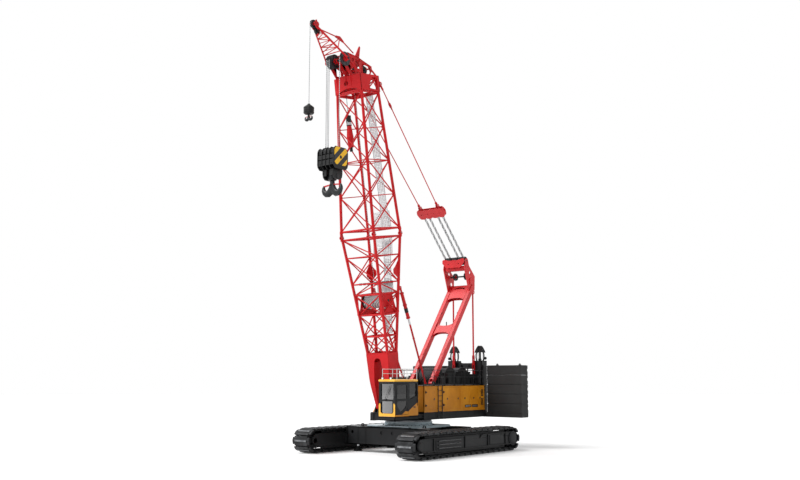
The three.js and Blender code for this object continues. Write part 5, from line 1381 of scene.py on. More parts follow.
        # A shallow pressed field on the outside.
        inset = [(y0 + 0.1, z0 + 0.1), (y1 - 0.1, z0 + 0.1), (y1 - 0.1, z1 - 0.1), (y0 + 0.1, z1 - 0.1)]
        rim = [
            (y0 + 0.075, z0 + 0.075), (y1 - 0.075, z0 + 0.075), (y1 - 0.075, z1 - 0.075),
            (y0 + 0.075, z1 - 0.075)
        ]
        work.plate(rim, span(1.598, 1.602, side), side_view, [inset])
        work.use("extruded_rubber").plate(
            [
                (y0 + 0.004, z0 + 0.004), (y1 - 0.004, z0 + 0.004), (y1 - 0.004, z1 - 0.004),
                (y0 + 0.004, z1 - 0.004)
            ],
            span(1.5625, 1.5695, side), side_view,
            [
                [
                    (y0 + 0.03, z0 + 0.03), (y1 - 0.03, z0 + 0.03), (y1 - 0.03, z1 - 0.03),
                    (y0 + 0.03, z1 - 0.03)
                ]
            ]
        )
        barrel = abs(high.x if side > 0 else low.x) - 0.022
        for share in (0.2, 0.8):
            z = 2.44 + share * 1.27
            work.use("chassis_enamel").tube(
                (side * barrel, a, z - 0.06), (side * barrel, a, z + 0.06), 0.022, 16
            )
            work.tube((side * barrel, a, z - 0.068), (side * barrel, a, z + 0.068), 0.012, 12)
            work.slab(span(1.6, 1.612, side), (a + 0.008, a + 0.16), (z - 0.04, z + 0.04))
            work.slab(span(1.602, barrel + 0.006, side), (a, a + 0.03), (z - 0.04, z + 0.04))
            for y in (a + 0.06, a + 0.12):
                work.use("forged_hook_steel").tube((side * 1.612, y, z), (side * 1.62, y, z), 0.012, 6)
        for y in ([y1 - 0.14] if place == "front" else [y0 + 0.42, y1 - 0.14]):
            self.latch(work, side, y, 3.05, latch)
        work.done(f"{node}_leaf", f"{node}_body", [node], bevel=0.004)

    def ladder(self):
        """Ladder on the left housing: channel stiles, round rungs and top hoops."""
        low, high = LOW["access_ladder"], HIGH["access_ladder"]
        work = Work("winch_enamel")
        for y in (low.y + 0.02, high.y - 0.02):
            work.bar((1.65, y, low.z), (1.65, y, high.z), 0.03, 0.04)
            for z in (2.5, 3.6):
                work.slab((1.6, 1.65), (y - 0.015, y + 0.015), (z, z + 0.05))
            work.path(
                [
                    (1.645, y, high.z - 0.3), (1.66, y, high.z + 0.1), (1.65, y, high.z + 0.45),
                    (1.58, y, high.z + 0.52), (1.5, y, high.z + 0.45), (1.46, y, high.z + 0.1)
                ],
                0.018, 10
            )
        z = low.z + 0.14
        while z < high.z:
            work.tube((1.65, low.y, z), (1.65, high.y, z), 0.016, 12)
            z += 0.3
        work.done("side_ladder", "superstructure", ["access_ladder"])

    def engine(self):
        """Engine in the right housing: block, rocker covers, filters, a manifold and the fan."""
        low, high = LOW["engine_block"], HIGH["engine_block"]
        c = (low + high) / 2
        work = Work("winch_enamel")
        work.slab(
            (low.x + 0.06, high.x - 0.06), (low.y + 0.15, high.y - 0.25), (low.z + 0.12, high.z - 0.22)
        )
        work.slab((low.x + 0.1, high.x - 0.1), (low.y + 0.2, high.y - 0.3), (low.z, low.z + 0.14))
        for k in range(6):
            y = low.y + 0.25 + k * 0.18
            work.slab((c.x - 0.12, c.x + 0.12), (y, y + 0.15), (high.z - 0.22, high.z - 0.06))
            work.use("brushed_aluminium").tube(
                (high.x - 0.07, y + 0.07, high.z - 0.4), (high.x - 0.02, y + 0.07, high.z - 0.34), 0.04,
                12
            )
            work.use("winch_enamel")
        work.use("brushed_aluminium").tube(
            (high.x - 0.04, low.y + 0.25, high.z - 0.34), (high.x - 0.04, high.y - 0.4, high.z - 0.34),
            0.038, 14
        )
        work.use("winch_enamel").turned(
            [(-0.04, 0.02), (-0.04, 0.2), (0.04, 0.2), (0.04, 0.02)], (c.x, high.y - 0.08, c.z), "Y", 24
        )
        for y in (low.y + 0.3, low.y + 0.5):
            work.use("orange_enamel").tube(
                (low.x + 0.07, y, low.z + 0.2), (low.x + 0.07, y, low.z + 0.5), 0.06, 16
            )
        work.done("diesel_engine", "superstructure", ["engine_block"], bevel=0.008)


# ---------------------------------------------------------------- cab


class CRANE_OT_cab(bpy.types.Operator):
    """Cab platform, shell, roof, door, panes, seat, rails and lamps"""

    bl_idname = "crane.cab"
    bl_label = "Cab"

    def execute(self, context):
        low, high = LOW["cab_shell"], HIGH["cab_shell"]
        x0, x1, y0, y1, z0, z1 = low.x, high.x, low.y, high.y, low.z, high.z
        sill = z0 + 0.87
        door0, door1 = LOW["cab_door"].y - 0.008, HIGH["cab_door"].y - 0.022
        self.platform(x0, x1, y0, y1, z0)
        self.shell(x0, x1, y0, y1, z0, z1, sill, door0, door1)
        self.roof()
        self.panes(x0, x1, y0, y1, z0, z1, sill)
        self.door(x1, sill, door0, door1)
        self.seat()
        return {"FINISHED"}

    def platform(self, x0, x1, y0, y1, z0):
        low, high = LOW["cab_platform"], HIGH["cab_platform"]
        work = Work("chassis_enamel")
        shelf = [
            (0.861, AXIS_Y - 2.4), (x0, AXIS_Y - 2.4), (x0, low.y), (high.x, low.y),
            (high.x, y1 + 0.04), (1.56, y1 + 0.04), (1.56, high.y), (0.861, high.y)
        ]
        work.plate(shelf, (high.z - 0.05, high.z), top_view)
        work.plate(shelf, (low.z, low.z + 0.03), top_view)
        for x in (x0 + 0.02, (x0 + x1) / 2, high.x - 0.06):
            work.slab((x, x + 0.05), (low.y + 0.01, y1), (low.z + 0.02, high.z - 0.04))
        for y in (low.y, low.y + 0.9, AXIS_Y - 2.4, y1 - 0.02):
            work.slab((x0, high.x), (y, y + 0.04), (low.z + 0.001, high.z - 0.001))
        work.slab((high.x - 0.04, high.x), (low.y, y1 + 0.04), (low.z, high.z))
        work.slab((0.87, 1.5), (AXIS_Y - 2.38, high.y), (low.z + 0.01, high.z - 0.01))
        # Step grating in front of the door.
        work.use("galvanised_mesh").slab(
            (x0 + 0.03, high.x - 0.03), (low.y + 0.01, y0 - 0.005), (high.z, high.z + 0.004)
        )
        work.done("cab_platform_frame", "superstructure", ["cab_platform"], bevel=0.006)

    def shell(self, x0, x1, y0, y1, z0, z1, sill, door0, door1):
        """Pillars in black, skirt and corner posts in yellow, the rear quarter swept by a slanting edge."""
        work = Work("chassis_enamel")
        wall = 0.06
        top = z1
        # Front wall: black frame round a tall pane over a lower pane.
        upper = [
            (x0 + 0.11, sill + 0.03), (x1 - 0.1, sill + 0.03), (x1 - 0.1, top - 0.1),
            (x0 + 0.11, top - 0.1)
        ]
        lower = [
            (x0 + 0.13, z0 + 0.22), (x0 + 0.19, z0 + 0.15), (x1 - 0.24, z0 + 0.15),
            (x1 - 0.17, z0 + 0.22), (x1 - 0.17, sill - 0.03), (x0 + 0.13, sill - 0.03)
        ]
        work.plate(
            [(x0, z0), (x1, z0), (x1, top), (x0, top)], (y0 + 0.004, y0 + wall), front_view,
            [upper, lower]
        )
        # Yellow U round the lower pane with its posts.
        work.use("yellow_enamel")
        u_frame = [
            (x0, z0 + 0.001), (x1 - 0.02, z0 + 0.001), (x1, z0 + 0.03), (x1, z0 + 0.62),
            (x1 - 0.05, z0 + 0.7), (x1 - 0.11, z0 + 0.7), (x1 - 0.11, z0 + 0.26), (x1 - 0.2, z0 + 0.16),
            (x0 + 0.21, z0 + 0.16), (x0 + 0.12, z0 + 0.26), (x0 + 0.12, z0 + 0.66),
            (x0 + 0.09, z0 + 0.7), (x0 + 0.03, z0 + 0.7), (x0, z0 + 0.62)
        ]
        work.plate(u_frame, (y0 - 0.004, y0 + 0.03), front_view)
        # Left side: frame round the door, rear quarter window, swept lower panel.
        work.use("chassis_enamel")
        quarter = [
            (door1 + 0.13, sill + 0.02), (y1 - 0.1, sill + 0.24), (y1 - 0.1, top - 0.12),
            (y1 - 0.16, top - 0.09), (door1 + 0.13, top - 0.09)
        ]
        opening = [(door0, z0 + 0.09), (door1, z0 + 0.09), (door1, top - 0.09), (door0, top - 0.09)]
        work.plate(
            [(y0, z0), (y1, z0), (y1, top), (y0, top)], (x1 - wall, x1 - 0.004), side_view,
            [opening, quarter]
        )
        work.use("orange_enamel")
        swoosh = [
            (door1 + 0.012, z0 + 0.02), (y1 - 0.04, z0 + 0.02), (y1, z0 + 0.08), (y1, sill - 0.1),
            (y1 - 0.1, sill - 0.16), (door1 + 0.5, sill - 0.33), (door1 + 0.25, sill - 0.47),
            (door1 + 0.012, sill - 0.62)
        ]
        work.plate(swoosh, (x1 - 0.006, x1 + 0.004), side_view)
        work.plate(
            [
                (y0, z0 + 0.001), (door1 + 0.02, z0 + 0.001), (door1 + 0.02, z0 + 0.085),
                (y0, z0 + 0.085)
            ],
            (x1 - 0.006, x1 + 0.004), side_view
        )
        # A recessed black handle pocket in the sweep.
        work.use("black_abs").slab(
            (x1 + 0.004, x1 + 0.012), (y1 - 0.42, y1 - 0.24), (z0 + 0.45, z0 + 0.52)
        )
        # Right side and back.
        work.use("chassis_enamel")
        side_pane = [
            (y0 + 0.2, sill), (y1 - 0.25, sill), (y1 - 0.25, top - 0.11), (y0 + 0.2, top - 0.11)
        ]
        work.plate([(y0, z0), (y1, z0), (y1, top), (y0, top)], (x0, x0 + wall), side_view, [side_pane])
        back_pane = [
            (x0 + 0.16, sill + 0.2), (x1 - 0.16, sill + 0.2), (x1 - 0.16, top - 0.11),
            (x0 + 0.16, top - 0.11)
        ]
        work.plate([(x0, z0), (x1, z0), (x1, top), (x0, top)], (y1 - wall, y1), front_view, [back_pane])
        # Floor with a ribbed mat.
        work.use("chassis_enamel").slab((x0 + 0.05, x1 - 0.05), (y0 + 0.05, y1 - 0.05), (z0, z0 + 0.04))
        work.use("extruded_rubber").slab(
            (x0 + wall + 0.002, x1 - wall - 0.012), (y0 + 0.08, y1 - wall - 0.002),
            (z0 + 0.04, z0 + 0.056)
        )
        for k in range(20):
            y = y0 + 0.15 + k * 0.09
            work.slab((x0 + 0.1, x1 - 0.1), (y, y + 0.02), (z0 + 0.056, z0 + 0.0595))
        # Rubber round the openings.
        for pane in (upper, lower):
            grown = [
                (
                    x + (0.02 if x < 1.7 else -0.02),
                    z + (0.02 if z < sum(q[1] for q in pane) / len(pane) else -0.02)
                )
                for x, z in pane
            ]
            work.plate(pane, (y0 - 0.001, y0 + 0.012), front_view, [grown])
        # Mirror on an arm, wiper, work lamps and a door-side grab rail.
        work.use("winch_enamel").path(
            [
                (x1 - 0.03, y0, z1 - 0.35), (x1 + 0.01, y0 - 0.035, z1 - 0.35),
                (x1 + 0.01, y0 - 0.04, z1 - 0.7)
            ],
            0.012, 8
        )
        work.use("black_abs").plate(
            [
                (x1 - 0.06, z1 - 0.78), (x1 + 0.02, z1 - 0.78), (x1 + 0.02, z1 - 0.5),
                (x1 - 0.06, z1 - 0.5)
            ],
            (y0 - 0.05, y0 - 0.025), front_view
        )
        work.use("winch_enamel").bar(
            (x0 + 0.45, y0 - 0.006, sill + 0.1), (x0 + 0.72, y0 - 0.01, z1 - 0.35), 0.014
        )
        work.use("extruded_rubber").bar(
            (x0 + 0.66, y0 - 0.001, sill + 0.3), (x0 + 0.78, y0 - 0.001, z1 - 0.2), 0.016
        )
        work.use("black_abs").slab((x0 + 0.38, x0 + 0.5), (y0 - 0.03, y0 + 0.002), (sill, sill + 0.08))
        work.use("winch_enamel").path(
            [
                (x1 + 0.002, y1 - 0.06, z0 + 0.55), (x1 + 0.03, y1 - 0.06, z0 + 0.6),
                (x1 + 0.03, y1 - 0.06, z0 + 1.35), (x1 + 0.002, y1 - 0.06, z0 + 1.4)
            ],
            0.014, 10
        )
        work.done("cab_shell_panels", "superstructure", ["cab_shell"], bevel=0.008)

    def roof(self):
        """Moulded roof with rounded edges, a sun visor lip, handrails, lamps and an air unit."""
        low, high = LOW["cab_roof"], HIGH["cab_roof"]
        work = Work("yellow_enamel")
        corner = 0.07
        rings = []
        for z, inset in (
            (low.z, 0.03), (low.z + 0.03, 0.0), (high.z - 0.06, 0.0), (high.z - 0.03, 0.012),
            (high.z - 0.008, 0.05), (high.z, 0.12)
        ):
            ring = []
            for sx, sy, start in ((1, 1, 0), (-1, 1, 90), (-1, -1, 180), (1, -1, 270)):
                cx = (high.x - corner - inset) if sx > 0 else (low.x + corner + inset)
                cy = (high.y - corner - inset) if sy > 0 else (low.y + corner + inset)
                ring += [(a, b, z) for a, b in arc(cx, cy, corner, start, start + 90, 6)]
            rings.append(ring)
        work.loft(rings)
        work.use("winch_enamel").slab(
            (low.x + 0.25, high.x - 0.25), (low.y + 0.9, low.y + 1.6), (high.z - 0.01, high.z + 0.09)
        )
        for k in range(6):
            work.slab(
                (low.x + 0.3, high.x - 0.3), (low.y + 0.95 + k * 0.1, low.y + 1.0 + k * 0.1),
                (high.z + 0.09, high.z + 0.1)
            )
        # Guard rail: pale grey tube on short posts.
        work.use("galvanised_mesh")
        x0, x1, y0, y1 = low.x + 0.08, high.x - 0.08, low.y + 0.3, high.y - 0.06
        for z in (high.z + 0.3, high.z + 0.55):
            work.path([(x0, y0, z), (x0, y1, z), (x1, y1, z), (x1, y0, z)], 0.018, 8)
        for x, y in ((x0, y0), (x0, (y0 + y1) / 2), (x0, y1), (x1, y1), (x1, (y0 + y1) / 2), (x1, y0)):
            work.tube((x, y, high.z - 0.03), (x, y, high.z + 0.55), 0.018, 8)
        # Work lamps over the windscreen.
        for x in (low.x + 0.3, high.x - 0.3):
            work.use("black_abs").tube(
                (x, low.y + 0.12, high.z + 0.06), (x, low.y + 0.03, high.z + 0.05), 0.05, 16, end=0.075
            )
            work.use("polycarbonate_lens").tube(
                (x, low.y + 0.03, high.z + 0.05), (x, low.y + 0.025, high.z + 0.05), 0.068, 16
            )
            work.use("black_abs").slab(
                (x - 0.02, x + 0.02), (low.y + 0.06, low.y + 0.1), (high.z - 0.02, high.z + 0.02)
            )
        work.done("cab_roof_moulding", "superstructure", ["cab_roof"])

    def panes(self, x0, x1, y0, y1, z0, z1, sill):
        low, high = LOW["windscreen"], HIGH["windscreen"]
        work = Work("tinted_safety_glass")
        for z in ((low.z, sill - 0.01), (sill + 0.01, high.z)):
            work.plate(
                [(low.x, z[0]), (high.x, z[0]), (high.x, z[1]), (low.x, z[1])], (low.y, high.y),
                front_view
            )
        work.use("extruded_rubber").slab((low.x, high.x), (low.y, high.y), (sill - 0.01, sill + 0.01))
        work.done("windscreen_panes", "superstructure", ["windscreen"])
        # Side, quarter and rear panes close the shell's other windows.
        work = Work("tinted_safety_glass")
        door1 = HIGH["cab_door"].y - 0.022
        work.plate(
            [
                (door1 + 0.1, sill - 0.04), (y1 - 0.08, sill + 0.16), (y1 - 0.08, z1 - 0.08),
                (door1 + 0.1, z1 - 0.08)
            ],
            (x1 - 0.072, x1 - 0.0605), side_view
        )
        work.slab((x0 + 0.0605, x0 + 0.07), (y0 + 0.17, y1 - 0.22), (sill - 0.03, z1 - 0.08))
        work.slab((x0 + 0.13, x1 - 0.13), (y1 - 0.07, y1 - 0.0605), (sill + 0.17, z1 - 0.08))
        work.use("extruded_rubber")
        y = y0 + 0.9
        work.slab((x0 + 0.058, x0 + 0.074), (y - 0.02, y + 0.02), (sill - 0.03, z1 - 0.08))
        work.done("cab_side_panes", "superstructure")

    def door(self, x1, sill, door0, door1):
        low, high = LOW["cab_door"], HIGH["cab_door"]
        y0, y1 = low.y, door1 - 0.008
        z0, z1 = low.z, high.z
        work = Work("chassis_enamel")
        upper = [
            (y0 + 0.07, sill + 0.06), (y1 - 0.07, sill + 0.06), (y1 - 0.07, z1 - 0.12),
            (y1 - 0.11, z1 - 0.08), (y0 + 0.11, z1 - 0.08), (y0 + 0.07, z1 - 0.12)
        ]
        lower = [
            (y0 + 0.07, sill - 0.04), (y0 + 0.07, sill - 0.33), (y0 + 0.42, z0 + 0.102),
            (y1 - 0.25, z0 + 0.322), (y1 - 0.07, sill - 0.25), (y1 - 0.07, sill - 0.04)
        ]
        work.plate(
            [(y0, z0), (y1, z0), (y1, z1), (y0, z1)], (x1 - 0.056, x1), side_view, [upper, lower]
        )
        # The orange sweep runs on across the door's lower corner.
        work.use("orange_enamel").plate(
            [(y0 + 0.5, z0 + 0.004), (y1, z0 + 0.004), (y1, sill - 0.62), (y1 - 0.22, z0 + 0.19)],
            (x1 - 0.002, x1 + 0.005), side_view
        )
        # Rubber seals, handle and grab rail.
        work.use("extruded_rubber")
        for pane in (upper, lower):
            cy, cz = sum(p[0] for p in pane) / len(pane), sum(p[1] for p in pane) / len(pane)
            inner = [(cy + (y - cy) * 0.95, cz + (z - cz) * 0.96) for y, z in pane]
            work.plate(pane, (x1 - 0.05, x1 + 0.001), side_view, [inner])
        work.use("black_abs").slab((x1, x1 + 0.02), (y0 + 0.02, y0 + 0.06), (sill - 0.02, sill + 0.05))
        work.use("forged_hook_steel").path(
            [
                (x1, y0 + 0.04, sill + 0.12), (x1 + 0.035, y0 + 0.04, sill + 0.14),
                (x1 + 0.035, y0 + 0.04, sill + 0.5), (x1, y0 + 0.04, sill + 0.52)
            ],
            0.011, 8
        )
        hinge = (high.x - 0.022, high.y - 0.022)
        for share in (0.18, 0.82):
            z = 2.29 + share * 1.7
            work.use("forged_hook_steel").tube(
                (hinge[0], hinge[1], z - 0.05), (hinge[0], hinge[1], z + 0.05), 0.022, 16
            )
            work.slab((x1 + 0.0003, hinge[0] + 0.006), (y1 - 0.06, hinge[1]), (z - 0.03, z + 0.03))
            work.slab((x1 - 0.01, x1 + 0.002), (y1 - 0.06, y1 - 0.002), (z - 0.03, z + 0.03))
        work.done("cab_door_leaf", "cab_door_body", ["cab_door"], bevel=0.004)
        # Two panes in the leaf's thickness, so that its mid rail shows from inside as well.
        work = Work("tinted_safety_glass")
        for pane in (upper, lower):
            work.plate(pane, (x1 - 0.034, x1 - 0.028), side_view)
        work.done("cab_door_pane", "cab_door_body", ["door_glass"])

    def seat(self):
        """Seat on a plinth, padded cushion and back, consoles with joysticks, pedals and a screen."""
        low, high = LOW["operator_station"], HIGH["operator_station"]
        cx, z0 = (low.x + high.x) / 2, low.z
        seat_y = LOW["cab_shell"].y + 1.18
        work = Work("black_abs")
        work.slab((cx - 0.2, cx + 0.2), (seat_y - 0.2, seat_y + 0.2), (z0, z0 + 0.05))
        rings = []
        for k in range(9):
            z, w = z0 + 0.05 + 0.02 * k, 0.19 if k % 2 else 0.165
            rings.append(
                [
                    (cx - w, seat_y - w, z), (cx + w, seat_y - w, z), (cx + w, seat_y + w, z),
                    (cx - w, seat_y + w, z)
                ]
            )
        work.use("extruded_rubber").loft(rings)
        work.use("black_abs").slab(
            (cx - 0.23, cx + 0.23), (seat_y - 0.24, seat_y + 0.22), (z0 + 0.2, z0 + 0.255)
        )
        for side in (-1, 1):
            x = cx + side * 0.31
            box = [
                (seat_y - 0.42, z0 + 0.42), (seat_y - 0.36, z0 + 0.5), (seat_y + 0.12, z0 + 0.56),
                (seat_y + 0.18, z0 + 0.52), (seat_y + 0.18, z0 + 0.2), (seat_y - 0.1, z0 + 0.2)
            ]
            work.use("black_abs").plate(box, (x - 0.065, x + 0.065), side_view)
            work.use("extruded_rubber").turned(
                [(0, 0.05), (0.03, 0.035), (0.06, 0.02), (0.07, 0.012)], (x, seat_y - 0.3, z0 + 0.49),
                "Z", 16
            )
            work.use("black_abs").turned(
                [(0.06, 0.012), (0.1, 0.012), (0.12, 0.024), (0.17, 0.028), (0.2, 0.018)],
                (x, seat_y - 0.3, z0 + 0.49), "Z", 16
            )
            for k in range(4):
                work.use("polycarbonate_lens").slab(
                    (x - 0.04 + 0.022 * k, x - 0.026 + 0.022 * k), (seat_y - 0.15, seat_y - 0.12),
                    (z0 + 0.53, z0 + 0.54)
                )
        # Pedals and a display on its stalk.
        for dx in (-0.12, 0.12):
            work.use("brushed_aluminium").plate(
                [
                    (seat_y - 0.78, z0 + 0.12), (seat_y - 0.6, z0 + 0.02), (seat_y - 0.58, z0 + 0.03),
                    (seat_y - 0.76, z0 + 0.14)
                ],
                (cx + dx - 0.05, cx + dx + 0.05), side_view
            )
        work.use("black_abs").tube(
            (cx - 0.42, seat_y - 0.6, z0 + 0.0), (cx - 0.4, seat_y - 0.66, z0 + 0.9), 0.016, 10
        )
        work.plate(
            [
                (cx - 0.5, z0 + 0.86), (cx - 0.24, z0 + 0.86), (cx - 0.24, z0 + 1.06),
                (cx - 0.5, z0 + 1.06)
            ],
            (seat_y - 0.69, seat_y - 0.65), front_view
        )
        work.use("tinted_safety_glass").slab(
            (cx - 0.48, cx - 0.26), (seat_y - 0.65, seat_y - 0.645), (z0 + 0.88, z0 + 1.04)
        )
        work.done(
            "seat_base_and_consoles", "superstructure", ["operator_station"], bevel=0.006
        )
        self.cushion("seat_cushion", cx, seat_y - 0.01, z0 + 0.265, 0.25, 0.26, 0.13, 0.0)
        self.cushion("seat_backrest", cx, seat_y + 0.26, z0 + 0.42, 0.23, 0.34, 0.11, math.radians(80))

    def cushion(self, name, cx, cy, cz, half_x, half_y, thick, tilt):
        """A crowned cushion with sides that pull in between its corners, bolsters and two sewn channels."""
        across, along = 20, 24
        points, faces = [], []
        for layer in (0, 1):
            for j in range(along + 1):
                for i in range(across + 1):
                    u, v = 2 * i / across - 1, 2 * j / along - 1
                    edge = max(abs(u), abs(v))
                    pull = 1 - 0.05 * (1 - v * v) * abs(u) ** 6 - 0.0
                    x = u * half_x * pull * (1 - 0.04 * abs(v) ** 8)
                    y = v * half_y * (1 - 0.04 * (1 - u * u) * abs(v) ** 6)
                    crown = (1 - abs(u) ** 5) ** 0.5 * (1 - abs(v) ** 5) ** 0.5
                    h = thick * (0.3 + 0.62 * crown)
                    if layer:
                        h += 0.018 * (abs(u) > 0.62) * (1 - abs(v) ** 6)
                        for seam in (-0.6, 0.6):
                            h -= 0.016 * math.exp(-(((u - seam) / 0.05) ** 2)) * (edge < 0.97)
                        for seam in (-0.25, 0.3):
                            h -= 0.012 * math.exp(-(((v - seam) / 0.04) ** 2)) * (abs(u) < 0.6)
                    else:
                        h = thick * 0.3 * (1 - crown)
                    points.append(Vector((x, y, h)))
        row = across + 1
        layer_size = row * (along + 1)
        for j in range(along):
            for i in range(across):
                a = j * row + i
                faces.append((a, a + row, a + row + 1, a + 1))
                b = a + layer_size
                faces.append((b, b + 1, b + row + 1, b + row))
        border = [i for i in range(across)] + [j * row + across for j in range(along)] + [
            along * row + i for i in range(across, 0, -1)
        ] + [j * row for j in range(along, 0, -1)]
        for k, a in enumerate(border):
            b = border[(k + 1) % len(border)]
            faces.append((a, b, b + layer_size, a + layer_size))
        turn = Matrix.Rotation(tilt, 4, "X")
        work = Work("woven_seat_cloth")
        work.add(
            [Vector((cx, cy, cz)) + turn @ (p + Vector((0, half_y, 0)) if tilt else p) for p in points],
            faces
        )
        made = work.done(name, "superstructure", smooth=70.0)
        rounder = made.modifiers.new("crown", "SUBSURF")
        rounder.levels = rounder.render_levels = 1


# ---------------------------------------------------------------- winches and counterweight


class CRANE_OT_winches(bpy.types.Operator):
    """Winch frame, three drums wound with rope, and the pumps and pipes between them"""

    bl_idname = "crane.winches"
    bl_label = "Winches"

    def execute(self, context):
        low, high = LOW["winch_frame"], HIGH["winch_frame"]
        centres = [(LOW[n].y + HIGH[n].y) / 2 for n in ("main_winch", "second_winch", "luffing_winch")]
        axle_z = (LOW["main_winch"].z + HIGH["main_winch"].z) / 2
        work = Work("winch_enamel")
        for name, side in SIDES:
            outline = [(low.y, low.z), (high.y, low.z), (high.y, high.z - 0.1), (high.y - 0.12, high.z)]
            for c in reversed(centres):
                outline += [
                    (c + 0.3, high.z), (c + 0.22, high.z), (c - 0.22, high.z), (c - 0.3, high.z)
                ]
            outline += [(low.y + 0.12, high.z), (low.y, high.z - 0.1)]
            holes = [(c, axle_z, 0.112) for c in centres] + [
                (c + 0.67, 3.2, 0.22) for c in centres[:2]
            ] + [(c, 3.0, 0.16) for c in centres]
            work.plate(outline, span(0.55, 0.6, side), side_view, holes)
            for c in centres:
                work.bolts((side * 0.6, c, axle_z), (side, 0, 0), 0.2, 12, 0.035, 0.02)
        for y in (low.y + 0.12, high.y - 0.12):
            work.tube((-0.555, y, 2.81), (0.555, y, 2.81), 0.09, 16)
        work.done("winch_cheeks", "superstructure", ["winch_frame"], bevel=0.006)

        for node, rope_finish in (
            ("main_winch", "greased_wire_rope"), ("second_winch", "greased_wire_rope"),
            ("luffing_winch", "greased_wire_rope")
        ):
            low, high = LOW[node], HIGH[node]
            c = (low + high) / 2
            self.drum(
                node, f"{node}_drum", c, 0.542, (high.z - low.z) / 2, 0.4, 0.109, 0.6, rope_finish,
                "winch_enamel"
            )

        # Gearboxes outside the cheeks, valve blocks, pipes and hoses on the deck.
        work = Work("winch_enamel")
        for c in centres:
            for side in (1, -1):
                work.turned(
                    [
                        (0.0, 0.02), (0.0, 0.17), (side * 0.09, 0.17), (side * 0.1, 0.13),
                        (side * 0.2, 0.13), (side * 0.22, 0.08), (side * 0.22, 0.02)
                    ][:: 1 if side > 0 else -1],
                    (side * 0.602, c, axle_z), "X", 28
                )
        top = 2.312
        for y in (AXIS_Y + 0.0, AXIS_Y + 0.55):
            work.slab((-0.3, 0.35), (y, y + 0.36), (top, top + 0.42))
            for k in range(6):
                work.use("galvanised_mesh").tube(
                    (-0.26 + k * 0.11, y + 0.18, top + 0.42), (-0.26 + k * 0.11, y + 0.18, top + 0.5),
                    0.025, 10
                )
                work.use("extruded_rubber").path(
                    [
                        (-0.26 + k * 0.11, y + 0.18, top + 0.5),
                        (-0.26 + k * 0.11, y + 0.25, top + 0.62), (-0.3 + k * 0.11, y + 0.4, top + 0.6),
                        (-0.3 + k * 0.11, y + 0.55, top + 0.4), (-0.3 + k * 0.11, y + 0.6, top + 0.1),
                        (-0.3 + k * 0.11, y + 0.6, top + 0.005)
                    ],
                    0.018, 8
                )
                work.use("winch_enamel")
        # Guards, motors and tanks over the rear winch and behind the A-frame's feet.
        for side in (1, -1):
            for c in centres:
                work.slab(span(0.64, 0.94, side), (c - 0.26, c + 0.26), (top, 3.02))
                work.turned(
                    [(3.02, 0.02), (3.02, 0.12), (3.34, 0.12), (3.38, 0.07), (3.38, 0.02)],
                    (side * 0.8, c - 0.1, 0), "Z", 20
                )
                work.tube((side * 0.88, c + 0.12, 3.02), (side * 0.88, c + 0.12, 3.3), 0.05, 14)
            work.use("extruded_rubber")
            for k in range(4):
                x = side * (0.66 + 0.06 * k)
                work.path(
                    [
                        (x, centres[0] + 0.27, 2.5 + 0.07 * k), (x, centres[0] + 0.6, 2.42 + 0.07 * k),
                        (x, centres[1] - 0.27, 2.5 + 0.07 * k)
                    ],
                    0.017, 8
                )
            work.use("winch_enamel")
        # Low rail and lamp bar between the pedestals and the winches.
        for side in (1, -1):
            for y in (centres[0] - 0.5, centres[2] + 0.55):
                work.slab(span(0.56, 0.95, side), (y - 0.03, y + 0.03), (top, 3.9))
        for x in (-0.5, 0.5):
            work.tube((x, centres[2] + 0.62, top), (x, centres[2] + 0.62, 4.9), 0.04, 12)
        work.tube((-0.5, centres[2] + 0.62, 4.88), (0.5, centres[2] + 0.62, 4.88), 0.04, 12)
        work.done("hydraulics", "superstructure", bevel=0.004)
        return {"FINISHED"}

    def drum(self, node, body, c, half, flange, core, shaft, shaft_half, rope_finish, finish):
        """A flanged drum with ribs on its flanges and rope wound in even turns."""
        work = Work(finish)
        work.turned(
            [
                (-shaft_half, 0.01), (-shaft_half, shaft), (-half, shaft), (-half, flange - 0.01),
                (-half + 0.01, flange), (-half + 0.045, flange), (-half + 0.055, flange - 0.02),
                (-half + 0.055, core), (half - 0.055, core), (half - 0.055, flange - 0.02),
                (half - 0.045, flange), (half - 0.01, flange), (half, flange - 0.01), (half, shaft),
                (shaft_half, shaft), (shaft_half, 0.01)
            ],
            c, "X", 48
        )
        for side in (1, -1):
            for k in range(8):
                t = math.tau * k / 8
                out = Vector((0, math.cos(t), math.sin(t)))
                work.bar(
                    c + Vector((side * (half - 0.06), 0, 0)) + out * (core + 0.01),
                    c + Vector((side * (half - 0.06), 0, 0)) + out * (flange - 0.03), 0.02, 0.03,
                    across=(1, 0, 0)
                )
        turns, wound = 20, core + (flange - core) * 0.62
        pitch = (2 * half - 0.13) / turns
        work.use(rope_finish)
        profile = [(-half + 0.062, core + 0.002)]
        for k in range(turns):
            x = -half + 0.065 + k * pitch
            profile += [
                (x, wound), (x + pitch * 0.2, wound + 0.014), (x + pitch * 0.5, wound + 0.02),
                (x + pitch * 0.8, wound + 0.014)
            ]
        profile += [(half - 0.062, wound), (half - 0.062, core + 0.002)]
        work.turned(profile, c, "X", 48)
        work.done(f"{node}_wound_drum", body, [node])


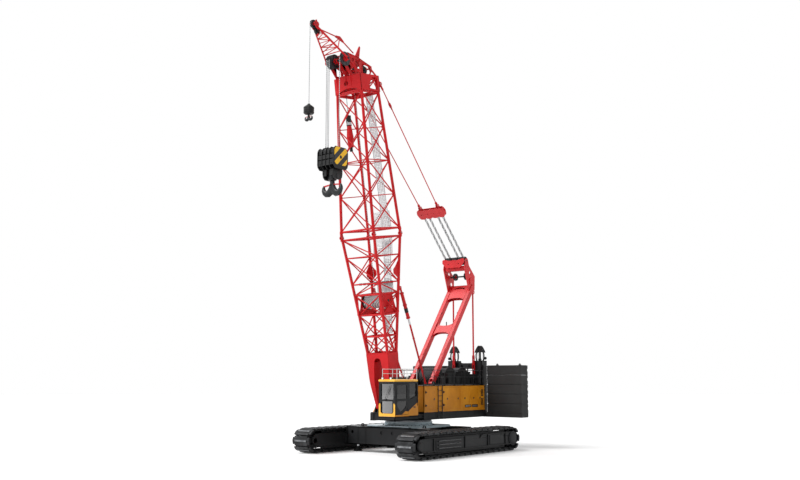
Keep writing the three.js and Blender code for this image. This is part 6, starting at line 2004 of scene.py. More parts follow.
class CRANE_OT_counterweight(bpy.types.Operator):
    """Tray, columns with hoisting heads, and two stacks of cast slabs"""

    bl_idname = "crane.counterweight"
    bl_label = "Counterweight"

    def execute(self, context):
        low, high = LOW["counterweight_carrier"], HIGH["counterweight_carrier"]
        tray_top = LOW["counterweight_stack_left"].z
        work = Work("matt_ballast_enamel")
        # Tray: a cast slab with lightened ends and a lip.
        work.plate(
            [
                (low.x, low.z + 0.03), (low.x + 0.03, low.z), (high.x - 0.03, low.z),
                (high.x, low.z + 0.03), (high.x, tray_top - 0.001), (low.x, tray_top - 0.001)
            ],
            (low.y + 0.01, high.y - 0.01), front_view
        )
        for x in (-3.4, -2.2, -1.0, 1.0, 2.2, 3.4):
            work.slab((x - 0.05, x + 0.05), (low.y, high.y), (low.z + 0.01, tray_top - 0.03))
        work.use("winch_enamel")
        for name, side in SIDES:
            # Hoisting column: four posts, plates with round holes, a ladder of ties.
            x0, x1, y0, y1 = 0.69, 1.31, low.y, low.y + 0.62
            top = 5.37
            for y in ((y0, y0 + 0.05), (y1 - 0.05, y1)):
                outline = [(x0, tray_top - 0.005), (x1, tray_top - 0.005), (x1, top), (x0, top)]
                work.plate(
                    [(side * x, z) for x, z in outline], y, front_view,
                    [(side * 1.0, 3.1, 0.14), (side * 1.0, 3.9, 0.14), (side * 1.0, 4.6, 0.1)]
                )
            for x in (span(x0, x0 + 0.05, side), span(x1 - 0.05, x1, side)):
                work.plate(
                    [(y0, tray_top - 0.005), (y1, tray_top - 0.005), (y1, top), (y0, top)], x,
                    side_view, [(y0 + 0.31, 2.8, 0.13), (y0 + 0.31, 3.6, 0.13), (y0 + 0.31, 4.4, 0.13)]
                )
            work.slab(span(x0, x1, side), (y0, y1), (top - 0.05, top))
            for z in (2.45, 3.35, 4.2, 5.0):
                work.slab(span(x0 - 0.02, x1 + 0.02, side), (y0 + 0.02, y1 - 0.02), (z, z + 0.05))
            work.slab(span(x1, x1 + 0.06, side), (y0 + 0.1, y1 - 0.1), (tray_top, 5.1))
            # Side ball joint and a hose bracket near the top.
            work.turned(
                [(-0.08, 0.02), (-0.06, 0.07), (0.0, 0.1), (0.06, 0.07), (0.08, 0.02)],
                (side * 1.42, y0 + 0.3, 5.52), "X", 20
            )
            work.tube((side * 1.2, y0 + 0.3, 5.37), (side * 1.42, y0 + 0.3, 5.52), 0.035, 10)
            # Hoist head: a cylinder rod and two guides under a pointed chain head.
            cx, cy = side * 1.0, low.y + 0.31
            work.use("forged_hook_steel").tube((cx, cy, top - 0.01), (cx, cy, top + 0.6), 0.07, 20)
            work.use("winch_enamel").turned(
                [
                    (top - 0.0, 0.02), (top - 0.0, 0.1), (top + 0.12, 0.1), (top + 0.14, 0.06),
                    (top + 0.14, 0.02)
                ],
                (cx, cy, 0), "Z", 24
            )
            for dx in (-0.19, 0.19):
                work.path(
                    [
                        (cx + dx * 1.3, cy, top - 0.01), (cx + dx * 1.6, cy, top + 0.2),
                        (cx + dx * 1.55, cy, top + 0.42), (cx + dx * 1.1, cy, top + 0.64)
                    ],
                    0.045, 10
                )
                # Chains over the head's wheels.
                for k in range(9):
                    z = top + 0.05 + 0.065 * k
                    work.tube((cx + dx - 0.03, cy + 0.06, z), (cx + dx + 0.03, cy + 0.06, z), 0.016, 8)
            head = [
                (cx - 0.34, top + 0.5), (cx - 0.1, top + 0.55), (cx + 0.1, top + 0.55),
                (cx + 0.34, top + 0.5), (cx + 0.3, top + 0.64), (cx + 0.2, top + 0.8),
                (cx + 0.13, top + 0.9), (cx + 0.04, top + 0.96), (cx - 0.04, top + 0.96),
                (cx - 0.13, top + 0.9), (cx - 0.2, top + 0.8), (cx - 0.3, top + 0.64)
            ]
            for y in ((cy - 0.13, cy - 0.09), (cy + 0.09, cy + 0.13)):
                work.plate(head, y, front_view, [(cx, top + 0.78, 0.05)])
            for dx, z in ((-0.17, top + 0.66), (0.17, top + 0.66), (0.0, top + 0.84)):
                work.use("forged_hook_steel").turned(
                    [(-0.085, 0.02), (-0.085, 0.08), (0.085, 0.08), (0.085, 0.02)], (cx + dx, cy, z),
                    "Y", 24
                )
                work.use("winch_enamel")
        # Cross beam between the columns, with two rounded windows.
        y0 = low.y + 0.12
        work.plate(
            [(-0.7, 4.85), (0.7, 4.85), (0.7, 5.28), (0.45, 5.22), (-0.45, 5.22), (-0.7, 5.28)],
            (y0, y0 + 0.05), front_view, [(-0.3, 5.03, 0.09), (0.3, 5.03, 0.09)]
        )
        work.plate(
            [(-0.7, 4.85), (0.7, 4.85), (0.7, 5.28), (0.45, 5.22), (-0.45, 5.22), (-0.7, 5.28)],
            (y0 + 0.35, y0 + 0.4), front_view, [(-0.3, 5.03, 0.09), (0.3, 5.03, 0.09)]
        )
        work.slab((-0.7, 0.7), (y0, y0 + 0.4), (4.85, 4.9))
        work.done(
            "counterweight_frame", "superstructure", ["counterweight_carrier"],
            bevel=0.008
        )

        for name, side in SIDES:
            low, high = LOW[f"counterweight_stack_{name}"], HIGH[f"counterweight_stack_{name}"]
            work = Work("matt_ballast_enamel")
            inner, outer = abs(low.x if side > 0 else high.x), abs(high.x if side > 0 else low.x)
            slab = 0.59
            for k in range(5):
                z0 = low.z + k * slab
                z1 = z0 + slab - 0.016
                y0, y1 = low.y, high.y
                # Each slab: chamfered, with a pocket at each end for the lashing.
                outline = [
                    (y0 + 0.02, z0), (y1 - 0.02, z0), (y1, z0 + 0.02), (y1, z0 + 0.2),
                    (y1 - 0.05, z0 + 0.24), (y1 - 0.05, z0 + 0.36), (y1, z0 + 0.4), (y1, z1 - 0.02),
                    (y1 - 0.02, z1), (y0 + 0.02, z1), (y0, z1 - 0.02), (y0, z0 + 0.02)
                ]
                work.use("matt_ballast_enamel").plate(outline, span(inner, outer, side), side_view)
                work.slab(
                    span(inner + 0.03, outer - 0.03, side), (y0 + 0.03, y1 - 0.07),
                    (z1 - 0.001, z1 + 0.017)
                )
                # Locating cleats down the outer end: the toothed dark strip near the rear edge.
                work.use("winch_enamel")
                for h in (0.08, 0.3):
                    work.plate(
                        [
                            (y1 - 0.19, z0 + h), (y1 - 0.12, z0 + h), (y1 - 0.1, z0 + h + 0.1),
                            (y1 - 0.13, z0 + h + 0.2), (y1 - 0.19, z0 + h + 0.16)
                        ],
                        span(outer, outer + 0.012, side), side_view
                    )
                work.slab(
                    span(outer, outer + 0.005, side), (y1 - 0.2, y1 - 0.09), (z0 + 0.01, z1 - 0.01)
                )
                # Lifting eyes cast in the front and rear faces.
                for x in (inner + 0.4, outer - 0.4):
                    work.use("winch_enamel").tube(
                        (side * x, y1 - 0.051, z0 + 0.3), (side * x, y1 - 0.03, z0 + 0.3), 0.05, 16
                    )
                    work.use("forged_hook_steel").path(
                        [
                            (side * x + 0.06 * math.cos(t), y1 - 0.04, z0 + 0.3 + 0.06 * math.sin(t))
                            for t in [math.tau * q / 14 for q in range(14)]
                        ],
                        0.012, 6, closed=True
                    )
            # A pale seam under the top slab.
            z = low.z + 4 * slab
            work.use("brushed_aluminium").slab(
                span(inner + 0.02, outer + 0.003, side), (low.y + 0.02, high.y - 0.24),
                (z - 0.028, z - 0.008)
            )
            work.slab(
                span(inner + 0.02, outer + 0.003, side), (high.y - 0.08, high.y - 0.01),
                (z - 0.028, z - 0.008)
            )
            # Lifting lugs on the top slab.
            for x in (inner + 0.55, outer - 0.3):
                outline = [(side * x - 0.1, high.z - 0.11)] + arc(
                    side * x, high.z - 0.06, 0.06, 180, 0, 10
                ) + [(side * x + 0.1, high.z - 0.11)]
                work.use("winch_enamel").plate(
                    outline, (low.y + 0.34, low.y + 0.4), front_view, [(side * x, high.z - 0.06, 0.025)]
                )
            work.done(
                f"slab_stack_{name}", "superstructure", [f"counterweight_stack_{name}"],
                bevel=0.008
            )
        return {"FINISHED"}


# ---------------------------------------------------------------- A-frame


def sheave(
    work, centre, radius, width, hub, rim_finish="cast_nylon_sheave", hub_finish="red_enamel",
    shaft=0.06
):
    """One grooved rope sheave about X: rim and groove, a web drawn as ribs, and a painted hub."""
    w = width / 2
    work.use(rim_finish).turned(
        [
            (-w, radius - 0.05), (-w, radius - 0.004), (-w * 0.8, radius), (-w * 0.3, radius - 0.045),
            (w * 0.3, radius - 0.045), (w * 0.8, radius), (w, radius - 0.004), (w, radius - 0.05),
            (w * 0.45, radius - 0.07), (w * 0.4, radius * 0.42), (-w * 0.4, radius * 0.42),
            (-w * 0.45, radius - 0.07)
        ],
        centre, "X", 40, closed=True
    )
    for k in range(6):
        t = math.tau * k / 6
        out = Vector((0, math.cos(t), math.sin(t)))
        work.bar(
            Vector(centre) + out * radius * 0.36, Vector(centre) + out * (radius - 0.06), width * 0.9,
            radius * 0.07, across=(1, 0, 0)
        )
    work.use(hub_finish).turned(
        [
            (-w - 0.006, shaft), (-w - 0.006, radius * 0.3), (-w, radius * 0.4), (w, radius * 0.4),
            (w + 0.006, radius * 0.3), (w + 0.006, shaft)
        ],
        centre, "X", 28, closed=True
    )


class CRANE_OT_aframe(bpy.types.Operator):
    """A-frame, its sheave row and the tie rods behind it"""

    bl_idname = "crane.aframe"
    bl_label = "A-frame"

    def execute(self, context):
        foot, knee, head = Vector((0, AXIS_Y + 1.25, 3.95)), Vector(
            (0, AXIS_Y + 5.65, 10.15)
        ), Vector((0, AXIS_Y + 5.0, 11.75))
        run = (knee - foot).normalized()
        over = Vector((0, -run.z, run.y))
        length = (knee - foot).length

        def leg(along, across):
            p = foot + run * (along * length) + over * across
            return (p.y, p.z)

        # The A-frame's plates take the paler red, whose paleness is painted highlight.
        work = Work("red_enamel_painted_paler")
        for name, side in SIDES:
            x = span(0.645, 0.895, side)
            # Box leg: four plates, the side plates standing a little proud of the flanges.
            outline = [leg(0, 0.16)] + [
                (foot.y + a, foot.z + b) for a, b in arc(0, 0, 0.135, 215, 250, 4)
            ] + [leg(0, -0.16), leg(0.06, -0.16), leg(1, -0.16), leg(1, 0.16)]
            outline = [
                leg(0, 0.155), leg(-0.02, 0.1), leg(-0.024, 0), leg(-0.02, -0.1), leg(0, -0.155),
                leg(1, -0.16), leg(1, 0.16)
            ]
            for a, b in ((0.645, 0.665), (0.875, 0.895)):
                work.plate(outline, span(a, b, side), side_view, [(foot.y, foot.z, 0.061)])
            for across in (0.135, -0.135):
                a, b = leg(0.03, across), leg(1, across)
                work.bar((side * 0.77, *a), (side * 0.77, *b), 0.21, 0.02)
            work.turned(
                [(-0.127, 0.062), (-0.127, 0.12), (0.127, 0.12), (0.127, 0.062)],
                (side * 0.77, foot.y, foot.z), "X", 28, closed=True
            )
            # Splice flanges a third of the way up.
            share = 0.3
            for across in (0.165, -0.165):
                a, b = leg(share - 0.03, across), leg(share + 0.03, across)
                work.bar((side * 0.77, *a), (side * 0.77, *b), 0.2, 0.015)
            # Step irons on the inner face.
            work.use("winch_enamel")
            for k in range(3):
                a = leg(0.45 + 0.12 * k, 0.12)
                work.path(
                    [
                        (side * 0.645, a[0], a[1]), (side * 0.6, a[0], a[1] + 0.05),
                        (side * 0.6, a[0] + 0.1, a[1] + 0.12)
                    ],
                    0.012, 8
                )
            work.use("red_enamel_painted_paler")

        def cross(points, depth, holes=()):
            """A plate across the legs, drawn by its place along the leg and across the frame."""
            def place(u, v, w):
                p = foot + run * v + over * w
                return (u, p.y, p.z)
            work.plate(points, depth, place, holes)

        # Lower cross plate with arched edges.
        mid = length * 0.53
        upper = [
            (x, mid + 0.32 + 0.16 * (abs(x) / 0.66) ** 3 * 1.6)
            for x in [-0.66 + 1.32 * k / 16 for k in range(17)]
        ]
        lower = [
            (x, mid - 0.2 - 0.16 * (abs(x) / 0.66) ** 3 * 1.6)
            for x in [0.66 - 1.32 * k / 16 for k in range(17)]
        ]
        for depth in ((0.07, 0.09), (-0.09, -0.07)):
            cross(upper + lower, depth)
        cross(
            [(-0.655, mid - 0.17), (0.655, mid - 0.17), (0.655, mid - 0.15), (-0.655, mid - 0.15)],
            (-0.08, 0.08)
        )
        cross(
            [(-0.655, mid + 0.27), (0.655, mid + 0.27), (0.655, mid + 0.29), (-0.655, mid + 0.29)],
            (-0.08, 0.08)
        )
        work.use("winch_enamel").tube(
            (0.1, foot.y + (run * (mid + 0.3)).y, foot.z + (run * (mid + 0.3)).z + 0.05),
            (0.1, foot.y + (run * (mid + 0.3)).y, foot.z + (run * (mid + 0.3)).z + 0.3), 0.03, 10
        )
        # Upper plate: a wide panel with a curved slot, left bare.
        work.use("red_enamel_painted_paler")
        base, top = length * 0.845, length * 1.0
        slot = [
            (x, top - 0.24 + 0.1 * (1 - (x / 0.42) ** 2))
            for x in [-0.42 + 0.84 * k / 14 for k in range(15)]
        ] + [
            (x, top - 0.34 + 0.07 * (1 - (x / 0.42) ** 2))
            for x in [0.42 - 0.84 * k / 14 for k in range(15)]
        ]
        bottom = [
            (x, base - 0.06 + 0.2 * (1 - (abs(x) / 0.66) ** 4))
            for x in [-0.66 + 1.32 * k / 16 for k in range(17)]
        ]
        for depth in ((0.1, 0.125), (-0.125, -0.1)):
            cross([(0.66, top), (-0.66, top)] + bottom, depth, [slot])
        cross([(-0.655, top - 0.03), (0.655, top - 0.03), (0.655, top), (-0.655, top)], (-0.1, 0.1))
        # Head: cheeks on each side, a trapezoid beam across, and the lower shaft.
        for name, side in SIDES:
            outline = [
                (knee.y - 0.42, knee.z - 0.38), (knee.y + 0.2, knee.z - 0.25),
                (knee.y + 0.24, knee.z + 0.65), (head.y + 0.24, head.z - 0.3)
            ]
            outline += [
                (head.y + a, head.z + b) for a, b in arc(0, 0, 0.15, 20, 160, 10)
            ] + [(head.y - 0.26, head.z - 0.5)]
            work.plate(
                outline, span(0.79, 0.85, side), side_view,
                [
                    (head.y, head.z, 0.0605), (knee.y - 0.05, knee.z + 0.2, 0.12),
                    (knee.y - 0.3, knee.z + 0.85, 0.1)
                ]
            )
            work.slab(
                span(0.7, 0.79, side), (knee.y - 0.2, knee.y + 0.05), (knee.z - 0.2, knee.z + 0.0)
            )
            work.bolts((side * 0.852, knee.y - 0.1, knee.z - 0.1), (side, 0, 0), 0.12, 6, 0.04, 0.02)
        tie_beam = [
            (-0.86, head.z - 0.46), (-0.62, head.z - 0.63), (0.62, head.z - 0.63),
            (0.86, head.z - 0.46), (0.86, head.z - 0.33), (-0.86, head.z - 0.33)
        ]
        for y in ((head.y - 0.15, head.y - 0.12), (head.y + 0.12, head.y + 0.15)):
            work.plate(tie_beam, y, front_view, [(x, head.z - 0.45, 0.05) for x in (-0.45, 0, 0.45)])
        work.slab((-0.79, 0.79), (head.y - 0.14, head.y + 0.14), (head.z - 0.36, head.z - 0.33))
        # Cover in front of the sheaves: its lower edge tapers, its upper edge dips for the ropes.
        cover = [
            (-0.86, head.z - 0.12), (-0.55, head.z - 0.44), (0.55, head.z - 0.44),
            (0.86, head.z - 0.12), (0.86, head.z + 0.08), (0.74, head.z + 0.13), (0.26, head.z + 0.03),
            (0.0, head.z + 0.07), (-0.26, head.z + 0.03), (-0.74, head.z + 0.13), (-0.86, head.z + 0.08)
        ]
        work.plate(
            cover, (head.y - 0.325, head.y - 0.3), front_view,
            [(x, head.z - 0.2, 0.04) for x in (-0.4, 0.4)]
        )
        for x in (-0.245, 0.245):
            outline = [(head.y - 0.13, head.z - 0.34), (head.y + 0.13, head.z - 0.34)] + [
                (head.y + a, head.z + b) for a, b in arc(0, 0, 0.1, 0, 180, 8)
            ]
            work.plate(outline, (x - 0.02, x + 0.02), side_view, [(head.y, head.z, 0.061)])
        # Lower shaft with its two black guide sheaves.
        work.use("forged_hook_steel").tube(
            (-0.8, knee.y - 0.12, knee.z + 0.65), (0.8, knee.y - 0.12, knee.z + 0.65), 0.05, 16
        )
        for x in (-0.42, 0.42):
            sheave(work, (x, knee.y - 0.12, knee.z + 0.65), 0.24, 0.1, 0.1)
        # Lugs for the tie rods, and a small box on the left knee.
        work.use("red_enamel_painted_paler")
        tie_y, tie_z = AXIS_Y + 5.68, knee.z - 0.39
        for name, side in SIDES:
            for a, b in ((0.7247, 0.6847), (0.8153, 0.8553)):
                work.plate(
                    [
                        (tie_y - 0.28, tie_z - 0.06), (tie_y + 0.13, tie_z - 0.11),
                        (tie_y + 0.16, tie_z), (tie_y + 0.13, tie_z + 0.11),
                        (tie_y - 0.13, tie_z + 0.18)
                    ],
                    span(min(a, b), max(a, b), side), side_view, [(tie_y + 0.065, tie_z, 0.0355)]
                )
            work.use("ground_chrome").tube(
                (side * 0.69 - 0.0, tie_y + 0.065, tie_z), (side * 0.85, tie_y + 0.065, tie_z), 0.035,
                16
            )
            work.use("red_enamel_painted_paler")
        work.slab((0.852, 0.893), (knee.y - 0.35, knee.y + 0.02), (knee.z + 0.1, knee.z + 0.5))
        work.done("aframe_weldment", "superstructure", ["a_frame"], bevel=0.006)

        for name, side in SIDES:
            low, high = LOW[f"tie_rod_{name}"], HIGH[f"tie_rod_{name}"]
            y, x = (low.y + high.y) / 2, side * 0.77
            work = Work("red_enamel")
            work.plate(
                [(y - 0.055, tie_z - 0.13), (y + 0.055, tie_z - 0.13)] + [
                    (tie_y + 0.065 + a, tie_z + b) for a, b in arc(0, 0, 0.055, -60, 240, 14)
                ],
                (x - 0.045, x + 0.045), side_view, [(tie_y + 0.065, tie_z, 0.0355)]
            )
            work.tube((x, y, 5.45), (x, y, tie_z - 0.12), 0.052, 16)
            # Connectors: forged forks with pins between the rod, its link and the deck.
            z = 5.5
            for dx in (-0.055, 0.055):
                work.plate(
                    [
                        (y - 0.05, z - 0.2), (y + 0.05, z - 0.2), (y + 0.055, z), (y + 0.05, z + 0.2),
                        (y - 0.05, z + 0.2), (y - 0.055, z)
                    ],
                    (x + dx - 0.015, x + dx + 0.015), side_view
                )
            for dz in (-0.12, 0.12):
                work.use("ground_chrome").tube(
                    (x - 0.085, y, z + dz), (x + 0.085, y, z + dz), 0.022, 12
                )
                work.use("red_enamel")
            for dx in (-0.075, 0.055):
                work.plate(
                    [
                        (y - 0.055, low.z), (y + 0.055, low.z), (y + 0.055, 5.28), (y, 5.35),
                        (y - 0.055, 5.28)
                    ],
                    (x + dx, x + dx + 0.02), side_view
                )
            work.slab((x - 0.06, x + 0.06), (y - 0.04, y + 0.04), (low.z, low.z + 0.4))
            for z in (3.2, 3.9, 4.6):
                work.slab((x - 0.056, x + 0.056), (y - 0.03, y + 0.03), (z, z + 0.05))
            work.slab((x - 0.056, x + 0.056), (y - 0.03, y + 0.03), (5.1, 5.4))
            work.done(
                f"tie_link_{name}", "superstructure", [f"tie_rod_{name}"], bevel=0.003
            )

        low, high = LOW["a_frame_sheaves"], HIGH["a_frame_sheaves"]
        c = (low + high) / 2
        work = Work("forged_hook_steel")
        work.tube((low.x, c.y, c.z), (high.x, c.y, c.z), 0.0595, 20)
        for x0, x1 in ((-0.74, -0.29), (-0.2, 0.2), (0.29, 0.74)):
            count = 4
            for k in range(count):
                x = x0 + (x1 - x0) * (k + 0.5) / count
                sheave(
                    work, (x, c.y, c.z), (high.z - low.z) / 2, (x1 - x0) / count * 0.94, 0.12,
                    hub_finish="winch_enamel"
                )
        work.done("aframe_sheave_row", "a_frame_sheave_row", ["a_frame_sheaves"])
        return {"FINISHED"}


# ---------------------------------------------------------------- boom


def chord_line(station):
    """Half width and half depth of the boom at a station."""
    ends = ((2.95, 0.81, 0.47), (10.0, 1.3, 1.28)) if station < 10.0 else (
        (10.0, 1.3, 1.28), (18.2, 1.01, 0.83)
    )
    t = (station - ends[0][0]) / (ends[1][0] - ends[0][0])
    return ends[0][1] + t * (ends[1][1] - ends[0][1]), ends[0][2] + t * (ends[1][2] - ends[0][2])


CORNERS = ((-1, -1), (1, -1), (1, 1), (-1, 1))


def corner(k, station, inset=0.085):
    """A chord's centre: corner 0 front right, 1 front left, 2 rear left, 3 rear right."""
    x, y = chord_line(station)
    sx, sy = CORNERS[k % 4]
    return on_boom(sx * (x - inset), sy * (y - inset), station)


def boom_plate(work, outline, depth, plane, holes=()):
    """A plate on the boom: "front" draws across and along, "side" behind and along."""
    places = {
        "front": lambda u, v, w: on_boom(u, w, v), "side": lambda u, v, w: on_boom(w, u, v),
        "flat": lambda u, v, w: on_boom(u, v, w)
    }
    work.plate(outline, depth, places[plane], holes)


class CRANE_OT_boom(bpy.types.Operator):
    """Lattice boom: base with legs, tapered top section, gratings and the drum"""

    bl_idname = "crane.boom"
    bl_label = "Boom"

    def execute(self, context):
        sizes = context.scene.crane_boom
        self.base(sizes)
        self.top(sizes)
        self.gratings()
        self.drum()
        self.backstops()
        return {"FINISHED"}

    def members(self, work, sizes, stations, frames, ends):
        """Chords and crossed lacing between stations, and tube frames at the given ones."""
        for k in range(4):
            work.tube(corner(k, ends[0]), corner(k, ends[1]), sizes.chord / 2, 14)
        for low, high, kind in stations:
            for k in range(4):
                a, b, c, d = corner(k, low), corner(k + 1, low), corner(k, high), corner(k + 1, high)
                if kind == "cross":
                    work.tube(a, d, sizes.lacing / 2, 8)
                    work.tube(b, c, sizes.lacing / 2, 8)
                elif (k % 2 == 0) == (kind == "rise"):
                    work.tube(a, d, sizes.lacing / 2, 8)
                else:
                    work.tube(b, c, sizes.lacing / 2, 8)
        for station, size in frames:
            for k in range(4):
                work.tube(corner(k, station), corner(k + 1, station), size / 2, 10)

    def joint_ends(self, work, station, way, rear_lug=True):
        """Forged pin lugs on the chord ends: a block, two ears and the pin's head."""
        for k in range(4):
            x, y = chord_line(station)
            sx, sy = CORNERS[k]
            cx, cy = sx * (x - 0.085), sy * (y - 0.085)
            a, b = sorted((station + way * 0.0002, station + way * 0.16))
            for dx in (-0.085, 0.035) if way < 0 else (-0.025,):
                wide = 0.05
                outline = [
                    (cy - 0.1, a), (cy + 0.1, a), (cy + 0.11, (a + b) / 2), (cy + 0.08, b),
                    (cy - 0.08, b), (cy - 0.11, (a + b) / 2)
                ]
                boom_plate(work, outline, (cx + dx, cx + dx + wide), "side")
            p, q = on_boom(cx, cy, station + way * 0.14), on_boom(cx, cy, station + way * 0.3)
            work.tube(p, q, 0.1, 14, end=0.084)
            if way < 0:
                work.use("ground_chrome").tube(
                    on_boom(cx - 0.115, cy, station - 0.07), on_boom(cx + 0.115, cy, station - 0.07),
                    0.035, 14
                )
                work.use("red_enamel")

    def base(self, sizes):
        work = Work("red_enamel")
        stations = [
            (3.02, 4.1, "cross"), (4.1, 5.35, "cross"), (5.35, 6.52, "cross"), (6.52, 7.15, "rise"),
            (7.15, 8.7, "cross"), (8.7, 9.76, "fall")
        ]
        self.members(
            work, sizes, stations,
            [(4.1, 0.09), (5.35, 0.11), (6.52, 0.11), (7.15, 0.08), (8.7, 0.08), (9.76, 0.11)],
            (3.02, 9.75)
        )
        self.joint_ends(work, 10.0, -1)
        # Gussets on the rear chords, where the backstops and walkways hang.
        for k in (2, 3):
            sx = CORNERS[k][0]
            x, y = chord_line(7.8)
            outline = [
                (y - 0.06, 7.2), (y - 0.5, 7.55), (y - 0.52, 7.85), (y - 0.1, 8.35), (y - 0.04, 8.3)
            ]
            boom_plate(work, outline, span(x - 0.1, x - 0.08, sx), "side")
            outline = [
                (sx * (x - 0.07), 7.25), (sx * (x - 0.5), 7.6), (sx * (x - 0.5), 7.85),
                (sx * (x - 0.07), 8.3)
            ]
            boom_plate(work, outline, (y - 0.095, y - 0.075), "front")
        # Perforated plates beside the chords above the legs.
        for side in (1, -1):
            x, y = chord_line(3.6)
            holes = [(-y + 0.16, 3.12 + 0.19 * n, 0.035) for n in range(6)]
            boom_plate(
                work, [(-y - 0.0 + 0.08, 2.98), (-y + 0.28, 2.98), (-y + 0.2, 4.25), (-y - 0.06, 4.25)],
                span(x - 0.13, x - 0.11, side), "side", holes
            )
            holes = [(y - 0.16, 3.12 + 0.19 * n, 0.035) for n in range(6)]
            boom_plate(
                work, [(y - 0.28, 2.98), (y - 0.08, 2.98), (y + 0.06, 4.25), (y - 0.2, 4.25)],
                span(x - 0.13, x - 0.11, side), "side", holes
            )
        # Legs: tapered plate boxes with an arch between them and a ring of bosses at the foot.
        for side in (1, -1):
            for depth in ((-1, 0), (1, 0)):
                sy = depth[0]
                outline = [
                    (0.46, 0.16), (0.66, 0.16), (0.668, 0.35), (0.81, 2.95), (0.81, 3.12), (0.0, 3.12),
                    (0.0, 2.86)
                ]
                outline += [
                    (0.25 * math.sin(math.radians(a)), 2.61 + 0.25 * math.cos(math.radians(a)))
                    for a in (20, 45, 70, 90)
                ] + [(0.3, 2.3), (0.4, 1.2), (0.455, 0.5)]

                def place(u, v, w, side=side, sy=sy):
                    y = 0.2 + min(v, 1.5) / 1.5 * 0.27 if v < 1.5 else 0.47
                    return on_boom(side * u, sy * (y - w), v)

                cuts = [p for p in outline]
                fine = []
                for a, b in zip(cuts, cuts[1:] + cuts[:1]):
                    steps = max(1, int(abs(b[1] - a[1]) / 0.3))
                    fine += [
                        (a[0] + (b[0] - a[0]) * s / steps, a[1] + (b[1] - a[1]) * s / steps)
                        for s in range(steps)
                    ]
                work.plate(fine, (0.0, 0.018), place)
            # Inner and outer webs.
            for inner in (True, False):
                edge = [(0.46, 0.3), (0.4, 1.2), (0.3, 2.3), (0.25, 2.62)] if inner else [
                    (0.66, 0.3), (0.668, 0.35), (0.81, 2.95), (0.81, 3.12)
                ]
                rings = []
                for u, v in edge:
                    y = 0.2 + min(v, 1.5) / 1.5 * 0.27 if v < 1.5 else 0.47
                    u0, u1 = (u, u + 0.018) if inner else (u - 0.018, u)
                    rings.append(
                        [
                            on_boom(side * u0, -y + 0.002, v), on_boom(side * u1, -y + 0.002, v),
                            on_boom(side * u1, y - 0.002, v), on_boom(side * u0, y - 0.002, v)
                        ]
                    )
                work.loft(rings if side > 0 else [r[::-1] for r in rings])
            eye = on_boom(side * 0.56, 0, 0)
            work.turned(
                [(-0.1, 0.0815), (-0.1, 0.2), (-0.085, 0.21), (0.085, 0.21), (0.1, 0.2), (0.1, 0.0815)],
                eye, "X", 36, closed=True
            )
            boom_plate(
                work, [(-0.19, 0.05), (0.19, 0.05), (0.24, 0.5), (-0.24, 0.5)],
                span(0.462, 0.658, side), "side"
            )
            work.bolts(eye + Vector((side * 0.1, 0, 0)), (side, 0, 0), 0.15, 8, 0.03, 0.012)
        # Top closing band of the legs, with stiffeners.
        for y in (-0.47, 0.45):
            boom_plate(
                work, [(-0.8, 3.1), (0.8, 3.1), (0.8, 3.16), (-0.8, 3.16)], (y, y + 0.02), "front"
            )
        for k in range(4):
            sx, sy = CORNERS[k]
            work.tube(on_boom(sx * 0.725, sy * 0.385, 2.2), corner(k, 3.1), 0.07, 12)
        # Drum cheeks on the side faces, with ribs.
        inner = 0.7947
        for side in (1, -1):
            outline = [(-0.62, 5.66), (0.62, 5.66), (0.5, 6.54), (-0.5, 6.54)]
            outline = [
                (-0.78, 5.4), (0.78, 5.4), (0.6, 5.75), (0.42, 6.4), (0.78, 6.52), (-0.78, 6.52),
                (-0.42, 6.4), (-0.6, 5.75)
            ]
            boom_plate(
                work, outline, span(inner, inner + 0.03, side), "side",
                [(0, 6.1, 0.0715), (-0.33, 5.72, 0.07), (0.33, 5.72, 0.07)]
            )
            work.bolts(on_boom(side * (inner + 0.03), 0, 6.1), (side, 0, 0), 0.14, 10, 0.03, 0.015)
            for y in (-0.78, 0.74):
                boom_plate(
                    work, [(y, 5.36), (y + 0.04, 5.36), (y + 0.04, 6.52), (y, 6.52)],
                    span(inner + 0.0, 0.93, side), "side"
                )
        # Lugs of the backstops.
        for side in (1, -1):
            x = chord_line(6.75)[0] - 0.085
            offset = chord_line(6.75)[1] + 0.1
            for a, b in ((x - 0.0653, x - 0.0353), (x + 0.0353, x + 0.0653)):
                outline = [
                    (offset - 0.16, 6.62), (offset + 0.03, 6.68), (offset + 0.055, 6.75),
                    (offset + 0.03, 6.82), (offset - 0.16, 6.88)
                ]
                boom_plate(work, outline, span(a, b, side), "side", [(offset, 6.75, 0.031)])
            work.use("ground_chrome").tube(
                on_boom(side * (x - 0.075), offset, 6.75), on_boom(side * (x + 0.075), offset, 6.75),
                0.03, 14
            )
            work.use("red_enamel")
        # Inner ties across the frames and rope guides over the drum.
        for station in (4.1, 5.35, 6.52, 8.7):
            work.tube(corner(0, station), corner(2, station), 0.03, 8)
        work.use("forged_hook_steel")
        for offset in (-0.62, 0.72):
            x = chord_line(7.15)[0] - 0.1
            work.tube(on_boom(-x, offset, 7.15), on_boom(x, offset, 7.15), 0.035, 12)
            for n in range(5):
                work.turned(
                    [(-0.08, 0.036), (-0.08, 0.065), (0.08, 0.065), (0.08, 0.036)],
                    on_boom(-0.6 + 0.3 * n, offset, 7.15), "X", 14, closed=True
                )
        work.done("boom_base_lattice", "boom", ["boom_base"])

    def top(self, sizes):
        work = Work("red_enamel")
        steps = [10.24 + (18.14 - 10.24) * k / 4 for k in range(5)]
        stations = [(a, b, "cross") for a, b in zip(steps, steps[1:])]
        self.members(
            work, sizes, stations, [(steps[0], 0.11), (steps[2], 0.06), (steps[-1], 0.1)],
            (10.25, 18.19)
        )
        self.joint_ends(work, 10.0, 1)
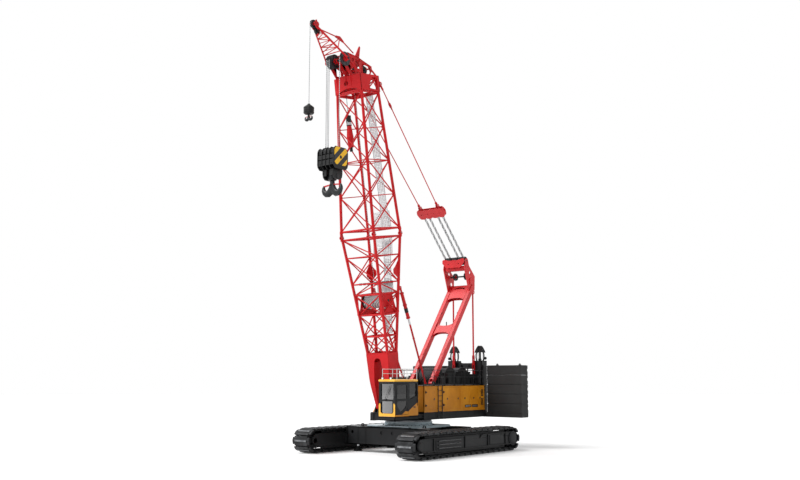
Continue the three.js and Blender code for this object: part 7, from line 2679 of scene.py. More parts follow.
        # Small gussets where the lacing meets the chords.
        for station in steps:
            for k in range(4):
                sx, sy = CORNERS[k]
                x, y = chord_line(station)
                for plane in ("front", "side"):
                    c = (sx * (x - 0.13), station) if plane == "front" else (sy * (y - 0.13), station)
                    s = sx if plane == "front" else sy
                    depth = (
                        sy * (y - 0.095) - 0.008, sy * (y - 0.095) + 0.008
                    ) if plane == "front" else (sx * (x - 0.095) - 0.008, sx * (x - 0.095) + 0.008)
                    boom_plate(
                        work,
                        [
                            (c[0], c[1] - 0.14), (c[0] - s * 0.12, c[1] - 0.03),
                            (c[0] - s * 0.12, c[1] + 0.03), (c[0], c[1] + 0.14)
                        ],
                        depth, plane
                    )
        # Inner ties that keep the section square.
        for station in steps[1:4]:
            work.tube(corner(0, station), corner(2, station), 0.028, 8)
        work.done("boom_top_lattice", "boom", ["boom_top"])

    def gratings(self):
        """Galvanised walkway inside the rear face, with edge angles and cross bars."""
        work = Work("galvanised_mesh")
        runs = [
            (4.2, 9.7, 0.02, 0.5), (10.3, 18.1, 0.02, 0.5), (6.6, 7.15, -0.5, 0.62),
            (8.72, 9.7, -0.75, 0.62), (10.3, 11.3, -0.75, 0.62)
        ]
        for low, high, x0, x1 in runs:
            steps = max(2, int((high - low) / 0.5))
            for k in range(steps):
                a, b = low + (high - low) * k / steps, low + (high - low) * (k + 1) / steps - 0.02
                # Bearing bars lie 30 mm apart on a real grating; drawn 90 mm apart and 45 mm wide.
                for n in range(6):
                    s = a + (b - a) * (n + 0.5) / 6
                    y = chord_line(s)[1] - 0.15
                    work.bar(
                        on_boom(x0, y, s), on_boom(x1, y, s), 0.045, 0.02,
                        across=on_boom(0, y, s + 1) - on_boom(0, y, s)
                    )
                if k % 2 == 0:
                    for x in (x0 + 0.12, (x0 + x1) / 2, x1 - 0.12):
                        y = chord_line(a)[1] - 0.15
                        work.bar(
                            on_boom(x, y, a),
                            on_boom(x, chord_line(b)[1] - 0.15, b + 0.45 * (k + 1 < steps)), 0.02, 0.03
                        )
            for x in (x0, x1):
                work.bar(
                    on_boom(x, chord_line(low)[1] - 0.14, low),
                    on_boom(x, chord_line(high)[1] - 0.14, high), 0.03, 0.06
                )
        work.done("boom_walkway", "boom")

    def drum(self):
        low, high = LOW["boom_drum"], HIGH["boom_drum"]
        c = (low + high) / 2
        half = high.x - 0.05
        work = Work("winch_enamel")
        work.turned(
            [
                (-high.x, 0.01), (-high.x, 0.069), (-half + 0.008, 0.069), (-half + 0.008, 0.44),
                (-half + 0.02, 0.45), (-half + 0.06, 0.45), (-half + 0.068, 0.44), (-half + 0.068, 0.3),
                (half - 0.068, 0.3), (half - 0.068, 0.44), (half - 0.06, 0.45), (half - 0.02, 0.45),
                (half - 0.008, 0.44), (half - 0.008, 0.069), (high.x, 0.069), (high.x, 0.01)
            ],
            c, "X", 48
        )
        # Red cheek covers on the flanges with lightening holes drawn as bosses.
        for side in (1, -1):
            x = side * (half - 0.008)
            work.use("red_enamel").turned(
                sorted(
                    [(x, 0.09), (x, 0.3), (x + side * 0.006, 0.3), (x + side * 0.006, 0.09)],
                    key=lambda q: 0
                ),
                c, "X", 40, closed=True
            )
            work.use("winch_enamel").bolts(c + Vector((x, 0, 0)), (side, 0, 0), 0.38, 12, 0.04, 0.007)
        turns, wound = 26, 0.38
        pitch = (2 * half - 0.14) / turns
        profile = [(-half + 0.069, 0.302)]
        for k in range(turns):
            x = -half + 0.07 + k * pitch
            profile += [
                (x, wound), (x + pitch * 0.25, wound + 0.012), (x + pitch * 0.5, wound + 0.017),
                (x + pitch * 0.75, wound + 0.012)
            ]
        profile += [(half - 0.069, wound), (half - 0.069, 0.302)]
        work.use("galvanised_wire_rope").turned(profile, c, "X", 44)
        work.done("boom_drum_wound", "boom_drum_body", ["boom_drum"])

    def backstops(self):
        for name, side in SIDES:
            x, offset = chord_line(6.75)[0] - 0.085, chord_line(6.75)[1] + 0.1
            top = on_boom(side * x, offset, 6.75)
            foot = Vector((side * 0.77, AXIS_Y + 0.77, 3.696))
            run = foot - top
            at = lambda share: top + run * share
            work = Work("red_enamel")
            work.turned(
                [(-0.035, 0.0305), (-0.035, 0.085), (0.035, 0.085), (0.035, 0.0305)], top, "X", 24,
                closed=True
            )
            work.bar(at(0.012), at(0.06), 0.054, 0.12)
            # Outer sleeve with flanges, then the slender inner tube with rings.
            work.tube(at(0.05), at(0.3), 0.1, 20)
            for share in (0.055, 0.17, 0.295):
                work.tube(at(share - 0.006), at(share + 0.006), 0.122, 20)
            work.tube(at(0.3), at(0.985), 0.056, 16)
            work.use("ground_chrome").tube(at(0.3), at(0.36), 0.06, 16)
            work.use("winch_enamel").tube(at(0.2), at(0.24), 0.112, 20)
            work.use("red_enamel")
            for share in (0.5, 0.72):
                work.tube(at(share - 0.004), at(share + 0.004), 0.072, 16)
            work.tube(at(0.93), at(0.99), 0.056, 16, end=0.085)
            work.use("extruded_rubber").slab(
                (foot.x - 0.09, foot.x + 0.09), (foot.y - 0.09, foot.y + 0.09),
                (foot.z - 0.06, foot.z - 0.02)
            )
            work.use("red_enamel").slab(
                (foot.x - 0.085, foot.x + 0.085), (foot.y - 0.085, foot.y + 0.085),
                (foot.z - 0.02, foot.z + 0.03)
            )
            work.done(f"backstop_{name}_strut", "boom", [f"backstop_{name}"])


# ---------------------------------------------------------------- head and jib

SHEAVE_STATION, SHEAVE_OFFSET = 20.0, -1.4
JIB_LEAN = math.radians(38.9)


class CRANE_OT_head(bpy.types.Operator):
    """Boom head, hoist sheaves, guide sheaves and the jib tip"""

    bl_idname = "crane.head"
    bl_label = "Head and jib"

    def execute(self, context):
        self.head()
        self.sheaves()
        self.jib()
        self.jib_sheave()
        return {"FINISHED"}

    def head(self):
        work = Work("red_enamel")
        hw, hd, low, top = 1.01, 0.83, 18.2003, 19.15
        # Front plate with an arched lower edge, a round hole and two shaped openings above.
        arch = [
            (0.74 * math.sin(math.radians(a)), low + 0.24 * math.cos(math.radians(a)))
            for a in range(-80, 81, 16)
        ]
        front = [(-hw, low)] + arch + [(hw, low), (hw, top), (-hw, top)]
        boom_plate(work, front, (-hd, -hd + 0.03), "front", [(-0.12, 18.75, 0.15)])
        boom_plate(
            work, [(-0.92, low + 0.3), (0.92, low + 0.3), (0.92, low + 0.33), (-0.92, low + 0.33)],
            (-hd + 0.03, -hd + 0.2), "front"
        )
        # Side plates with windows, a rear frame and its rails.
        for side in (1, -1):
            windows = [
                [(-0.2, low + 0.12), (hd - 0.2, low + 0.12), (hd - 0.2, top - 0.14), (0.2, top - 0.14)]
            ]
            boom_plate(
                work, [(-hd, low), (hd, low), (hd, top), (-hd, top)], span(hw - 0.03, hw, side), "side",
                windows
            )
            work.tube(
                on_boom(side * (hw - 0.05), -0.15, low + 0.14),
                on_boom(side * (hw - 0.05), hd - 0.2, top - 0.16), 0.035, 8
            )
            work.tube(
                on_boom(side * (hw - 0.05), 0.2, top - 0.16),
                on_boom(side * (hw - 0.05), hd - 0.2, low + 0.14), 0.035, 8
            )
        window = [(-0.71, low + 0.15), (0.71, low + 0.15), (0.71, low + 0.8), (-0.71, low + 0.8)]
        boom_plate(
            work, [(-hw, low), (hw, low), (hw, top), (-hw, top)], (hd - 0.03, hd), "front", [window]
        )
        work.tube(on_boom(-0.7, hd - 0.04, low + 0.16), on_boom(0.7, hd - 0.04, low + 0.78), 0.035, 8)
        work.tube(on_boom(0.7, hd - 0.04, low + 0.16), on_boom(-0.7, hd - 0.04, low + 0.78), 0.035, 8)
        for k in range(4):
            sx, sy = CORNERS[k]
            work.tube(
                on_boom(sx * (hw - 0.085), sy * (hd - 0.085), low),
                on_boom(sx * (hw - 0.085), sy * (hd - 0.085), top), 0.084, 14
            )
            work.tube(
                on_boom(sx * (hw - 0.085), sy * (hd - 0.085), low),
                on_boom(sx * (hw - 0.085), sy * (hd - 0.085), low + 0.08), 0.11, 14
            )
        for station in (low + 0.04, top - 0.04):
            for k in range(4):
                a, b = CORNERS[k], CORNERS[(k + 1) % 4]
                work.tube(
                    on_boom(a[0] * (hw - 0.085), a[1] * (hd - 0.085), station),
                    on_boom(b[0] * (hw - 0.085), b[1] * (hd - 0.085), station), 0.045, 10
                )
        # Cheek plates that carry the hoist sheaves, lightened by round holes.
        s = SHEAVE_STATION
        cheek = [
            (-hd, low + 0.2), (hd, low + 0.2), (hd, top), (1.13, s - 0.37), (1.15, s - 0.3),
            (1.13, s - 0.14), (0.56, s + 0.06), (0.2, s + 0.16), (-0.16, s + 0.33), (-0.9, s + 0.48),
            (-1.02, s + 0.44)
        ]
        cheek += [
            (SHEAVE_OFFSET + a, s + b) for a, b in arc(0, 0, 0.11, 60, 250, 12)
        ] + [(-hd - 0.05, top)]
        holes = [
            [(-0.78, 19.3), (-0.42, 19.3), (-0.42, 19.62), (-0.78, 19.75)],
            [(-0.3, 19.62), (0.02, 19.62), (-0.02, 20.05), (-0.3, 20.2)],
            [(-0.2, 19.28), (0.16, 19.28), (0.16, 19.48), (-0.2, 19.48)],
            [(0.3, 19.26), (0.78, 19.26), (0.95, 19.52), (0.8, 19.84), (0.3, 19.94)],
            (-0.85, 20.12, 0.15), (-0.5, 20.08, 0.12), (-0.2, 18.85, 0.15), (0.35, 18.85, 0.15),
            (SHEAVE_OFFSET, s, 0.0715)
        ]
        for a, b in ((-0.84, -0.77), (-0.13, -0.07), (0.24, 0.31)):
            boom_plate(work, cheek, (a + 0.02, b - 0.02), "side", holes)
            boom_plate(
                work, [(SHEAVE_OFFSET + u, s + v) for u, v in arc(0, 0, 0.13, 0, 345, 23)], (a, b),
                "side", [(SHEAVE_OFFSET, s, 0.0715)]
            )
            # A flange along the upper edge.
            for p, q in (
                (( -0.98, s + 0.45), (-0.16, s + 0.32)), ((-0.16, s + 0.32), (0.56, s + 0.05)),
                ((0.56, s + 0.05), (1.12, s - 0.15))
            ):
                m = (a + b) / 2
                work.bar(on_boom(m, p[0], p[1]), on_boom(m, q[0], q[1]), 0.09, 0.02)
        for offset, rise in ((-0.9, 0.38), (0.5, -0.06), (1.04, -0.25), (-0.5, -0.75), (0.5, -0.75)):
            work.tube(on_boom(-0.835, offset, s + rise), on_boom(0.305, offset, s + rise), 0.05, 14)
        # Guide sheaves behind, for the ropes that come up inside the boom.
        for x in (-0.55, 0.09):
            sheave(work, on_boom(x, 0.55, s - 0.38), 0.27, 0.12, 0.1, hub_finish="winch_enamel")
        work.use("forged_hook_steel").tube(
            on_boom(-0.79, 0.55, s - 0.38), on_boom(0.29, 0.55, s - 0.38), 0.05, 14
        )
        # Corner struts from the box up to the cheeks.
        work.use("red_enamel")
        work.tube(on_boom(0.9, -0.7, top), on_boom(0.3, -0.95, s + 0.1), 0.055, 10)
        work.tube(on_boom(0.9, 0.7, top), on_boom(0.3, 0.95, s - 0.25), 0.055, 10)
        work.tube(on_boom(-0.9, 0.7, top), on_boom(-0.8, 0.95, s - 0.25), 0.055, 10)
        work.tube(on_boom(0.9, -0.7, top), on_boom(0.3, 0.1, s + 0.15), 0.04, 10)
        # Rear corner plates with the pendant lugs.
        for side in (1, -1):
            boom_plate(
                work,
                [
                    (0.5, top - 0.02), (hd, top - 0.02), (1.06, 18.86), (1.06, 18.54), (0.77, 18.5),
                    (hd, 18.6), (hd - 0.05, top - 0.2)
                ][:5],
                span(0.81, 0.8597, side), "side", [(1.0, 18.7, 0.041)]
            )
            outline = [(0.77, 18.54)] + [
                (1.0 + a, 18.7 + b) for a, b in arc(0, 0, 0.1, -70, 70, 10)
            ] + [(0.77, 18.86)]
            boom_plate(work, outline, span(0.9403, 0.985, side), "side", [(1.0, 18.7, 0.041)])
            work.use("ground_chrome").tube(
                on_boom(side * 0.8, 1.0, 18.7), on_boom(side * 0.995, 1.0, 18.7), 0.04, 16
            )
            work.use("red_enamel")
        # Spike with its lamp.
        boom_plate(
            work,
            [
                (-0.3, s + 0.25), (0.42, s + 0.06), (0.7, s + 1.03), (0.66, s + 1.1), (0.58, s + 1.06),
                (0.2, s + 0.5)
            ],
            (-0.125, -0.075), "side", [(0.25, s + 0.35, 0.07)]
        )
        work.use("polycarbonate_lens").tube(
            on_boom(-0.1, 0.64, s + 1.08), on_boom(-0.1, 0.645, s + 1.125), 0.025, 12
        )
        work.use("winch_enamel").turned(
            [(-0.03, 0.01), (-0.03, 0.035), (0.0, 0.035), (0.0, 0.01)], on_boom(-0.1, 0.635, s + 1.075),
            "Z", 14
        )
        # Rope drop and its weight, hanging inside the front face.
        hang = lambda station: on_boom(-0.42, -0.55, station)
        work.use("extruded_rubber").tube(hang(16.9), hang(low + 0.3), 0.014, 8)
        work.use("winch_enamel").tube(hang(16.35), hang(16.95), 0.15, 20)
        work.use("ground_chrome").tube(hang(16.4), hang(16.55), 0.153, 20)
        work.use("red_enamel").tube(hang(15.7), hang(16.35), 0.2, 20, end=0.13)
        work.tube(hang(15.1), hang(15.7), 0.16, 20, end=0.2)
        work.use("winch_enamel").tube(hang(14.85), hang(15.12), 0.09, 16)
        work.done("boom_head_weldment", "boom", ["boom_head"], bevel=0.004)

    def sheaves(self):
        low, high = LOW["head_sheaves"], HIGH["head_sheaves"]
        c = (low + high) / 2
        radius = (high.z - low.z) / 2
        work = Work("forged_hook_steel")
        work.tube((low.x, c.y, c.z), (high.x, c.y, c.z), 0.0695, 24)
        for x0, x1, count in ((-0.66, -0.25, 4), (0.42, 0.5, 1)):
            for k in range(count):
                x = x0 + (x1 - x0) * (k + 0.5) / count
                sheave(work, (x, c.y, c.z), radius, (x1 - x0) / count * 0.96, 0.12, shaft=0.0695)
        # Red end caps on the shaft.
        for x in (-0.72, 0.56):
            work.use("red_enamel").turned(
                [(-0.04, 0.0695), (-0.04, 0.13), (0.0, 0.15), (0.04, 0.13), (0.04, 0.0695)],
                (x, c.y, c.z), "X", 24, closed=True
            )
        work.done("hoist_sheave_row", "head_sheave_row", ["head_sheaves"])

    def jib(self):
        """A flat V of two chords with crosses and diagonals, a knee of posts and stays over it."""
        root = on_boom(0, SHEAVE_OFFSET, SHEAVE_STATION)
        way, over = Vector(
            (0, -math.cos(JIB_LEAN), math.sin(JIB_LEAN))
        ), Vector((0, math.sin(JIB_LEAN), math.cos(JIB_LEAN)))
        reach, length, mid = 2.309, 2.539, -0.13
        roots = (-0.94, 0.68)

        def side_x(k, d):
            end = mid + (0.15 if k else -0.15)
            return roots[k] + (end - roots[k]) * d / reach

        def at(k, d, up=0.0):
            return Vector((side_x(k, d), root.y, root.z)) + way * d + over * up

        def on_jib(x, d, up=0.0):
            return Vector((x, root.y, root.z)) + way * d + over * up

        work = Work("red_enamel")
        for k, radius in ((0, 0.045), (1, 0.058)):
            work.tube(at(k, 0.1), at(k, reach), radius, 12)
            c = Vector((roots[k], root.y, root.z))
            work.turned(
                [
                    (-0.04, 0.0715), (-0.04, 0.11), (-0.03, 0.12), (0.03, 0.12), (0.04, 0.11),
                    (0.04, 0.0715)
                ],
                c, "X", 28, closed=True
            )
            work.tube(at(k, 0.1), at(k, 0.3), 0.05, 12)
            work.tube(at(k, 0.75), on_jib(mid, 0.75, 1.21), 0.03, 10)
            # Tip cheeks: rounded plates with a hole, each side of the aux sheave.
            x = side_x(k, reach)
            outline = [(reach - 0.12, -0.08), (reach, -0.11), (length + 0.0, -0.11)] + [
                (length + 0.02 + a, b) for a, b in arc(0, 0, 0.1, -80, 80, 10)
            ] + [(reach, 0.09), (reach - 0.12, 0.07)]
            work.plate(
                outline, (x - 0.022, x + 0.022), lambda u, v, w: on_jib(w, u, v),
                [(length, 0.0, 0.0415), (length - 0.17, 0.0, 0.035)]
            )
        crosses = [0.54 + (reach - 0.18 - 0.54) * n / 3 for n in range(4)]
        fine = [0.54 + (reach - 0.18 - 0.54) * n / 6 for n in range(7)]
        for d in fine:
            work.tube(at(0, d), at(1, d), 0.03 if d in crosses else 0.02, 8)
        for n in range(6):
            work.tube(at(n % 2, fine[n]), at((n + 1) % 2, fine[n + 1]), 0.024, 8)
        knee = on_jib(mid, 0.75, 1.21)
        head_end = on_boom(-0.1553, 0.11, SHEAVE_STATION + 0.64)
        work.tube(on_jib(mid, reach - 0.06, 0.06), knee, 0.036, 10)
        work.tube(knee, head_end, 0.036, 10)
        work.tube(at(0, reach - 0.06, 0.06), at(1, reach - 0.06, 0.06), 0.025, 10)
        # Links on the stays: rounded plates with pins.
        for p, q in ((knee, on_jib(mid, reach - 0.06, 0.06)), (knee, head_end)):
            run = (q - p).normalized()
            side = run.cross(Vector((1, 0, 0)))
            outline = [
                (a, b) for a, b in arc(0.02, 0, 0.1, 90, 270, 10)
            ] + [(0.34, -0.05), (0.38, 0.0), (0.34, 0.05)]
            for dx in (-0.035, 0.02):
                work.plate(
                    outline, (dx, dx + 0.015), lambda u, v, w, p=p, run=run,
                    side=side: p + run * u + side * v + Vector((w, 0, 0)),
                    [(0.02, 0.0, 0.02), (0.32, 0.0, 0.012)]
                )
        work.use("ground_chrome").tube(
            knee - Vector((0.06, 0, 0)), knee + Vector((0.06, 0, 0)), 0.02, 12
        )
        # A pin box under the tip, red, with the load sensor that hangs from it.
        work.use("red_enamel").tube(
            on_jib(mid - 0.12, length + 0.06, -0.02), on_jib(mid - 0.22, length + 0.06, -0.02), 0.035,
            10
        )
        work.use("extruded_rubber").tube(
            on_jib(mid + 0.12, length - 0.34, -0.03),
            on_jib(mid + 0.12, length - 0.34, -0.03) - Vector((0, 0, 0.28)), 0.008, 6
        )
        work.use("red_enamel").turned(
            [(-0.44, 0.01), (-0.42, 0.035), (-0.3, 0.045), (-0.26, 0.02), (-0.26, 0.01)],
            on_jib(mid + 0.12, length - 0.34, -0.03), "Z", 14
        )
        # The jib's second, lower sheave, between its cheeks.
        sheave(
            work, on_jib(mid, length - 0.42, -0.06), 0.21, 0.1, 0.05, hub_finish="winch_enamel",
            shaft=0.02
        )
        work.use("forged_hook_steel").tube(
            at(0, length - 0.42, -0.06), at(1, length - 0.42, -0.06), 0.02, 12
        )
        # Head plate over the tip sheave, with a lug at each end.
        for dx in (-0.13, 0.1):
            work.use("red_enamel").plate(
                [
                    (length - 0.32, 0.02), (length + 0.02, 0.02), (length + 0.12, 0.22),
                    (length + 0.08, 0.3), (length - 0.02, 0.26), (length - 0.14, 0.3),
                    (length - 0.24, 0.24)
                ],
                (mid + dx, mid + dx + 0.03), lambda u, v, w: on_jib(w, u, v)
            )
        work.tube(
            on_jib(mid - 0.14, length + 0.04, 0.25), on_jib(mid + 0.14, length + 0.04, 0.25), 0.03, 10
        )
        work.done("jib_tip_frame", "boom", ["jib_tip"], bevel=0.002)

    def jib_sheave(self):
        low, high = LOW["aux_sheave"], HIGH["aux_sheave"]
        c = (low + high) / 2
        work = Work("forged_hook_steel")
        work.tube((low.x, c.y, c.z), (high.x, c.y, c.z), 0.0395, 20)
        sheave(work, c, (high.z - low.z) / 2, 0.118, 0.08, shaft=0.0395)
        work.done("aux_rope_sheave", "aux_sheave_body", ["aux_sheave"])


# ---------------------------------------------------------------- hook blocks and rigging


def rope_run(work, a, b, radius, strands):
    """A laid rope from a to b: a fluted tube whose flutes turn about it."""
    a, b = Vector(a), Vector(b)
    along = (b - a).normalized()
    u = along.orthogonal().normalized()
    v = along.cross(u)
    length = (b - a).length
    steps = max(2, min(70, int(length / 0.12)))
    count = strands * 2
    rings = []
    for s in range(steps + 1):
        p, twist = a.lerp(b, s / steps), s / steps * length * 5.5
        ring = []
        for k in range(count):
            r = radius * (1.0 if k % 2 else 0.86)
            t = math.tau * k / count + twist
            ring.append(p + (u * math.cos(t) + v * math.sin(t)) * r)
        rings.append(ring)
    work.loft(rings)


class CRANE_OT_blocks(bpy.types.Operator):
    """Main and auxiliary hook blocks with their hooks and falls"""

    bl_idname = "crane.blocks"
    bl_label = "Hook blocks"

    def execute(self, context):
        sizes = context.scene.crane_rigging
        self.main_falls(sizes)
        self.main_block()
        self.hook("main_hook", "main_hook_body", 0.19, 0.11, 0.74, 0.0)
        self.aux(sizes)
        self.hook(
            "aux_hook", "aux_hook_body", 0.09, 0.05, 0.29, (LOW["aux_hook"].x + HIGH["aux_hook"].x) / 2
        )
        return {"FINISHED"}

    def main_falls(self, sizes):
        low, high = LOW["main_falls"], HIGH["main_falls"]
        y = (low.y + high.y) / 2
        radius = sizes.rope / 2
        work = Work("galvanised_wire_rope")
        for x in (-0.54, -0.44, -0.34, 0.46):
            rope_run(work, (x, y, low.z + 0.02), (x, y, high.z), radius, sizes.strands)
        work.path(
            [(-0.54, y, low.z + 0.02), (0.0, y, low.z + radius), (0.46, y, low.z + 0.02)], radius, 10
        )
        work.done("hoist_falls", "main_block", ["main_falls"])

    def main_block(self):
        """Side plates with stripes, sheaves between them, weights, rope guards and a crosshead."""
        low, high = LOW["main_hook_block"], HIGH["main_hook_block"]
        cy, top = (low.y + high.y) / 2, high.z
        base = top - 1.25
        depth, half = (high.y - low.y) / 2, high.x
        outline = [
            (cy - depth + 0.18, base), (cy + depth - 0.18, base), (cy + depth - 0.04, base + 0.14),
            (cy + depth, base + 0.28), (cy + depth, top - 0.28), (cy + depth - 0.05, top - 0.12),
            (cy + depth - 0.18, top), (cy - depth + 0.18, top), (cy - depth + 0.05, top - 0.12),
            (cy - depth, top - 0.28), (cy - depth, base + 0.28), (cy - depth + 0.04, base + 0.14)
        ]
        work = Work("winch_enamel")
        for x in (-half + 0.02, -0.3, -0.02, 0.26, half - 0.05):
            work.plate(outline, (x, x + 0.03), side_view, [(cy, base + 0.68, 0.07)])
        for side in (1, -1):
            # Cheek weights and the striped cover outside them.
            inner = [(cy + (y - cy) * 0.86, base + 0.62 + (z - base - 0.62) * 0.86) for y, z in outline]
            work.use("winch_enamel").plate(inner, span(half - 0.14, half - 0.03, side), side_view)
            work.plate(
                outline, span(half - 0.022, half - 0.012, side), side_view, [(cy, base + 0.68, 0.1)]
            )
            striped = [
                (cy + (y - cy) * 0.86, base + 0.72 + (z - base - 0.62) * 0.8) for y, z in outline
            ]
            work.use("hazard_stripe_enamel").plate(
                striped, span(half - 0.013, half - 0.003, side), side_view, [(cy, base + 0.68, 0.1)]
            )
            work.use("forged_hook_steel").turned(
                [(0, 0.01), (0, 0.09), (side * 0.004, 0.09), (side * 0.004, 0.01)],
                (side * (half - 0.005), cy, base + 0.68), "X", 24
            )
        for x in (-0.54, -0.44, -0.34, 0.1, 0.36, 0.46):
            sheave(work, (x, cy, base + 0.68), 0.5, 0.075, 0.12, shaft=0.06)
        work.use("forged_hook_steel").tube(
            (-half + 0.004, cy, base + 0.68), (half - 0.004, cy, base + 0.68), 0.06, 20
        )
        # Front and rear guards: curved plates over the sheaves, in black.
        work.use("winch_enamel")
        for side in (1, -1):
            for z0, z1, pull in (
                (base + 0.2, base + 0.5, 0.0), (base + 0.56, base + 0.8, 0.0),
                (base + 0.86, base + 1.08, 0.04)
            ):
                y = cy + side * (depth - 0.03 - pull)
                work.slab((-half + 0.05, half - 0.05), sorted((y, y - side * 0.025)), (z0, z1))
            for x in (-0.42, 0.42):
                work.tube(
                    (x, cy + side * (depth - 0.03), base + 0.3),
                    (x, cy + side * (depth - 0.005), base + 0.3), 0.03, 10
                )
        # Dead-end lugs, cable clamps and tie bars stand up along the block's top.
        for x, y, tall in (
            (-0.58, -0.3, 0.05), (-0.2, -0.34, 0.09), (-0.2, 0.1, 0.06), (0.2, -0.3, 0.07),
            (0.2, 0.3, 0.1), (0.56, -0.2, 0.07), (0.56, 0.24, 0.05)
        ):
            work.plate(
                [
                    (cy + y - 0.09, top - 0.12), (cy + y + 0.09, top - 0.12),
                    (cy + y + 0.05, top + tall - 0.06), (cy + y - 0.05, top + tall - 0.06)
                ],
                (x - 0.025, x + 0.025), side_view
            )
        for y in (-0.46, 0.46):
            work.tube((-half + 0.03, cy + y, top - 0.14), (half - 0.03, cy + y, top - 0.14), 0.035, 12)
        # Rope socket and its wedge, off centre on top.
        work.use("forged_hook_steel").plate(
            [
                (cy + 0.18, top - 0.2), (cy + 0.42, top - 0.2), (cy + 0.38, top - 0.02),
                (cy + 0.22, top - 0.02)
            ],
            (-0.12, 0.12), side_view, [(cy + 0.3, top - 0.1, 0.04)]
        )
        # Crosshead: a trunnion between two hangers.
        work.use("winch_enamel")
        for side in (1, -1):
            hang = [
                (cy - 0.2, low.z + 0.02), (cy + 0.2, low.z + 0.02), (cy + 0.34, low.z + 0.14),
                (cy + 0.39, low.z + 0.34), (cy + 0.39, base + 0.02), (cy - 0.39, base + 0.02),
                (cy - 0.39, low.z + 0.34), (cy - 0.34, low.z + 0.14)
            ]
            work.plate(hang, span(0.32, 0.4, side), side_view, [(cy, low.z + 0.22, 0.1)])
            work.slab(span(0.12, 0.34, side), (cy - 0.37, cy - 0.33), (low.z + 0.2, base + 0.01))
            work.slab(span(0.12, 0.34, side), (cy + 0.33, cy + 0.37), (low.z + 0.2, base + 0.01))
            work.use("forged_hook_steel").turned(
                [(0, 0.01), (0, 0.13), (side * 0.05, 0.13), (side * 0.05, 0.01)][:: side],
                (side * 0.37, cy, low.z + 0.22), "X", 24
            )
            work.use("winch_enamel")
        work.use("forged_hook_steel").turned(
            [
                (low.z, 0.111), (low.z, 0.21), (low.z + 0.03, 0.24), (low.z + 0.4, 0.24),
                (low.z + 0.43, 0.2), (low.z + 0.43, 0.111)
            ],
            (0, cy, 0), "Z", 36, closed=True
        )
        work.tube((-0.34, cy, low.z + 0.22), (-0.2, cy, low.z + 0.22), 0.095, 20)
        work.tube((0.2, cy, low.z + 0.22), (0.34, cy, low.z + 0.22), 0.095, 20)
        work.use("winch_enamel").turned(
            [
                (low.z + 0.43, 0.03), (low.z + 0.43, 0.17), (low.z + 0.52, 0.17), (low.z + 0.54, 0.14),
                (low.z + 0.54, 0.03)
            ],
            (0, cy, 0), "Z", 8
        )
        work.done("main_block_assembly", "main_block", ["main_hook_block"], bevel=0.005)

    def hook(self, node, body, thick, shank, size, x):
        """A forged double hook: round-edged horns that thin to their tips, safety latches and a shank."""
        low, high = LOW[node], HIGH[node]
        y, top = (low.y + high.y) / 2, high.z - {"main_hook": 0.25, "aux_hook": 0.12}[node]
        work = Work("forged_hook_steel")
        for side in (1, -1):
            # The horn's centre line with its half width, from the shank round the bowl to the tip.
            line = [
                (0.0, -0.02, 0.15), (0.02, -0.3, 0.17), (0.08, -0.62, 0.25), (0.2, -0.86, 0.29),
                (0.4, -1.0, 0.27), (0.6, -1.0, 0.235), (0.77, -0.88, 0.2), (0.87, -0.7, 0.165),
                (0.89, -0.54, 0.125), (0.86, -0.4, 0.08), (0.83, -0.32, 0.035)
            ]
            line = [(u, v * 0.97, w) for u, v, w in line]
            points = [Vector((u, v, 0)) for u, v, w in line]
            rings = []
            for k, (u, v, w) in enumerate(line):
                a, b = points[max(k - 1, 0)], points[min(k + 1, len(points) - 1)]
                along = (b - a).normalized()
                normal = Vector((along.y, -along.x, 0))
                half_t = thick * 0.62 * (1.0 if k < 7 else 1.0 - 0.16 * (k - 6))
                ring = []
                for n in range(14):
                    t = math.tau * n / 14
                    c, s = math.cos(t), math.sin(t)
                    c, s = math.copysign(abs(c) ** 0.7, c), math.copysign(abs(s) ** 0.7, s)
                    q = points[k] + normal * (c * w)
                    ring.append(Vector((x + side * q.x * size, y + s * half_t, top + q.y * size)))
                rings.append(ring if side > 0 else ring[::-1])
            work.loft(rings)
            # Safety latch across the mouth.
            tip = Vector((x + side * 0.8 * size, y, top - 0.36 * size))
            pin = Vector((x + side * 0.17 * size, y, top - 0.3 * size))
            work.use("red_enamel").bar(pin, tip, thick * 0.5, 0.06 * size / 0.74, across=(0, 1, 0))
            work.use("forged_hook_steel").tube(
                pin - Vector((0, thick * 0.45, 0)), pin + Vector((0, thick * 0.45, 0)),
                0.025 * size / 0.74, 12
            )
        work.turned(
            [
                (top - 0.25 * size, 0.01), (top - 0.25 * size, shank * 1.25),
                (top - 0.1 * size, shank * 1.1), (top - 0.02, shank), (high.z, shank), (high.z, 0.01)
            ],
            (x, y, 0), "Z", 28
        )
        work.done(f"{node}_forging", body, [node], smooth=50.0)

    def aux(self, sizes):
        low, high = LOW["aux_fall"], HIGH["aux_fall"]
        x, y = (low.x + high.x) / 2, (low.y + high.y) / 2
        work = Work("galvanised_wire_rope")
        rope_run(work, (x, y, low.z + 0.0), (x, y, high.z), sizes.rope / 2, sizes.strands)
        work.done("aux_fall_rope", "aux_block", ["aux_fall"])
        low, high = LOW["aux_hook_block"], HIGH["aux_hook_block"]
        z0, z1 = low.z, high.z
        work = Work("winch_enamel")
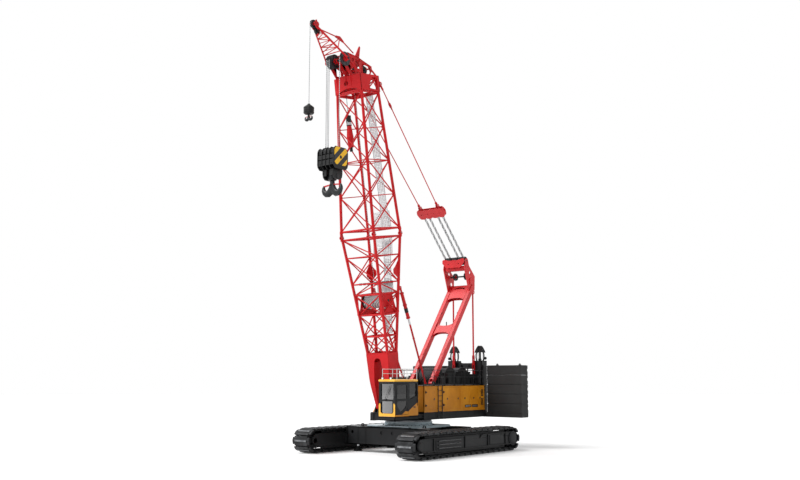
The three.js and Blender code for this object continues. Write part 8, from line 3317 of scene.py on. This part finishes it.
        # Eight-sided cast weight: a tall body with a sloped crown, a bevelled foot and a collar for the hook.
        work.turned(
            [
                (z0, 0.051), (z0, 0.13), (z0 + 0.02, 0.15), (z0 + 0.03, 0.25), (z0 + 0.06, 0.28),
                (z0 + 0.4, 0.29), (z0 + 0.44, 0.27), (z0 + 0.53, 0.13), (z0 + 0.55, 0.1),
                (z0 + 0.55, 0.051)
            ],
            (x, y, 0), "Z", 8, closed=True
        )
        for z in (z0 + 0.12, z0 + 0.24, z0 + 0.36):
            work.turned(
                [(z - 0.012, 0.27), (z - 0.012, 0.298), (z + 0.012, 0.298), (z + 0.012, 0.27)],
                (x, y, 0), "Z", 8, closed=True
            )
        for k in range(8):
            t = math.tau * (k + 0.5) / 8
            out = Vector((math.cos(t), math.sin(t), 0))
            work.bar(
                Vector((x, y, z0 + 0.42)) + out * 0.25, Vector((x, y, z0 + 0.53)) + out * 0.12, 0.03,
                0.02, across=(-out.y, out.x, 0)
            )
            work.bolts(Vector((x, y, z0 + 0.18)) + out * 0.262, out, 0.05, 4, 0.02, 0.012)
        # Open shackle over the ball, where the rope's socket is pinned.
        for dx in (-0.06, 0.04):
            work.use("forged_hook_steel").plate(
                [
                    (y - 0.07, z0 + 0.52), (y + 0.07, z0 + 0.52), (y + 0.05, z1 - 0.01),
                    (y - 0.05, z1 - 0.01)
                ],
                (x + dx, x + dx + 0.02), side_view, [(y, z1 - 0.045, 0.02)]
            )
        work.tube((x - 0.07, y, z1 - 0.045), (x + 0.07, y, z1 - 0.045), 0.018, 12)
        work.turned(
            [(z1 - 0.07, 0.02), (z1 - 0.07, 0.034), (z1 - 0.0, 0.026), (z1, 0.02)], (x, y, 0), "Z", 16
        )
        work.done("aux_block_weight", "aux_block", ["aux_hook_block"])


class CRANE_OT_suspension(bpy.types.Operator):
    """Pendants, bridle and luffing ropes"""

    bl_idname = "crane.suspension"
    bl_label = "Boom suspension"

    def execute(self, context):
        sizes = context.scene.crane_rigging
        anchor = on_boom(0, 1.0, 18.7)
        head = Vector((0, AXIS_Y + 5.0, 11.75))
        whole = (head - anchor).length
        pull = (head - anchor).normalized()
        over = Vector((0, -pull.z, pull.y))

        def stay(x, d, up=0.0):
            return Vector((x, anchor.y, anchor.z)) + pull * d + over * up

        def stay_plate(work, outline, depth, holes=()):
            """A plate on the suspension, drawn across and along."""
            work.plate(outline, depth, lambda u, v, w: stay(u, v, w), holes)

        near, far = 8.77, 9.43
        for name, side in SIDES:
            work = Work("red_enamel")
            a, b = stay(side * 0.9, 0.4), stay(side * 0.68, near - 0.38)
            c = stay(side * 0.9, 0)
            work.turned(
                [
                    (-0.04, 0.0415), (-0.04, 0.1), (-0.03, 0.11), (0.03, 0.11), (0.04, 0.1),
                    (0.04, 0.0415)
                ],
                c, "X", 24, closed=True
            )
            work.bar(stay(side * 0.9, 0.08), stay(side * 0.9, 0.42), 0.07, 0.09)
            work.tube(a, b, 0.03, 14)
            # Rod joint: a fork, pins and collars, near the upper end.
            share = 0.13
            p = a.lerp(b, share)
            run = (b - a).normalized()
            for dx in (-0.045, 0.025):
                outline = [
                    (-0.17, -0.03), (-0.1, -0.06), (0.1, -0.06), (0.17, -0.03), (0.17, 0.03),
                    (0.1, 0.06), (-0.1, 0.06), (-0.17, 0.03)
                ]
                work.plate(
                    outline, (dx, dx + 0.02), lambda u, v, w, p=p,
                    run=run: p + run * u + over * v + Vector((w, 0, 0))
                )
            for d in (-0.09, 0.09):
                q = p + run * d
                work.use("ground_chrome").tube(
                    q - Vector((0.055, 0, 0)), q + Vector((0.055, 0, 0)), 0.018, 12
                )
                work.use("red_enamel")
            for d in (-0.24, 0.24):
                q = p + run * d
                work.tube(q - run * 0.05, q + run * 0.05, 0.042, 14)
            # Clevis into the bridle.
            work.tube(stay(side * 0.68, near - 0.42), stay(side * 0.68, near - 0.3), 0.045, 14)
            for dx in (-0.05, 0.03):
                stay_plate_outline = [
                    (-0.06, -0.36), (0.06, -0.36), (0.055, -0.2003), (-0.055, -0.2003)
                ]
                work.plate(
                    stay_plate_outline, (dx, dx + 0.02), lambda u, v, w,
                    s=side: stay(s * 0.68 + w, near + v, u)
                )
            work.done(f"pendant_{name}_bars", "suspension", [f"pendant_{name}"])

        # Bridle: two scalloped plates, eight sheaves between them, spacers and lugs.
        # The bridle's plates take the paler red, whose paleness is painted highlight.
        work = Work("red_enamel_painted_paler")
        scallop = []
        for k in range(4):
            cx = 0.72 - 0.48 * k
            scallop += [
                (cx + 0.24 * math.cos(math.radians(t)), far - 0.06 + 0.09 * math.sin(math.radians(t)))
                for t in (15, 50, 90, 130, 165)
            ]
        outline = [
            (-1.0, near + 0.1), (-0.9, near), (-0.5, near + 0.03), (0.5, near + 0.03), (0.9, near),
            (1.0, near + 0.1), (1.05, near + 0.3), (1.0, far - 0.15)
        ] + scallop + [(-1.0, far - 0.15), (-1.05, near + 0.3)]
        for up in (-0.12, 0.095):
            stay_plate(
                work, outline, (up, up + 0.025),
                [(x, near + 0.35, 0.03) for x in (-0.72, -0.24, 0.24, 0.72)]
            )
        for x in (-0.96, -0.48, 0.0, 0.48, 0.96):
            work.plate(
                [
                    (near + 0.06, -0.095), (far - 0.16, -0.095), (far - 0.16, 0.095),
                    (near + 0.06, 0.095)
                ],
                (x - 0.012, x + 0.012), lambda u, v, w: stay(w, u, v)
            )
        for side in (1, -1):
            for dx in (-0.075, 0.055):
                work.plate(
                    [
                        (near - 0.2, -0.07), (near - 0.17, -0.1), (near + 0.12, -0.12),
                        (near + 0.12, 0.12), (near - 0.17, 0.1), (near - 0.2, 0.07)
                    ],
                    (side * 0.68 + dx, side * 0.68 + dx + 0.02), lambda u, v, w: stay(w, u, v),
                    [(near - 0.12, 0.0, 0.03)]
                )
            work.use("ground_chrome").tube(
                stay(side * 0.68 - 0.08, near - 0.12), stay(side * 0.68 + 0.08, near - 0.12), 0.03, 14
            )
            work.use("red_enamel_painted_paler")
        work.use("cast_nylon_sheave")
        for x in (-0.72, -0.24, 0.24, 0.72):
            for dx in (-0.1, 0.0, 0.1):
                c = stay(x + dx, near + 0.35)
                work.turned(
                    [
                        (-0.04, 0.03), (-0.04, 0.09), (-0.02, 0.075), (0.02, 0.075), (0.04, 0.09),
                        (0.04, 0.03)
                    ],
                    c, "X", 28, closed=True
                )
        work.use("red_enamel_painted_paler").plate(
            [(near + 0.2, -0.1), (far - 0.12, -0.1), (far - 0.12, 0.1), (near + 0.2, 0.1)],
            (-0.99, -0.97), lambda u, v, w: stay(w, u, v)
        )
        work.plate(
            [(near + 0.2, -0.1), (far - 0.12, -0.1), (far - 0.12, 0.1), (near + 0.2, 0.1)],
            (0.97, 0.99), lambda u, v, w: stay(w, u, v)
        )
        work.use("forged_hook_steel").tube(stay(-0.98, near + 0.35), stay(0.98, near + 0.35), 0.03, 14)
        work.done("bridle_block", "suspension", ["bridle"], bevel=0.003)

        work = Work("galvanised_wire_rope")
        radius = 0.26
        for x in (-0.7, -0.33, 0.33, 0.7):
            for n in range(-2, 3):
                bx = x + n * 0.034
                rope_run(
                    work, stay(bx, far - 0.04, 0.01 * (n % 2)),
                    stay(bx, whole - radius + 0.03, 0.01 * (n % 2)), 0.014, sizes.strands
                )
        work.done("luffing_rope_falls", "suspension", ["luffing_ropes"])
        # Hoist ropes inside the boom, from its drum up to the head's guide sheaves.
        work = Work("galvanised_wire_rope")
        for x in (-0.55, 0.09):
            rope_run(work, on_boom(x * 0.6, 0.3, 6.35), on_boom(x, 0.34, 19.62), 0.014, sizes.strands)
        work.done("inner_hoist_ropes", "boom")
        return {"FINISHED"}


# ---------------------------------------------------------------- stage, panel and running order


def seen_rays(tree):
    """1 for rays that show the backdrop: from the camera, in reflections and through glass."""
    way = add_node(tree, "ShaderNodeLightPath")
    first = {0: way.outputs["Is Camera Ray"], 1: way.outputs["Is Glossy Ray"]}
    mirrored = add_node(tree, "ShaderNodeMath", first, operation="MAXIMUM")
    both = {0: mirrored.outputs["Value"], 1: way.outputs["Is Transmission Ray"]}
    return add_node(tree, "ShaderNodeMath", both, operation="MAXIMUM")


class CRANE_OT_stage(bpy.types.Operator):
    """Camera, soft lights, and a pale floor that keeps the crane's shadow"""

    bl_idname = "crane.stage"
    bl_label = "Stage"

    def execute(self, context):
        sizes, scene = context.scene.crane_stage, context.scene
        scene.view_settings.view_transform = "Standard"
        eye = bpy.data.objects.new("camera", bpy.data.cameras.new("camera"))
        eye.data.lens, eye.data.sensor_width = sizes.lens, 36.0
        eye.data.clip_end = 500.0
        eye.location = (34.2027, -42.2332, 4.3642)
        eye.rotation_euler = (math.radians(98.465), 0, math.radians(38.778))
        scene.collection.objects.link(eye)
        scene.camera = eye
        # Sky: white where it is seen, straight, in reflections or through glass, and softer as light.
        world = bpy.data.worlds.new("studio")
        scene.world = world
        world.use_nodes = True
        tree = world.node_tree
        tree.nodes.clear()
        seen = seen_rays(tree)
        strength = add_node(
            tree, "ShaderNodeMapRange",
            {"Value": seen.outputs["Value"], "To Min": sizes.sky, "To Max": 1.0}
        )
        sky = add_node(
            tree, "ShaderNodeBackground",
            {"Color": (1, 1, 1, 1), "Strength": strength.outputs["Result"]}
        )
        add_node(tree, "ShaderNodeOutputWorld", {"Surface": sky.outputs["Background"]})
        key = bpy.data.objects.new("key_light", bpy.data.lights.new("key_light", "SUN"))
        key.data.energy, key.data.angle = sizes.key, math.radians(35)
        key.rotation_euler = (math.radians(42), 0, math.radians(-40))
        scene.collection.objects.link(key)
        # Floor: a flat round sheet, 180 m in radius.
        work = Work("matt_studio_floor")
        floor, tree, shader, place = blank("matt_studio_floor")
        grain = add_node(tree, "ShaderNodeTexNoise", {"Vector": place, "Scale": 0.35, "Detail": 3.0})
        pale = add_node(
            tree, "ShaderNodeValToRGB", {"Fac": grain.outputs["Fac"]},
            ramp=[(0.3, "#f1f1f1"), (0.7, "#f4f4f4")]
        )
        wire(tree, shader, Base_Color=pale.outputs["Color"], Roughness=0.9)
        seen = seen_rays(tree)
        lift = add_node(
            tree, "ShaderNodeMath", {0: seen.outputs["Value"], 1: 0.12}, operation="MULTIPLY"
        )
        glow = add_node(
            tree, "ShaderNodeEmission", {"Color": (1, 1, 1, 1), "Strength": lift.outputs["Value"]}
        )
        both = add_node(
            tree, "ShaderNodeAddShader", {0: shader.outputs["BSDF"], 1: glow.outputs["Emission"]}
        )
        end = [n for n in tree.nodes if n.type == "OUTPUT_MATERIAL"][0]
        tree.links.new(both.outputs["Shader"], end.inputs["Surface"])
        rings = []
        for r in (0.02, 10.0, 30.0, 60.0, 110.0, 180.0):
            rings.append(
                [
                    (r * math.cos(math.tau * k / 64), r * math.sin(math.tau * k / 64), -0.002)
                    for k in range(64)
                ]
            )
        mesh = bpy.data.meshes.new("floor")
        work.loft(rings, caps=False)
        mesh.from_pydata([tuple(p) for p in work.points], [], work.faces)
        mesh.materials.append(floor)
        made = bpy.data.objects.new("floor", mesh)
        scene.collection.objects.link(made)
        return {"FINISHED"}


class CRANE_PT_panel(bpy.types.Panel):
    """Lists the crane's sizes and its operators"""

    bl_idname = "CRANE_PT_panel"
    bl_label = "Crawler crane"
    bl_space_type = "VIEW_3D"
    bl_region_type = "UI"
    bl_category = "Crane"

    def draw(self, context):
        for name, group in GROUPS.items():
            box = self.layout.box()
            box.label(text=name.title())
            for key in group.__annotations__:
                box.prop(getattr(context.scene, f"crane_{name}"), key)
        for operator in OPERATORS:
            self.layout.operator(operator.bl_idname)


OPERATORS = (
    CRANE_OT_stage, CRANE_OT_crawlers, CRANE_OT_carbody, CRANE_OT_deck, CRANE_OT_housings, CRANE_OT_cab,
    CRANE_OT_winches, CRANE_OT_counterweight, CRANE_OT_aframe, CRANE_OT_boom, CRANE_OT_head,
    CRANE_OT_blocks, CRANE_OT_suspension,
)


def register():
    for made in (*GROUPS.values(), *OPERATORS, CRANE_PT_panel):
        bpy.utils.register_class(made)
    for name, group in GROUPS.items():
        setattr(bpy.types.Scene, f"crane_{name}", bpy.props.PointerProperty(type=group))


def unregister():
    for name in GROUPS:
        delattr(bpy.types.Scene, f"crane_{name}")
    for made in (CRANE_PT_panel, *reversed(OPERATORS), *GROUPS.values()):
        bpy.utils.unregister_class(made)


def main():
    register()
    make_finishes()
    for operator in OPERATORS:
        group, name = operator.bl_idname.split(".")
        getattr(getattr(bpy.ops, group), name)()


if __name__ == "__main__":
    main()
